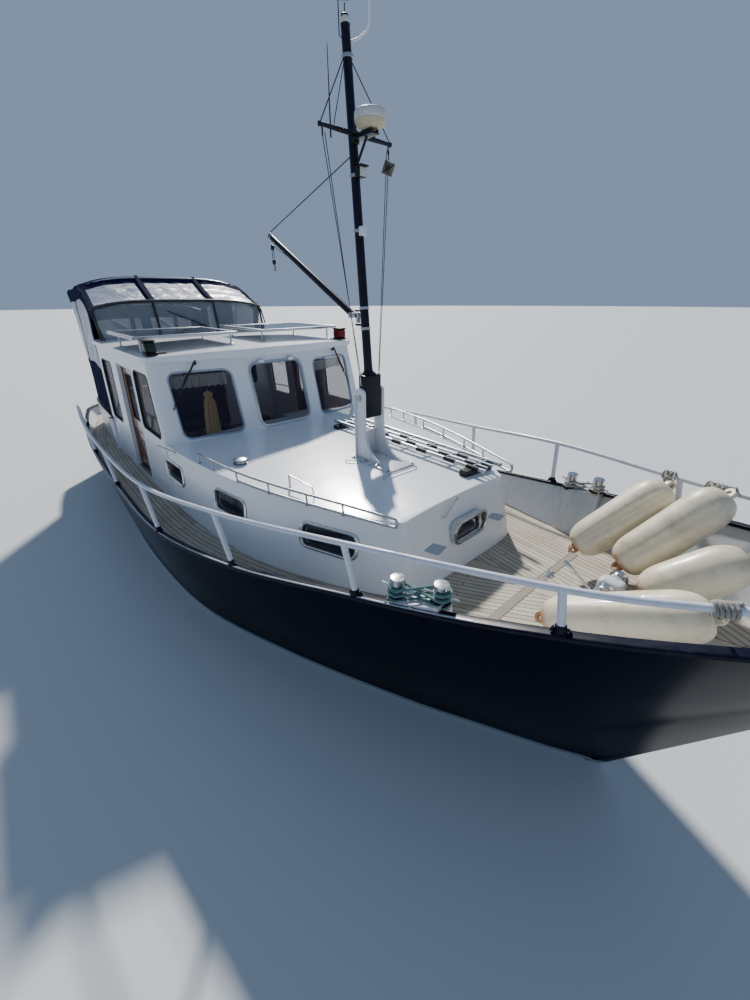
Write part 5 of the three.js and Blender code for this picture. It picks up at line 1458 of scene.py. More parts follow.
def rope_stuff(name, light, dark, scale=900):
    """Fibres of a rope: fine mottling of two tones and a rough, fuzzy surface."""
    material, shader = surface(name, light, 0.85, Sheen_Weight=0.3)
    place = node(material, "TexCoord").outputs["Object"]
    fibre = node(material, "TexNoise", [(place, "Vector")], in_Scale=scale * 0.3, in_Detail=3)
    share = node(material, "MapRange", [(fibre.outputs["Fac"], "Value")], in_1=0.4, in_2=0.62)
    tone = node(material, "Mix", [(share.outputs[0], "Factor")], data_type="RGBA", in_6=linear(light),
                in_7=linear(dark))
    join_link(material, tone.outputs["Result"], shader, "Base Color")
    rough = node(material, "Bump", [(fibre.outputs["Fac"], "Height")], in_Strength=0.5, in_Distance=0.002)
    join_link(material, rough.outputs[0], shader, "Normal")
    return material


def belayed(side, turns, low, rope_radius, start=0.0):
    """Figure-of-eight turns round a pair of bollards, climbing as they go."""
    a, b = (Vector((x, side * y, z)) for x, y, z in BOLLARDS)
    flat = Vector((b.x - a.x, b.y - a.y, 0)).normalized()
    across = Vector((-flat.y, flat.x, 0))
    reach, points, climb = POST_RADIUS + rope_radius * 1.02, [], 0.0
    for k in range(turns * 2):
        post, first, way = (a, 70, 1) if k % 2 == 0 else (b, 110, -1)
        for i in range(15):
            angle = math.radians(first + way * (360 - 2 * 70) * i / 14)
            level = low + start + climb + rope_radius * 1.9 * i / 14 * 0.4
            p = post + (flat * math.cos(angle) + across * math.sin(angle)) * reach
            points.append((p.x, p.y, post.z - 0.176 + level))
        climb += rope_radius * 1.95
    return points


plate_white = weathered("white_enamel_on_deck_plate", "C9CCD2", "8F8E8A", 0.42, dirt_share=0.6)
teal_rope = rope_stuff("teal_braided_polyester_rope", "5F8F8E", "2F5557")
pale_rope = rope_stuff("grey_white_polyester_rope", "B9B6AC", "85827A")
for side, name in ((1, "port"), (-1, "starboard")):
    heights = [sheer_z(3.523) + 0.015, sheer_z(3.779) + 0.069]
    rings = []
    for x, y0, y1, top in ((3.480, 1.098, 1.228, heights[0]), (3.820, 1.004, 1.128, heights[1])):
        rings.append([(x, side * y0, sheer_z(x) + CAP_TOP + 0.0006),
                      (x, side * y1, sheer_z(x) + CAP_TOP + 0.0006),
                      (x, side * y1, top), (x, side * y0, top)])
    plate = lofted("bollard_plate_" + name, rings)
    modified(plate, "BEVEL", width=0.004, segments=2)
    posts, caps, pins = [], [], []
    for x, y, z in BOLLARDS:
        base = heights[0] + (x - 3.480) / 0.340 * (heights[1] - heights[0])
        posts.append(turned_piece("post", [(0.060, 0), (0.060, 0.009), (0.0455, 0.013), (POST_RADIUS, 0.020),
                                           (POST_RADIUS, z - 0.106 - base)], (x, side * y, base - 0.002),
                                  (0, 0, 1), 32))
        caps.append(turned_piece("cap",
                                 [(0.0448, 0), (0.0448, 0.094), (0.0452, 0.096), (0.0452, 0.101),
                                  (0.0425, 0.1048),
                                         (0.024, 0.1068), (0.0, 0.1072)], (x, side * y, z - 0.1075),
                                 (0, 0, 1), 40))
        pins.append(pipe("pin",
                         [(x - 0.100, side * (y + 0.033), z - 0.078),
                          (x + 0.100, side * (y - 0.033), z - 0.078)],
                         0.0068, 12))
    finished(plate, "hull", "capping_paint", plate_white, smooth=30)
    walls = []
    for x, edge in ((3.474, 1.100), (3.826, 1.002)):
        foot, head = deck_z(x) + 0.010, sheer_z(x) + CAP_TOP
        walls.append([(x, side * (inner_y(x) - 0.022), foot), (x, side * (inner_y(x) - 0.002), foot),
                      (x, side * (gunwale_y(x) - PLATE - 0.004), head - 0.03),
                      (x, side * (edge + 0.006), head)])
    box = lofted("bollard_box_" + name, walls)
    modified(box, "BEVEL", width=0.005, segments=2)
    finished(box, "hull", "bulwark_paint", inner_grey, smooth=30)
    post = joined("bollard_posts_" + name, *posts)
    finished(post, "hull", "capping_paint", cap_navy)
    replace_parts(post, "bollards_" + name)
    finished(joined("bollard_caps_" + name, *caps), "hull", "stainless", stainless)
    finished(joined("bollard_pins_" + name, *pins), "hull", "stainless", stainless)
turns = laid_rope("belayed_teal_rope", through(belayed(-1, 3, 0.026, 0.0100), 3), 0.0100, 0.062)
finished(turns, "hull", "canvas", teal_rope, smooth=60)
turns = laid_rope("second_mooring_rope", through(belayed(-1, 1, 0.006, 0.0100), 3), 0.0100, 0.066)
finished(turns, "hull", "canvas", pale_rope, smooth=60)
turns = laid_rope("belayed_pale_rope", through(belayed(1, 3, 0.018, 0.0090), 3), 0.0090, 0.066)
finished(turns, "hull", "canvas", pale_rope, smooth=60)

# Fenders: four long inflated sausages of cream vinyl lying in the bows, slack enough to crease.
# Their ends are moulded solid round an eye, stained with rust, and grey braid lashes them to the rails.
FENDERS = [  # the lower end, the upper end, the seed of its creases
    ((3.960, 0.330, 1.500), (4.310, 0.740, 1.990), 3), ((4.290, 0.230, 1.560), (4.640, 0.600, 2.090), 8),
    ((4.500, -0.010, 1.572), (4.860, 0.270, 1.882), 5), ((4.170, -0.555, 1.500), (4.840, -0.365, 1.850), 11),
]
FENDER_RADIUS = 0.139
vinyl, shader = surface("cream_fender_vinyl", "E3DDCC", 0.42, Coat_Weight=0.12, Subsurface_Weight=0.06)
layout = node(vinyl, "UVMap", uv_map="along").outputs[0]
place = node(vinyl, "TexCoord").outputs["Object"]
spot = node(vinyl, "SeparateXYZ", [(layout, 0)])
clouds = node(vinyl, "TexNoise", [(place, "Vector")], in_Scale=6, in_Detail=6, in_Roughness=0.6)
grime = node(vinyl, "MapRange", [(clouds.outputs["Fac"], "Value")], in_1=0.47, in_2=0.72, in_3=0.0,
             in_4=0.60)
dirty = node(vinyl, "Mix", [(grime.outputs[0], "Factor")], data_type="RGBA", in_6=linear("DFD5BB"),
             in_7=linear("9E9070"))
scuffs_at = node(vinyl, "Mapping", [(place, "Vector")], in_Scale=(20, 20, 46))
scuffs = node(vinyl, "TexNoise", [(scuffs_at.outputs[0], "Vector")], in_Scale=1, in_Detail=8,
              in_Roughness=0.75)
scuffed = node(vinyl, "MapRange", [(scuffs.outputs["Fac"], "Value")], in_1=0.58, in_2=0.68, in_3=0.0,
               in_4=0.45)
marked = node(vinyl, "Mix", [(scuffed.outputs[0], "Factor"), (dirty.outputs["Result"], 6)], data_type="RGBA",
              in_7=linear("6F6A5A"))
end_near = node(vinyl, "MapRange", [(spot.outputs["Y"], "Value")], in_1=0.075, in_2=0.0, in_3=0.0, in_4=1.0)
end_noise = node(vinyl, "Math", [(end_near.outputs[0], 0), (clouds.outputs["Fac"], 1)], operation="MULTIPLY")
stain = node(vinyl, "MapRange", [(end_noise.outputs[0], "Value")], in_1=0.16, in_2=0.50, in_3=0.0, in_4=0.85)
stained = node(vinyl, "Mix", [(stain.outputs[0], "Factor"), (marked.outputs["Result"], 6)], data_type="RGBA",
               in_7=linear("A4642E"))
join_link(vinyl, stained.outputs["Result"], shader, "Base Color")
skin_bump = node(vinyl, "TexNoise", [(place, "Vector")], in_Scale=90, in_Detail=3)
skinned = node(vinyl, "Bump", [(skin_bump.outputs["Fac"], "Height")], in_Strength=0.12, in_Distance=0.002)
join_link(vinyl, skinned.outputs[0], shader, "Normal")
dark_shackle = weathered("rusty_galvanised_shackle", "6B5446", "8A4A22", 0.6, Metallic=0.6)
rope_grey = rope_stuff("grey_braided_lashing", "A7A49B", "6C6A64")


def fender(name, low, high, seed):
    """One inflated fender from its lower to its upper end, with long soft creases."""
    low, high = Vector(low), Vector(high)
    axis, length = (high - low).normalized(), (high - low).length
    side = axis.orthogonal().normalized()
    other = axis.cross(side)
    chance = random.Random(seed)
    creases = [(chance.uniform(0, 2 * math.pi), chance.uniform(0.10, 0.24), chance.uniform(0.006, 0.014),
                chance.uniform(0.30, 0.70)) for _ in range(7)]
    rings, steps, around = [], 56, 64
    for i in range(steps + 1):
        s = i / steps
        along = length * (0.5 - 0.5 * math.cos(math.pi * s)) * 0.5 + length * s * 0.5
        from_end = min(along, length - along)
        cap = min(1.0, (from_end + 0.004) / 0.17)
        round_off = 0.30 + 0.70 * math.sqrt(max(0, 1 - (1 - cap) ** 2.3))
        ring = []
        for k in range(around):
            angle = 2 * math.pi * k / around
            radius = FENDER_RADIUS * round_off * (1 - 0.012 + 0.012 * math.sin(2 * angle + seed + 3 * s))
            for at, width, depth, middle in creases:
                off = math.atan2(math.sin(angle - at - 0.5 * (s - 0.5)),
                                 math.cos(angle - at - 0.5 * (s - 0.5)))
                here = math.exp(-((s - middle) / 0.42) ** 4) * min(1, from_end / 0.09)
                radius -= depth * math.exp(-(off / width) ** 2) * here
            ring.append((low + axis * along
                         + (side * math.cos(angle) + other * math.sin(angle)) * radius).to_tuple())
        rings.append(ring)
    body = lofted(name, rings)
    ends = []
    for end, way in ((low, -1), (high, 1)):
        flat = side if seed % 2 else other
        thick = axis.cross(flat)
        outer = []
        for k in range(25):
            a = math.pi * (k / 24 - 0.5)
            outer.append(end + axis * way * (0.020 + 0.034 * math.cos(a)) + flat * 0.034 * math.sin(a))
        outer += [end - axis * way * 0.03 + flat * 0.036, end - axis * way * 0.03 - flat * 0.036]
        lug = lofted("lug", [[(p + thick * o * (1 - 0.12 * (abs(o) > 0.012))).to_tuple() for p in outer]
                             for o in (-0.017, -0.012, 0.012, 0.017)])
        hole = pipe("hole", [(end + axis * way * 0.024 + thick * 0.05).to_tuple(),
                             (end + axis * way * 0.024 - thick * 0.05).to_tuple()], 0.0125, 18)
        cut_away(lug, hole)
        ends.append(lug)
    whole = joined(name, body, *ends)
    layout = whole.data.uv_layers.new(name="along")
    for loop in whole.data.loops:
        p = Vector(whole.data.vertices[loop.vertex_index].co) - low
        layout.data[loop.index].uv = (math.atan2(p.dot(other), p.dot(side)) / (2 * math.pi) + 0.5,
                                      p.dot(axis) / length)
    return finished(whole, "hull", "fender_vinyl", vinyl, smooth=50)


for i, (low, high, seed) in enumerate(FENDERS):
    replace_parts(fender(f"inflated_fender_{i + 1}", low, high, seed), f"fender_{i + 1}")
    axis = (Vector(high) - Vector(low)).normalized()
    end = Vector(low) - axis * 0.026
    bow_shape = [(end + Vector((0.020 * math.cos(a), 0.010 * math.cos(a),
                                -0.018 + 0.026 * math.sin(a)))).to_tuple()
                 for a in [math.radians(d) for d in range(-40, 221, 20)]]
    if i in (0, 2):
        finished(pipe(f"fender_shackle_{i + 1}", bow_shape, 0.005, 10), "hull", "mast_fittings",
                 dark_shackle)


def lashing(name, side, rail_x, eye, turns=4, radius=0.0085):
    """Turns of braid round a guard rail, and the two parts that go down to a fender's eye."""
    centre, ahead = rail_at(rail_x), rail_at(rail_x - 0.05)
    centre.y, ahead.y = side * centre.y, side * ahead.y
    along = (ahead - centre).normalized()
    up = (Vector((0, 0, 1)) - along * along.z).normalized()
    out = along.cross(up)
    reach = RAIL_RADIUS + radius
    points = []
    for k in range(turns * 14 + 1):
        a = 2 * math.pi * k / 14
        wide = reach + 0.004 * (0.5 + 0.5 * math.sin(5.1 * a))
        points.append((centre + along * radius * 2.05 * k / 14
                       + (up * math.cos(a) + out * math.sin(a)) * wide).to_tuple())
    first, last, eye = Vector(points[0]), Vector(points[-1]), Vector(eye)
    loop = [eye + along * 0.012 + up * 0.010, eye - up * 0.016, eye - along * 0.012 + up * 0.010]
    sag = Vector((0, 0, -0.03))
    path = [p.to_tuple()
            for p in (loop[2], loop[2].lerp(first, 0.5) + sag * 0.5, first.lerp(loop[2], 0.12) + up * 0.010)]
    path += points
    path += [p.to_tuple()
             for p in (last.lerp(loop[0], 0.14) + up * 0.010, last.lerp(loop[0], 0.55) + sag, loop[0],
                       loop[1])]
    made = laid_rope(name, through(path, 3), radius, 0.055)
    knot = [(loop[0].lerp(last, 0.30)
             + Vector((0.020 * math.cos(a * 2.0), 0.018 * math.sin(a), 0.016 * math.cos(a * 3)))).to_tuple()
            for a in [2 * math.pi * k / 22 for k in range(22)]]
    tied = laid_rope("knot", through(knot + knot[:1], 2), radius * 0.95, 0.055)
    return finished(joined(name, made, tied), "hull", "canvas", rope_grey, smooth=60)


lashing("fender_lashing_1", 1, 4.300, Vector(FENDERS[0][1]) + Vector((0.012, 0.014, 0.020)))
lashing("fender_lashing_2", 1, 4.660, Vector(FENDERS[1][1]) + Vector((0.012, 0.012, 0.018)), turns=5)
lashing("fender_lashing_3", 1, 4.560, Vector(FENDERS[1][1]) + Vector((-0.010, 0.010, 0.010)), turns=3)
lashing("fender_lashing_4", -1, 4.900, Vector(FENDERS[3][1]) + Vector((0.020, 0.004, 0.012)), turns=5)

# Windlass: a horizontal anchor windlass on the foredeck, a white-enamelled steel case with a polished
# chain gypsy to starboard, a polished warping drum to port and its brake lever beside it.
case_low = deck_z(4.445) + 0.0165
base = box_at("base", (4.217, -0.108, case_low), (4.443, 0.108, case_low + 0.012), 0.004)
skirt = box_at("skirt", (4.235, -0.085, case_low + 0.010), (4.425, 0.085, 1.455), 0.018, 4)
housing = box_at("housing", (4.252, -0.058, 1.440), (4.408, 0.058, 1.578), 0.036, 6)
studs = [turned_piece("stud", [(0.009, 0), (0.009, 0.006), (0.004, 0.009)], (x, y, case_low + 0.011),
                      (0, 0, 1), 12)
         for x in (4.230, 4.430) for y in (-0.095, 0.095)]
windlass_case = joined("windlass_case", base, skirt, housing, *studs)
finished(windlass_case, "hull", "rail_paint", plate_white, smooth=40)
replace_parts(windlass_case, "windlass")
gypsy = turned_piece("gypsy",
                     [(0.030, 0), (0.062, 0.004), (0.064, 0.016), (0.046, 0.028), (0.044, 0.036),
                      (0.046, 0.044),
                               (0.064, 0.056), (0.062, 0.068), (0.026, 0.072), (0.022, 0.094),
                      (0.014, 0.100)],
                     (4.330, -0.064, 1.520), (0, -1, 0), 36)
drum = turned_piece("drum",
                    [(0.040, 0), (0.055, 0.003), (0.056, 0.012), (0.046, 0.028), (0.044, 0.046),
                     (0.052, 0.064),
                             (0.060, 0.070), (0.058, 0.077), (0.020, 0.080)], (4.330, 0.060, 1.520),
                    (0, 1, 0), 36)
lever = pipe("lever", [(4.330, -0.168, 1.520), (4.290, -0.182, 1.545), (4.150, -0.190, 1.640)],
             [0.010, 0.009, 0.008], 12)
grip = turned_piece("grip", [(0.009, 0), (0.013, 0.01), (0.013, 0.075), (0.008, 0.085)],
                    (4.150, -0.190, 1.640),
                    (-0.82, -0.05, 0.56), 14)
finished(joined("windlass_drums", gypsy, drum, lever, grip), "hull", "stainless", stainless)

# Handrails: bright stainless tube along each edge of the coachroof, with a second rod along the edge
# below it. The two are one piece, bent round in a narrow loop at the forward end.
HANDRAIL = [(3.080, 0.770, 1.800), (2.560, 0.955, 1.812), (2.100, 1.110, 1.816), (1.560, 1.245, 1.820),
            (0.900, 1.330, 1.824)]
brushed, shader = surface("brushed_stainless_tube", "A9ADB4", 0.3, Metallic=1.0)
place = node(brushed, "TexCoord").outputs["Object"]
wear = node(brushed, "TexNoise", [(place, "Vector")], in_Scale=18, in_Detail=5)
worn = node(brushed, "MapRange", [(wear.outputs["Fac"], "Value")], in_3=0.2, in_4=0.5)
join_link(brushed, worn.outputs[0], shader, "Roughness")
upper = spread(through(HANDRAIL, 8), 34)
for side, name in ((1, "port"), (-1, "starboard")):
    lower = [(x, y - 0.004, roof_z(x, y - 0.010) + 0.014) for x, y, z in upper]
    (x0, y0, z0), (xl, yl, zl) = upper[0], lower[0]
    bend = [(x0 + 0.030, y0 - 0.014, z0 - 0.006), (x0 + 0.044, y0 - 0.020, (z0 + zl) / 2),
            (xl + 0.030, yl - 0.012, zl + 0.006)]
    line = list(reversed(upper)) + bend + lower[:24]
    tubes = [pipe("tube", [(x, side * y, z) for x, y, z in line], 0.0112, 12)]
    for k in (6, 11, 17, 23, 29, 33):
        x, y, z = upper[k]
        tubes.append(pipe("foot", [(x, side * y, z), (x, side * (y - 0.006), roof_z(x, y - 0.012) - 0.002)],
                          0.0085, 10))
        tubes.append(turned_piece("foot_pad", [(0.020, 0), (0.020, 0.004), (0.010, 0.008)],
                                  (x, side * (y - 0.008), roof_z(x, y - 0.012) - 0.002), (0, 0, 1), 16))
    rail = joined("handrail_tube_" + name, *tubes)
    finished(rail, "hull", "stainless", brushed)
    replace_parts(rail, "handrail_" + name)
    grab = pipe("grab_handle_" + name,
                [(0.020, side * 1.452, 1.700), (0.022, side * 1.466, 1.716), (0.250, side * 1.452, 1.738),
                         (0.470, side * 1.428, 1.752), (0.474, side * 1.412, 1.734)], 0.008, 10)
    finished(grab, "hull", "stainless", brushed)

# Gangway: an aluminium ladder of four tubes with black rubber sleeves. It lies fore and aft on ribbed
# rubber pads on the port side of the coachroof.
sleeve_black = weathered("black_rubber_sleeve", "16171B", "303238", 0.6)
rails, sleeves = [], []


def on_gangway(x, share):
    """A point of the gangway, whose share runs from its inboard rail to its outboard one."""
    inboard, outboard = 0.368 + 0.017 * (x - 0.9), 0.664 - 0.004 * (x - 0.9)
    return (x, inboard + (outboard - inboard) * share, 1.830 - 0.009 * (x - 0.9))


for share in (0, 1):
    rails.append(pipe("gangway_rail", [on_gangway(0.900, share), on_gangway(3.060, share)], 0.0195, 16))
for share in (0.34, 0.66):
    rails.append(pipe("gangway_stringer", [on_gangway(0.960, share), on_gangway(3.020, share)], 0.0125, 12))
for i in range(7):
    x = 1.050 + 0.310 * i
    rails.append(pipe("gangway_rung", [on_gangway(x, -0.03), on_gangway(x, 1)], 0.0125, 12))
for share, starts, reach in ((0.34, (1.22, 1.62, 2.02, 2.46, 2.78), 0.0165),
                             (0.66, (1.40, 1.84, 2.24, 2.62), 0.0165),
                             (0, (1.9, 2.25, 2.60, 2.86), 0.0225)):
    for x in starts:
        sleeves.append(pipe("sleeve", [on_gangway(x, share), on_gangway(x + 0.13, share)], reach, 14))
gangway = joined("gangway_tubes", *rails)
finished(gangway, "hull", "alloy", alloy)
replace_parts(gangway, "gangway")
for x in (1.000, 2.900):
    low = min(roof_z(x - 0.04, 0.69), roof_z(x + 0.04, 0.69), roof_z(x, 0.31))
    pad = box_at("pad", (x - 0.042, 0.292, low - 0.004), (x + 0.042, 0.700, 1.800), 0.006)
    sleeves.append(pad)
    for k in range(13):
        sleeves.append(box_at("pad_rib", (x - 0.041, 0.300 + 0.031 * k, 1.799),
                              (x + 0.041, 0.314 + 0.031 * k, 1.806), 0.002))
finished(joined("gangway_rubber", *sleeves), "hull", "fender_vinyl", sleeve_black)

# Small fittings on the coachroof: a stainless mushroom vent, a bent lifting rod to starboard and two
# short rods beside the mast step, all screwed through the steel on small pads.
vent_z = roof_z(1.213, 1.032)
vent = turned_piece("mushroom_vent",
                    [(0.070, 0), (0.070, 0.006), (0.050, 0.009), (0.048, 0.030), (0.066, 0.032),
                     (0.071, 0.037),
                                      (0.066, 0.046), (0.045, 0.054), (0.020, 0.058), (0.0, 0.059)],
                    (1.213, -1.032, vent_z - 0.002), (0, 0, 1), 40)
finished(vent, "hull", "stainless", brushed)
rod = [pipe("rod", [(2.000, -0.950, roof_z(2.0, 0.95) - 0.002), (2.000, -0.950, 1.832),
                    (2.006, -0.949, 1.838),
                    (2.290, -0.910, 1.812), (2.310, -0.906, roof_z(2.31, 0.906) - 0.002)],
            [0.009, 0.009, 0.007, 0.006, 0.006], 10)]
for points in (((1.935, -0.281), (2.050, -0.185)), ((2.482, -0.284), (2.499, 0.112))):
    (xa, ya), (xb, yb) = points
    za, zb = roof_z(xa, abs(ya)) + 0.024, roof_z(xb, abs(yb)) + 0.024
    rod.append(pipe("rod",
                    [(xa, ya, za - 0.026), (xa, ya, za - 0.004),
                     (xa + 0.1 * (xb - xa), ya + 0.1 * (yb - ya), za),
                            (xb - 0.1 * (xb - xa), yb - 0.1 * (yb - ya), zb), (xb, yb, zb - 0.004),
                     (xb, yb, zb - 0.026)], 0.0062, 10))
finished(joined("coachroof_rods", *rod), "hull", "stainless", brushed)

# Deck fittings forward: a teak covering board across the planking with a stainless padeye, and a deck
# filler cap. The padeye holds the lashing of whatever is carried on the foredeck.
board_teak, shader = surface("scrubbed_teak_board", "9C9484", 0.7)
place = node(board_teak, "TexCoord").outputs["Object"]
grain_at = node(board_teak, "Mapping", [(place, "Vector")], in_Scale=(160, 6, 40))
grain = node(board_teak, "TexNoise", [(grain_at.outputs[0], "Vector")], in_Scale=1, in_Detail=6,
             in_Roughness=0.7)
tone = node(board_teak, "Mix", [(grain.outputs["Fac"], "Factor")], data_type="RGBA", in_6=linear("6A6257"),
            in_7=linear("8D8577"))
join_link(board_teak, tone.outputs["Result"], shader, "Base Color")
lifted = node(board_teak, "Bump", [(grain.outputs["Fac"], "Height")], in_Strength=0.4, in_Distance=0.001)
join_link(board_teak, lifted.outputs[0], shader, "Normal")
board_line = ((3.812, -0.62), (3.872, -0.62), (3.872, 0.0), (3.900, 0.62), (3.840, 0.62), (3.812, 0.0))
board = lofted("covering_board", [[(x, y, deck_z(x) + z) for x, y in board_line] for z in (0.0125, 0.0155)])
finished(board, "hull", "teak", board_teak, smooth=0)
seam_line = ((3.806, -0.63), (3.878, -0.63), (3.878, 0.0), (3.906, 0.63), (3.834, 0.63), (3.806, 0.0))
seam_rings = [[(x, y, deck_z(x) + z) for x, y in seam_line] for z in (0.0120, 0.0144)]
seam = lofted("covering_board_seams", seam_rings)
finished(seam, "hull", "teak", rubber, smooth=0)
eye_low = deck_z(3.866) + 0.0150
eye = [box_at("eye_plate", (3.838, 0.165, eye_low), (3.892, 0.255, eye_low + 0.004), 0.0015),
       pipe("eye_bow", [(3.866, 0.182, eye_low)]
            + [(3.866, 0.210 + 0.028 * math.cos(a), eye_low + 0.008 + 0.034 * math.sin(a))
                                                  for a in [math.radians(180 - 20 * k) for k in range(10)]]
            + [(3.866, 0.238, eye_low)], 0.0055, 10)]
cap_low = deck_z(3.62) + 0.0138
eye.append(turned_piece("filler_cap",
                        [(0.052, 0), (0.052, 0.003), (0.047, 0.005), (0.040, 0.0045), (0.0, 0.005)],
                        (3.620, -0.780, cap_low), (0, 0, 1), 32))
finished(joined("padeye", *eye), "hull", "stainless", stainless)

# Tabernacle: two thick white steel cheeks with rounded edges, swept forward into a foot plate that is
# bolted to the coachroof. The mast hinges between them on a polished pin.
house_gloss = weathered("white_gloss_enamel", "D7DADF", "9DA2A8", 0.26, dirt_share=0.35, Coat_Weight=0.35)
sweep = through([(2.400, 1.768), (2.330, 1.778), (2.220, 1.808), (2.130, 1.862), (2.070, 1.950),
                 (2.046, 2.070),
                 (2.040, 2.240), (2.040, 2.400)], 6)
crown = [(1.980 + 0.060 * math.cos(a), 2.400 + 0.051 * math.sin(a))
         for a in [math.radians(10 * k) for k in range(1, 19)]]
cheek_line = [(1.920, 1.768)] + [(x, z) for x, z in sweep] + crown
metal = []
for side in (1, -1):
    y0, y1 = sorted((side * 0.104, side * 0.128))
    cheek = prism("cheek", cheek_line, 1, y0, y1)
    cut_away(cheek, pipe("bore", [(1.980, -0.2, 2.360), (1.980, 0.2, 2.360)], 0.0165, 24))
    modified(cheek, "BEVEL", width=0.0045, segments=3, limit_method="ANGLE", angle_limit=math.radians(60))
    metal.append(cheek)
    y0, y1 = sorted((side * 0.105, side * 0.150))
    metal.append(box_at("aft_flange", (1.9205, y0, 1.768), (1.9325, y1, 2.392), 0.004))
plate = box_at("foot_plate", (1.880, -0.170, 1.7625), (2.430, 0.170, 1.7745), 0.003)
web = box_at("cross_web", (1.9215, -0.106, 1.770), (1.9335, 0.106, 2.020), 0.003)
tabernacle = joined("tabernacle_cheeks", plate, web, *metal)
finished(tabernacle, "hull", "house_paint", house_gloss, smooth=30)
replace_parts(tabernacle, "tabernacle")
bolts = [turned_piece("bolt",
                      [(0.017, 0), (0.017, 0.003), (0.0115, 0.003), (0.0115, 0.011), (0.006, 0.012),
                       (0.006, 0.020), (0.0, 0.021)],
                      (x, y, 1.7742), (0, 0, 1), 6 * 3) for x in (1.905, 2.080, 2.240, 2.405)
         for y in (-0.152, 0.152)]
finished(joined("tabernacle_bolts", *bolts), "hull", "stainless", brushed, smooth=30)

# Mast: a round steel mast painted near-black navy, on a box-section heel that hinges in the tabernacle.
# Thin stainless bands carry its fittings, and a polished pin with washers goes through heel and cheeks.
PIN, MAST_TOP = Vector((1.980, 0, 2.360)), Vector((1.752, 0, 4.880))
mast_navy, shader = surface("near_black_navy_mast_enamel", "070B1E", 0.32, Specular_IOR_Level=0.25)
place = node(mast_navy, "TexCoord").outputs["Object"]
streaks_at = node(mast_navy, "Mapping", [(place, "Vector")], in_Scale=(60, 60, 3))
streaks = node(mast_navy, "TexNoise", [(streaks_at.outputs[0], "Vector")], in_Scale=1, in_Detail=4)
chalked = node(mast_navy, "MapRange", [(streaks.outputs["Fac"], "Value")], in_1=0.45, in_2=0.75, in_3=0.0,
               in_4=0.35)
toned = node(mast_navy, "Mix", [(chalked.outputs[0], "Factor")], data_type="RGBA", in_6=linear("060A1C"),
             in_7=linear("20263E"))
join_link(mast_navy, toned.outputs["Result"], shader, "Base Color")
peel = node(mast_navy, "TexNoise", [(place, "Vector")], in_Scale=150, in_Detail=2)
peeled = node(mast_navy, "Bump", [(peel.outputs["Fac"], "Height")], in_Strength=0.15, in_Distance=0.0008)
join_link(mast_navy, peeled.outputs[0], shader, "Normal")


def mast_at(z, y=0.0, ahead=0.0):
    """Point on the mast's centreline at a height, moved to the side and forward."""
    x = PIN.x + (MAST_TOP.x - PIN.x) * (z - PIN.z) / (MAST_TOP.z - PIN.z)
    return (x + ahead, y, z)


heel = box_at("heel", (1.932, -0.098, 2.170), (2.028, 0.098, 2.560), 0.010, 4)
neck = turned_piece("neck", [(0.072, 0), (0.070, 0.010), (0.0460, 0.032), (0.0425, 0.036), (0.0415, 0.060)],
                    mast_at(2.555),
                    MAST_TOP - PIN, 32)
tube = pipe("tube", [mast_at(z) for z in (2.480, 3.0, 3.6, 4.2, 4.872)],
            [0.040, 0.0385, 0.0365, 0.0345, 0.032], 32)
lugs = [box_at("gooseneck_lug", (1.806, -0.022, z), (1.905, 0.022, z + 0.016), 0.004)
        for z in (2.965, 3.079)]
mast = joined("mast_tube", heel, neck, tube, *lugs)
finished(mast, "mast", "mast_paint", mast_navy)
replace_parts(mast, "mast")
bands = [turned_piece("band", [(0.0405, 0), (0.0425, 0.002), (0.0425, 0.020), (0.0405, 0.022)], mast_at(z),
                      MAST_TOP - PIN, 32)
         for z in (2.935, 3.098, 3.660, 4.020, 4.700)]
pin = [pipe("pin", [(1.980, -0.136, 2.360), (1.980, 0.136, 2.360)], 0.0138, 24)]
for side in (1, -1):
    pin.append(turned_piece("washer",
                            [(0.030, 0), (0.030, 0.004), (0.020, 0.005), (0.019, 0.0105), (0.0, 0.0112)],
                            (1.980, side * 0.1285, 2.360), (0, side, 0), 6 * 4))
finished(joined("mast_bands_and_pin", *bands, *pin), "mast", "mast_fittings", brushed)
lens_white, shader = surface("ribbed_clear_lamp_lens", "D9DDE0", 0.1, Alpha=0.75, Specular_IOR_Level=0.7)
lamp_parts = [turned_piece("lamp_base", [(0.032, 0), (0.034, 0.003), (0.034, 0.010), (0.022, 0.016)],
                           mast_at(4.870), (0, 0, 1), 32),
              turned_piece("lamp_cap",
                           [(0.022, 0), (0.026, 0.003), (0.026, 0.010), (0.012, 0.018), (0.0, 0.019)],
                           mast_at(4.916), (0, 0, 1), 32),
              pipe("aerial_post", [mast_at(4.800, -0.034), (1.748, -0.052, 4.812), (1.746, -0.052, 4.984)],
                   0.0035, 8),
              pipe("aerial_bar", [(1.700, -0.110, 4.984), (1.792, 0.006, 4.984)], 0.0035, 8),
              pipe("aerial_stub", [mast_at(4.930), (1.750, 0.0, 4.984)], 0.0035, 8)]
finished(joined("mast_lamp_case", *lamp_parts), "mast", "light_box", lamp_black)
lens = turned_piece("mast_lamp_lens", [(0.022, 0), (0.0245, 0.003), (0.0245, 0.030), (0.022, 0.034)],
                    mast_at(4.884), (0, 0, 1), 32)
finished(lens, "mast", "light_box", lens_white)

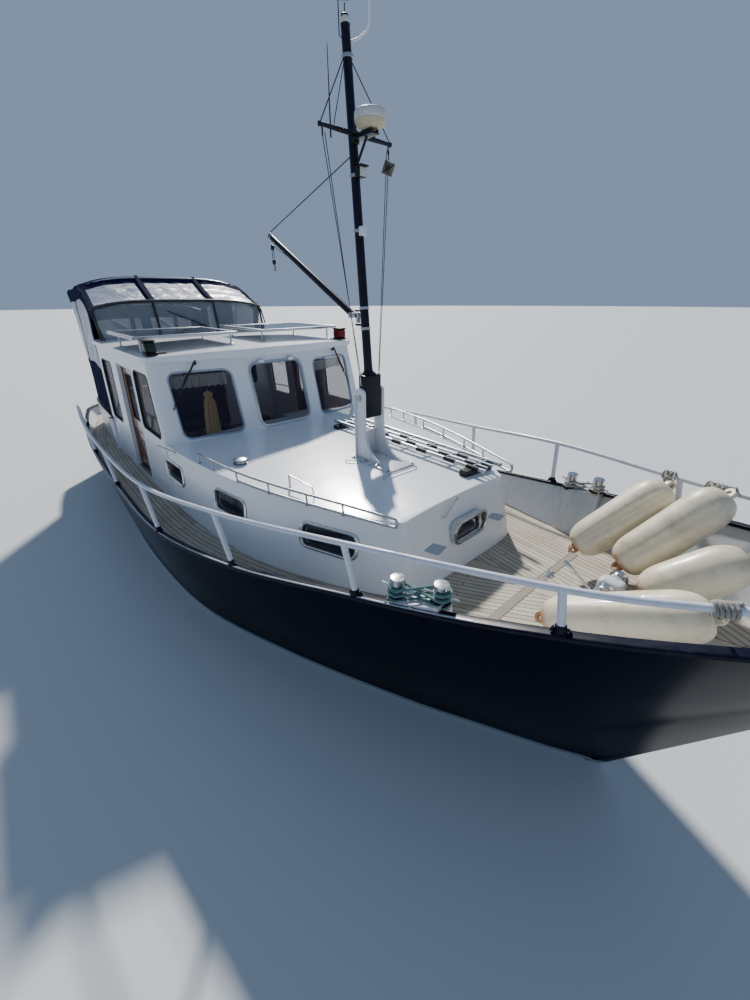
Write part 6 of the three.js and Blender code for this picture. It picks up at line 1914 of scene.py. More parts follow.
# Yard: a thin navy crossbar clamped to the front of the mast, with a bracket under the radome, blocks
# for the halyards at its ends, a whip aerial to starboard and a black aerial pod to port.
YARD_X, YARD_Z, YARD_HALF = 1.860, 4.270, 0.335
yard = [pipe("bar", [(YARD_X, y, YARD_Z) for y in (-YARD_HALF, -0.15, 0.15, YARD_HALF)],
             [0.0125, 0.0165, 0.0165, 0.0125], 20),
        box_at("bracket", (YARD_X - 0.004, -0.038, YARD_Z - 0.034), (YARD_X + 0.205, 0.038, YARD_Z - 0.024),
               0.003),
        box_at("bracket_edge", (YARD_X - 0.004, -0.038, YARD_Z - 0.030),
               (YARD_X + 0.195, -0.032, YARD_Z - 0.003), 0.002),
        box_at("bracket_edge", (YARD_X - 0.004, 0.032, YARD_Z - 0.030),
               (YARD_X + 0.195, 0.038, YARD_Z - 0.003), 0.002),
        pipe("bracket_strut", [mast_at(4.100, 0, 0.034), (YARD_X + 0.110, 0, YARD_Z - 0.030)], 0.010, 12)]
for y in (-YARD_HALF, YARD_HALF):
    yard.append(turned_piece("yard_end",
                             [(0.0125, 0), (0.0165, 0.003), (0.0165, 0.016), (0.0125, 0.019), (0.0, 0.020)],
                             (YARD_X, y - math.copysign(0.006, y), YARD_Z), (0, y, 0), 20))
whole = joined("yard_bar", *yard)
finished(whole, "mast", "mast_paint", mast_navy)
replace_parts(whole, "yard")
clamp = [turned_piece("clamp", [(0.0175, 0), (0.0185, 0.002), (0.0185, 0.026), (0.0175, 0.028)],
                      (YARD_X, y, YARD_Z), (0, 1, 0), 20)
         for y in (-0.062, 0.034)]
saddle = box_at("saddle", (1.812, -0.030, YARD_Z - 0.050), (1.852, 0.030, YARD_Z + 0.030), 0.006)
finished(joined("yard_clamp", saddle, *clamp), "mast", "mast_fittings", lamp_black)
pod = turned_piece("aerial_pod", [(0.020, 0), (0.024, 0.003), (0.024, 0.070), (0.020, 0.078), (0.0, 0.081)],
                   (YARD_X, 0.150, YARD_Z + 0.012), (0, 0, 1), 24)
whip = pipe("whip", [(YARD_X, -0.245, YARD_Z - 0.060), (YARD_X, -0.245, YARD_Z + 0.030),
                     (YARD_X, -0.245, YARD_Z + 0.420)],
            [0.006, 0.005, 0.0022], 10)
flood = [box_at("flood_case", (1.862, -0.036, 4.010), (1.922, 0.036, 4.082), 0.008),
         pipe("flood_arm", [mast_at(4.030, 0, 0.020), (1.868, 0, 4.040)], 0.009, 10),
         box_at("flood_hood", (1.915, -0.040, 4.074), (1.945, 0.040, 4.086), 0.003)]
finished(joined("mast_aerials", pod, whip, *flood), "mast", "light_box", lamp_black)
flood_lens = box_at("flood_lens", (1.921, -0.031, 4.015), (1.926, 0.031, 4.072), 0.002)
finished(flood_lens, "mast", "light_box", lens_white)
whites = [box_at("junction_box", (1.900 - 0.012, -0.028, 3.635), (1.900 + 0.032, 0.028, 3.700), 0.006),
          pipe("aerial_bracket",
               [mast_at(4.800, 0.030), (1.822, 0.062, 4.806), (1.872, 0.094, 4.836), (1.888, 0.100, 4.872)],
               0.0075, 10),
          pipe("aerial_stick", [(1.888, 0.100, 4.866), (1.889, 0.100, 4.984)], 0.0095, 14)]
finished(joined("mast_white_fittings", *whites), "mast", "radome_shell", sky_tinted_rail_white)

# Radome: a moulded white dome with a darker conical underside, above the bracket.
dome_white = weathered("grey_white_moulded_radome", "B9BDBF", "8F938F", 0.4, dirt_share=0.4)
dome_low = weathered("cream_radome_base", "B5AC92", "8A8470", 0.45, dirt_share=0.5)
upper_shell = turned_piece("radome_dome",
                           [(0.1130, 0.0), (0.1160, 0.003), (0.1165, 0.030), (0.1150, 0.046),
                            (0.1090, 0.055), (0.0950, 0.061),
                                           (0.0500, 0.064), (0.0, 0.065)], (2.010, 0, YARD_Z + 0.043),
                           (0, 0, 1), 64)
finished(upper_shell, "mast", "radome_shell", dome_white, smooth=50)
lower_shell = turned_piece("radome_base",
                           [(0.058, 0.002), (0.066, 0.001), (0.096, 0.018), (0.110, 0.034), (0.1140, 0.043),
                            (0.1130, 0.047)],
                           (2.010, 0, YARD_Z - 0.003), (0, 0, 1), 64)
finished(lower_shell, "mast", "radome_shell", dome_low, smooth=50)
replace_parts(upper_shell, "radome")

# Rigging: thin dark lines and wires. Lifts run from the mast to the yard's ends, halyards go down from
# them to cleats on the mast's heel, and a plate radar reflector hangs from the port end.
line_dark, shader = surface("dark_polyester_line", "20242C", 0.8, Specular_IOR_Level=0.2)
fibre_at = node(line_dark, "TexCoord").outputs["Object"]
fibre = node(line_dark, "TexNoise", [(fibre_at, "Vector")], in_Scale=240, in_Detail=2)
tone = node(line_dark, "Mix", [(fibre.outputs["Fac"], "Factor")], data_type="RGBA", in_6=linear("171A22"),
            in_7=linear("3A3F4A"))
join_link(line_dark, tone.outputs["Result"], shader, "Base Color")
lines = [pipe("lift", [mast_at(4.700, -0.036), (YARD_X, -YARD_HALF + 0.006, YARD_Z + 0.016)], 0.0042, 8),
         pipe("lift", [mast_at(4.700, 0.036), (YARD_X, YARD_HALF - 0.006, YARD_Z + 0.016)], 0.0036, 8),
         pipe("stay", [mast_at(4.700, -0.034, 0.01), (YARD_X, -0.215, YARD_Z + 0.015)], 0.0032, 8)]
cleats = []
for side in (1, -1):
    for k, start in enumerate((0.325, 0.300)):
        lines.append(pipe("halyard",
                          [(YARD_X + 0.004, side * start, YARD_Z - 0.040),
                           (1.985 - 0.012 * k, side * (0.108 + 0.004 * k), 2.530)],
                          0.0030, 8))
    lines.append(pipe("halyard_strop",
                      [(YARD_X, side * 0.318, YARD_Z - 0.014), (YARD_X, side * 0.318, YARD_Z - 0.060)],
                      0.006, 8))
    cleats.append(pipe("cleat",
                       [(1.980, side * 0.104, 2.470), (1.980, side * 0.113, 2.500),
                        (1.980, side * 0.113, 2.548),
                                 (1.980, side * 0.104, 2.575)], 0.0055, 10))
    cleats.append(pipe("cleat_base", [(1.980, side * 0.096, 2.524), (1.980, side * 0.113, 2.524)], 0.010,
                       10))
finished(joined("mast_lines", *lines), "mast", "mast_fittings", line_dark)
finished(joined("mast_cleats", *cleats), "mast", "mast_fittings", brushed)
reflector = []
for turn_at in ((1, 0, 0), (0, 1, 0), (0, 0, 1)):
    clear_choice()
    bpy.ops.mesh.primitive_circle_add(vertices=4, radius=0.062, fill_type="NGON", location=(0, 0, 0))
    plate = bpy.context.object
    aim = Vector(turn_at).to_track_quat("Z", "Y").to_matrix().to_4x4()
    tilt = Matrix.Rotation(math.radians(35), 4, "X") @ Matrix.Rotation(math.radians(45), 4, "Z")
    plate.data.transform(Matrix.Translation((YARD_X, 0.322, YARD_Z - 0.150)) @ tilt @ aim)
    modified(plate, "SOLIDIFY", thickness=0.0016, offset=0)
    reflector.append(plate)
reflector.append(pipe("reflector_line", [(YARD_X, 0.322, YARD_Z - 0.012), (YARD_X, 0.322, YARD_Z - 0.094)],
                      0.003, 8))
dull_plate = weathered("weathered_grey_aluminium_plate", "6F6A64", "4E4A46", 0.55, Metallic=0.4)
finished(joined("radar_reflector", *reflector), "mast", "mast_fittings", dull_plate, smooth=0)

# Derrick boom: a tapered navy spar on a swivelling gooseneck, held up by a topping lift from the mast.
# A small tackle of two blocks hangs from its tip.
LUFF, TIP = Vector((1.758, 0, 3.050)), Vector((0.410, 0, 3.765))
neck = [pipe("neck_pin", [(1.828, 0, 2.989), (1.828, 0, 3.071)], 0.0198, 24),
        box_at("neck_bar", (1.811, -0.0405, 3.031), (1.829, 0.0405, 3.067), 0.003)]
for side in (1, -1):
    y0, y1 = sorted((side * 0.0352, side * 0.0408))
    neck.append(box_at("neck_cheek", (1.737, y0, 3.029), (1.817, y1, 3.071), 0.002))
gooseneck = joined("gooseneck_fork", *neck)
finished(gooseneck, "gooseneck", "mast_fittings", brushed)
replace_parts(gooseneck, "gooseneck")
luff_bolt = pipe("luff_bolt", [(1.758, -0.046, 3.050), (1.758, 0.046, 3.050)], 0.008, 16)
finished(luff_bolt, "gooseneck", "mast_fittings", brushed)
spar_way = (TIP - LUFF).normalized()
spar = pipe("derrick_boom", [LUFF + spar_way * d for d in (0.0, 0.3, 0.9, 1.45)] + [TIP - spar_way * 0.004],
            [0.0285, 0.030, 0.0285, 0.0255, 0.024], 28)
finished(spar, "boom", "mast_paint", mast_navy)
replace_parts(spar, "boom")
tip_ring = [turned_piece("tip_band", [(0.0245, 0), (0.0262, 0.002), (0.0262, 0.018), (0.0245, 0.020)],
                         TIP - spar_way * 0.045, spar_way, 24)]
hang = TIP - spar_way * 0.036
tip_ring.append(pipe("tip_eye",
                     [(hang
                       + Vector((0.016 * math.cos(a), 0, -0.030 - 0.016 + 0.016 * math.sin(a)))).to_tuple()
                                 for a in [2 * math.pi * k / 14 for k in range(15)]], 0.004, 8))
tip_ring.append(pipe("lift_eye",
                     [(hang
                       + Vector((0.014 * math.cos(a), 0, 0.030 + 0.012 + 0.014 * math.sin(a)))).to_tuple()
                                  for a in [2 * math.pi * k / 14 for k in range(15)]], 0.004, 8))
finished(joined("boom_tip_fittings", *tip_ring), "boom", "mast_fittings", brushed)
tackle = [hang + Vector((0, 0, -0.060)), hang + Vector((0.004, 0, -0.190))]
blocks = []
for p in tackle:
    blocks.append(turned_piece("block", [(0.018, 0), (0.026, 0.003), (0.026, 0.017), (0.018, 0.020)],
                               (p + Vector((0, -0.010, -0.030))).to_tuple(), (0, 1, 0), 24))
blocks.append(pipe("hook",
                   [(tackle[1]
                     + Vector((0.020 * math.sin(a), 0, -0.070 - 0.020 + 0.020 * math.cos(a)))).to_tuple()
                            for a in [math.radians(d) for d in range(0, 271, 22)]], 0.0045, 8))
blocks.append(pipe("hook_shank",
                   [(tackle[1] + Vector((0, 0, -0.050))).to_tuple(),
                    (tackle[1] + Vector((0, 0, -0.072))).to_tuple()], 0.0045, 8))
falls = [pipe("fall", [(tackle[0] + Vector((dx, 0, -0.034))).to_tuple(),
                       (tackle[1] + Vector((dx, 0, -0.026))).to_tuple()], 0.0032, 8)
         for dx in (-0.016, 0.016)]
falls.append(pipe("fall_to_boom", [(tackle[0] + Vector((0.020, 0.004, -0.020))).to_tuple(),
                                   (hang - spar_way * 0.5 + Vector((0, 0.028, -0.028))).to_tuple(),
                                   (LUFF + spar_way * 0.24 + Vector((0, 0.034, -0.012))).to_tuple()], 0.0032,
                  8))
finished(joined("boom_tackle_blocks", *blocks), "boom", "mast_fittings", lamp_black)
finished(joined("boom_tackle_lines", *falls), "boom", "mast_fittings", line_dark)
lift_low = hang + Vector((0, 0, 0.050))
lift_high = Vector(mast_at(4.160, 0, -0.037))
lift = pipe("topping_lift", [lift_high.lerp(lift_low, k / 24).to_tuple() for k in range(25)], 0.0042, 8)
lift.data.materials.append(line_dark)
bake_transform(lift)

# Doorways and sliding doors: varnished mahogany leaves hung inside the leaning sides, each with a light
# above and a fielded panel below. They run in a painted channel over a stainless sill.
mahogany, shader = surface("varnished_mahogany", "6A3516", 0.22, Coat_Weight=0.7, Coat_Roughness=0.08)
place = node(mahogany, "TexCoord").outputs["Object"]
grain_at = node(mahogany, "Mapping", [(place, "Vector")], in_Scale=(38, 38, 2.6))
grain = node(mahogany, "TexNoise", [(grain_at.outputs[0], "Vector")], in_Scale=1, in_Detail=8,
             in_Roughness=0.68, in_Distortion=0.6)
tone = node(mahogany, "Mix", [(grain.outputs["Fac"], "Factor")], data_type="RGBA", in_6=linear("4A230F"),
            in_7=linear("9A5526"))
join_link(mahogany, tone.outputs["Result"], shader, "Base Color")
lifted = node(mahogany, "Bump", [(grain.outputs["Fac"], "Height")], in_Strength=0.12, in_Distance=0.0006)
join_link(mahogany, lifted.outputs[0], shader, "Normal")


def slab_on(name, outline, at, low, high, bevel=0.003):
    """A plate with an outline, between two distances out from a face, its edges eased."""
    made = lofted(name, [[at(u, v, o) for u, v in outline] for o in (low, high)])
    if bevel:
        modified(made, "BEVEL", width=bevel, segments=2, limit_method="ANGLE", angle_limit=math.radians(50))
    return made


def square(u0, u1, v0, v1):
    return [(u0, v0), (u1, v0), (u1, v1), (u0, v1)]


LEAF = (-1.585, -0.755, 1.010, 2.455)
DOOR_LIGHT = (-1.450, -0.890, 1.720, 2.330)
for side, name in ((1, "port"), (-1, "starboard")):
    at = side_face(side)
    leaf = slab_on("leaf", square(*LEAF), at, -0.0905, -0.0535)
    light = oblong(*DOOR_LIGHT, 0.040)
    cut_away(leaf, prism("cutter", light, 1, *sorted((side * 1.15, side * 1.6))))
    field = oblong(-1.450, -0.890, 1.130, 1.600, 0.006)
    cut_away(leaf, lofted("cutter", [[at(u, v, o) for u, v in field] for o in (-0.0600, -0.0400)]))
    raised = slab_on("field", oblong(-1.405, -0.935, 1.175, 1.555, 0.004), at, -0.0620, -0.0545, 0.004)
    door = joined("sliding_door_" + name, leaf, raised)
    finished(door, "door_" + name, "varnish", mahogany, smooth=30)
    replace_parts(door, "door_" + name)
    bead = band("door_light_bead_" + name, light, at,
                [(0.0, -0.050), (0.004, -0.048), (0.012, -0.050), (0.013, -0.058), (0.0, -0.060)])
    finished(bead, "door_" + name, "varnish", mahogany)
    glass = pane("door_glass_" + name, oblong(-1.446, -0.894, 1.724, 2.326, 0.038), at, -0.067, 0.005)
    finished(glass, "door_" + name, "window_glass", window_glass)
    # The pull is a flush dish, because the leaf slides behind the jamb with 7 mm to spare
    pull = [band("pull_rim", oblong(-0.858, -0.802, 1.600, 1.760, 0.026), at,
                 [(0.0, -0.0540), (0.001, -0.0505), (0.004, -0.0492), (0.008, -0.0505), (0.010, -0.0540)]),
            slab_on("pull_dish", oblong(-0.850, -0.810, 1.608, 1.752, 0.018), at, -0.0539, -0.0531, 0)]
    pull.append(slab_on("lock_plate", oblong(-0.850, -0.810, 1.500, 1.570, 0.006), at, -0.0537, -0.0522, 0))
    finished(joined("door_pull_" + name, *pull), "door_" + name, "stainless", stainless)
    runner = slab_on("runner", square(-2.330, -0.740, 2.461, 2.496), at, -0.104, -0.040, 0.004)
    lip = slab_on("lip", square(-2.330, -0.740, 2.440, 2.462), at, -0.104, -0.100, 0.001)
    finished(joined("door_channel_" + name, runner, lip), "hull", "house_paint", house_white, smooth=30)
    jamb = band("door_edge_" + name, oblong(*DOOR_X, *DOOR_Z, 0.034), at,
                [(-0.006, 0.001), (0.0, 0.006), (0.006, 0.004), (0.006, -0.046), (-0.003, -0.046)])
    finished(jamb, "hull", "house_paint", house_white)
    sill = slab_on("door_sill_" + name, square(-1.536, -0.804, 1.031, 1.037), at, -0.046, 0.008, 0.002)
    finished(sill, "hull", "stainless", brushed)
    bar = pipe("window_bar_" + name, [at(-2.400, 2.150, -0.034), at(-1.985, 2.100, -0.034)], 0.008, 12)
    finished(bar, "hull", "stainless", stainless)

# Wheelhouse aft wall: white steel plate with rounded openings for two fixed windows and the doorway to
# the aft deck. The varnished door swings out on two stainless hinges to port.
AFT_DOOR = (-0.250, 0.450, 1.030, 2.430)
half_line = [(side_y(0.975) - 0.040, 0.975), (side_y(2.5835) - 0.040, 2.5835)]
wall = lofted("aft_wall",
              [[(x, s * y, z) for s,
                (y, z) in ((-1, half_line[0]), (1, half_line[0]), (1, half_line[1]), (-1, half_line[1]))]
                           for x in (AFT_X + 0.045, AFT_X)])
cut_away(wall, prism("cutter", oblong(*AFT_DOOR, 0.05), 0, -3.0, -2.0))
for window in AFT_WINDOWS:
    cut_away(wall, prism("cutter", drawn_in(window, GLASS_REBATE), 0, -3.0, -2.0))
finished(wall, "hull", "house_paint", house_white, smooth=30)
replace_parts(wall, "wheelhouse_aft")
edge = band("aft_door_edge", oblong(*AFT_DOOR, 0.05), aft_face,
            [(-0.020, 0.0), (-0.018, 0.006), (-0.004, 0.008), (0.0, 0.004), (0.001, -0.044),
             (-0.003, -0.044)])
finished(edge, "hull", "house_paint", house_white)
aft_leaf = slab_on("aft_leaf", oblong(-0.244, 0.444, 1.036, 2.424, 0.046), aft_face, -0.0395, -0.0025, 0.003)
for v0, v1 in ((1.150, 1.640), (1.760, 2.310)):
    cut_away(aft_leaf, lofted("cutter",
                              [[aft_face(u, v, o) for u, v in oblong(-0.130, 0.330, v0, v1, 0.006)]
                               for o in (-0.0095, 0.02)]))
fields = [slab_on("field", oblong(-0.095, 0.295, v0 + 0.035, v1 - 0.035, 0.004), aft_face, -0.0110, -0.0035,
                  0.004)
          for v0, v1 in ((1.150, 1.640), (1.760, 2.310))]
aft_door = joined("aft_door_leaf", aft_leaf, *fields)
finished(aft_door, "door_aft", "varnish", mahogany, smooth=30)
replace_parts(aft_door, "door_aft")
knob = [turned_piece("knob",
                     [(0.020, 0), (0.020, 0.003), (0.008, 0.005), (0.008, 0.022), (0.020, 0.030),
                      (0.022, 0.040), (0.014, 0.046), (0.0, 0.047)],
                     (AFT_X, -0.190, 1.700), (-1, 0, 0), 24),
        slab_on("lock", oblong(-0.205, -0.175, 1.560, 1.620, 0.006), aft_face, -0.003, 0.0, 0)]
finished(joined("aft_door_knob", *knob), "door_aft", "stainless", brushed)
hinges = [pipe("hinge", [(-2.6525, 0.4495, z - 0.045), (-2.6525, 0.4495, z + 0.045)], 0.0055, 12)
          for z in (1.300, 2.160)]
hinges += [slab_on("hinge_leaf", square(0.452, 0.486, z - 0.040, z + 0.040), aft_face, 0.0005, 0.0030, 0)
           for z in (1.300, 2.160)]
finished(joined("aft_door_hinges", *hinges), "hull", "stainless", brushed)

# Aft coaming: a low steel wall round the aft deck, painted white, with a varnished wooden capping that
# the canopy's foot is studded to. A slatted bench runs across inside the stern.
COAMING = [(-2.655, 1.440), (-2.712, 1.440), (-4.100, 1.385), (-4.650, 1.245), (-4.960, 1.040),
           (-5.130, 0.740), (-5.190, 0.000)]
coaming_curve = spread(through(COAMING, 6), 50)


def coaming_at(k, inset):
    """Point k of the coaming's plan to port, moved in square to its outer face."""
    a, b = Vector(coaming_curve[max(0, k - 1)]), Vector(coaming_curve[min(49, k + 1)])
    along = (b - a).normalized()
    if k == 49:
        along = Vector((0, -1))
    p = Vector(coaming_curve[k]) + Vector((-along.y, along.x)) * -inset
    return (p.x, p.y)


def round_coaming(name, section):
    """Sweeps (inset, height) pairs round the coaming from port to starboard."""
    port = [[(*coaming_at(k, s), z) for s, z in section] for k in range(50)]
    return lofted(name, port + [[(x, -y, z) for x, y, z in ring] for ring in reversed(port[:-1])])


probe = coaming_at(20, 0.045)
turn = 1 if abs(probe[1]) < abs(coaming_curve[20][1]) else -1
wall = round_coaming("coaming_wall",
                     [(0.0, 0.966), (0.0, 1.474), (0.004, 1.484), (turn * 0.041, 1.484),
                      (turn * 0.045, 1.474), (turn * 0.045, 0.966)])
finished(wall, "hull", "house_paint", house_white)
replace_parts(wall, "aft_coaming")
cap = round_coaming("coaming_cap",
                    [(turn * -0.004, 1.484), (turn * -0.006, 1.490), (turn * -0.003, 1.498),
                     (turn * 0.003, 1.500),
                                    (turn * 0.042, 1.500), (turn * 0.049, 1.498), (turn * 0.051, 1.490),
                     (turn * 0.049, 1.484)])
finished(cap, "hull", "varnish", mahogany)
ledge = []
for k in range(50):
    x, y = coaming_at(k, turn * 0.050)
    if x < -4.94:
        inner = (-4.900, min(y * 0.92, 0.985))
        ledge.append([(x, y, 1.499), (x, y, 1.481), (*inner, 1.481), (*inner, 1.499)])
ledge += [[(x, -y, z) for x, y, z in ring] for ring in reversed(ledge[:-1])]
finished(lofted("stern_ledge", ledge), "hull", "house_paint", house_white, smooth=30)
slats = [box_at("slat", (x, -0.90, 1.285), (x + 0.058, 0.90, 1.305), 0.003)
         for x in (-4.86, -4.79, -4.72, -4.65, -4.58)]
legs = [box_at("bench_leg", (x, y - 0.014, deck_z(x) + 0.012), (x + 0.028, y + 0.014, 1.290), 0.003)
        for x in (-4.845, -4.565) for y in (-0.80, 0.0, 0.80)]
legs += [box_at("bench_rail", (-4.850, y - 0.014, 1.262), (-4.532, y + 0.014, 1.286), 0.003)
         for y in (-0.80, 0.0, 0.80)]
finished(joined("stern_bench", *slats, *legs), "hull", "teak", board_teak, smooth=30)

# Below the water: a steel keel bar and a plate rudder under dark red antifouling, with slime near the
# surface. The bronze propeller has four twisted blades on a stainless shaft.
antifouling, shader = surface("dark_red_antifouling", "4A1D18", 0.8)
place = node(antifouling, "TexCoord").outputs["Object"]
slime = node(antifouling, "TexNoise", [(place, "Vector")], in_Scale=7, in_Detail=8, in_Roughness=0.7)
tone = node(antifouling, "Mix", [(slime.outputs["Fac"], "Factor")], data_type="RGBA", in_6=linear("3A1612"),
            in_7=linear("5C3A28"))
join_link(antifouling, tone.outputs["Result"], shader, "Base Color")
lifted = node(antifouling, "Bump", [(slime.outputs["Fac"], "Height")], in_Strength=0.5, in_Distance=0.003)
join_link(antifouling, lifted.outputs[0], shader, "Normal")
for name, slot, material in (("keel_bar", "antifouling", antifouling),
                             ("rudder", "antifouling", antifouling),
                             ("propeller_shaft", "stainless", brushed)):
    solid = bpy.data.objects[name]
    solid.data.materials.clear()
    solid.data.materials.append(material)
bronze, shader = surface("cast_manganese_bronze", "B08A4A", 0.3, Metallic=1.0)
place = node(bronze, "TexCoord").outputs["Object"]
tarnish = node(bronze, "TexNoise", [(place, "Vector")], in_Scale=22, in_Detail=7)
tone = node(bronze, "Mix", [(tarnish.outputs["Fac"], "Factor")], data_type="RGBA", in_6=linear("7E6A3C"),
            in_7=linear("C39A58"))
join_link(bronze, tone.outputs["Result"], shader, "Base Color")
dull = node(bronze, "MapRange", [(tarnish.outputs["Fac"], "Value")], in_3=0.22, in_4=0.5)
join_link(bronze, dull.outputs[0], shader, "Roughness")
SHAFT = Vector((-4.520, 0, -0.640))
BLADE = [(0.030, 46, 0.055, 0.008), (0.070, 44, 0.082, 0.007), (0.110, 42, 0.104, 0.006),
         (0.155, 38, 0.117, 0.005), (0.200, 34, 0.117, 0.004),
         (0.235, 29, 0.095, 0.003), (0.254, 26, 0.064, 0.002), (0.2615, 24, 0.020, 0.0012)]
blade_rings = []
for r, pitch, chord, thick in BLADE:
    lean, ring = math.radians(pitch), []
    for k in range(24):
        a = 2 * math.pi * k / 24
        c, t = 0.5 * chord * math.cos(a), 0.5 * thick * math.sin(a)
        ring.append((c * math.sin(lean) + t * math.cos(lean), c * math.cos(lean) - t * math.sin(lean), r))
    blade_rings.append(ring)
first = lofted("blade", blade_rings)
blades = [first]
for i in range(1, 4):
    clear_choice()
    first.select_set(True)
    bpy.context.view_layer.objects.active = first
    bpy.ops.object.duplicate()
    copy = bpy.context.object
    copy.data.transform(Matrix.Rotation(math.radians(90 * i), 4, "X"))
    blades.append(copy)
for blade in blades:
    blade.data.transform(Matrix.Translation(SHAFT) @ Matrix.Rotation(math.radians(20), 4, "X"))
hub = turned_piece("hub",
                   [(0.050, 0), (0.0548, 0.004), (0.050, 0.050), (0.036, 0.086), (0.034, 0.090),
                    (0.034, 0.101), (0.026, 0.1085), (0.0, 0.109)],
                   SHAFT + Vector((0.049, 0, 0)), (-1, 0, 0), 40)
propeller = joined("propeller_casting", hub, *blades)
finished(propeller, "propeller", "bronze", bronze, smooth=50)
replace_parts(propeller, "propeller")

# Wheelhouse inside: an oak sole with dark seams, a mahogany dash with a black instrument panel, gauges,
# a compass and a throttle, and a wooden wheel on a stainless hub.
sole_oak, shader = surface("varnished_oak_sole", "8A6038", 0.35)
place = node(sole_oak, "TexCoord").outputs["Object"]
plank_at = node(sole_oak, "Mapping", [(place, "Vector")], in_Rotation=(0, 0, math.pi / 2))
planks = node(sole_oak, "TexBrick", [(plank_at.outputs[0], "Vector")], in_Scale=1.0,
              in_Color1=linear("8E6238"), in_Color2=linear("A0713F"),
              in_Mortar=linear("2A1A10"))
planks.inputs["Mortar Size"].default_value = 0.0016
planks.inputs["Brick Width"].default_value = 1.9
planks.inputs["Row Height"].default_value = 0.085
join_link(sole_oak, planks.outputs["Color"], shader, "Base Color")
sole = box_at("wheelhouse_floor", (AFT_X + 0.060, -1.370, deck_z(-1.3) + 0.002), (0.060, 1.370, 1.000),
              0.001)
finished(sole, "hull", "sole_wood", sole_oak, smooth=0)
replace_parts(sole, "wheelhouse_sole")
dash_line = [(-0.060, 1.001), (-0.060, 1.700), (-0.330, 1.640), (-0.430, 1.440), (-0.400, 1.001)]
dash = prism("dash_console", dash_line, 1, -1.230, 1.180)
modified(dash, "BEVEL", width=0.008, segments=3, limit_method="ANGLE", angle_limit=math.radians(25))
column = pipe("wheel_column", [(-0.360, -0.620, 1.489), (-0.474, -0.620, 1.530)], [0.030, 0.022], 20)
finished(dash, "hull", "varnish", mahogany, smooth=30)
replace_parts(dash, "dash")
finished(column, "hull", "stainless", brushed)


def dash_face(u, v, out):
    """A point over the sloping fascia: u across, v up the slope from its foot."""
    low, high = Vector((-0.430, 0, 1.440)), Vector((-0.330, 0, 1.640))
    way = (high - low).normalized()
    p = low + way * v + Vector((-way.z, 0, way.x)) * out
    return (p.x, u, p.z)


fascia = slab_on("instrument_panel", oblong(-1.000, -0.240, 0.030, 0.200, 0.015), dash_face, 0.0005, 0.006,
                 0.002)
dials, bezels = [], []
for u, v, r in ((-0.90, 0.115, 0.040), (-0.79, 0.115, 0.040), (-0.45, 0.115, 0.052), (-0.33, 0.115, 0.040)):
    base, tip = Vector(dash_face(u, v, 0.006)), Vector(dash_face(u, v, 0.02))
    bezels.append(turned_piece("bezel",
                               [(r - 0.006, 0.0), (r, 0.0), (r, 0.006), (r - 0.003, 0.009),
                                (r - 0.007, 0.006), (r - 0.007, 0.003)],
                               base, tip - base, 32))
    dials.append(turned_piece("dial", [(r - 0.006, 0.002), (r - 0.006, 0.0045), (0.0, 0.0046)], base,
                              tip - base, 32))
for k in range(6):
    u = -0.68 + 0.035 * k
    base, tip = Vector(dash_face(u, 0.165, 0.006)), Vector(dash_face(u, 0.175, 0.03))
    bezels.append(turned_piece("switch",
                               [(0.009, 0), (0.009, 0.004), (0.0035, 0.006), (0.0025, 0.018), (0.004, 0.021),
                                (0.0, 0.022)], base, tip - base, 12))
finished(fascia, "hull", "light_box", lamp_black, smooth=30)
finished(joined("gauge_bezels", *bezels), "hull", "stainless", stainless)
dial_ivory = weathered("ivory_gauge_dial", "D9D3BE", "BDB59A", 0.4)
finished(joined("gauge_dials", *dials), "hull", "light_box", dial_ivory)
top_slope = (1.700 - 1.640) / 0.270
compass_at = (-0.210, -0.620, 1.640 + 0.120 * top_slope)
compass = turned_piece("compass_base", [(0.075, 0), (0.078, 0.010), (0.070, 0.040), (0.066, 0.046)],
                       compass_at, (0, 0, 1), 40)
finished(compass, "hull", "light_box", lamp_black)
bowl = turned_piece("compass_bowl",
                    [(0.066, 0.044)]
                    + [(0.064 * math.cos(math.radians(a)), 0.046 + 0.050 * math.sin(math.radians(a)))
                                                       for a in range(0, 91, 15)], compass_at, (0, 0, 1), 40)
finished(bowl, "hull", "window_glass", window_glass, smooth=60)
radio = box_at("radio", (-0.300, -0.180, 1.664), (-0.120, 0.020, 1.747), 0.008)
finished(radio, "hull", "light_box", lamp_black)
chart_paper, shader = surface("folded_chart_paper", "CBD3D2", 0.8)
chart_folder = box_at("chart_folder", (-0.300, 0.300, 1.650), (-0.110, 0.820, 1.692), 0.006)
finished(chart_folder, "hull", "light_box", chart_paper)
WHEEL = Vector((-0.500, -0.620, 1.540))
AXLE = Vector((0.93969, 0, -0.34202))
across, up = Vector((0, 1, 0)), Vector((0.34202, 0, 0.93969))


def on_wheel(r, degrees, ahead=0.0):
    a = math.radians(degrees)
    return tuple(WHEEL + across * (r * math.cos(a)) + up * (r * math.sin(a)) + AXLE * ahead)


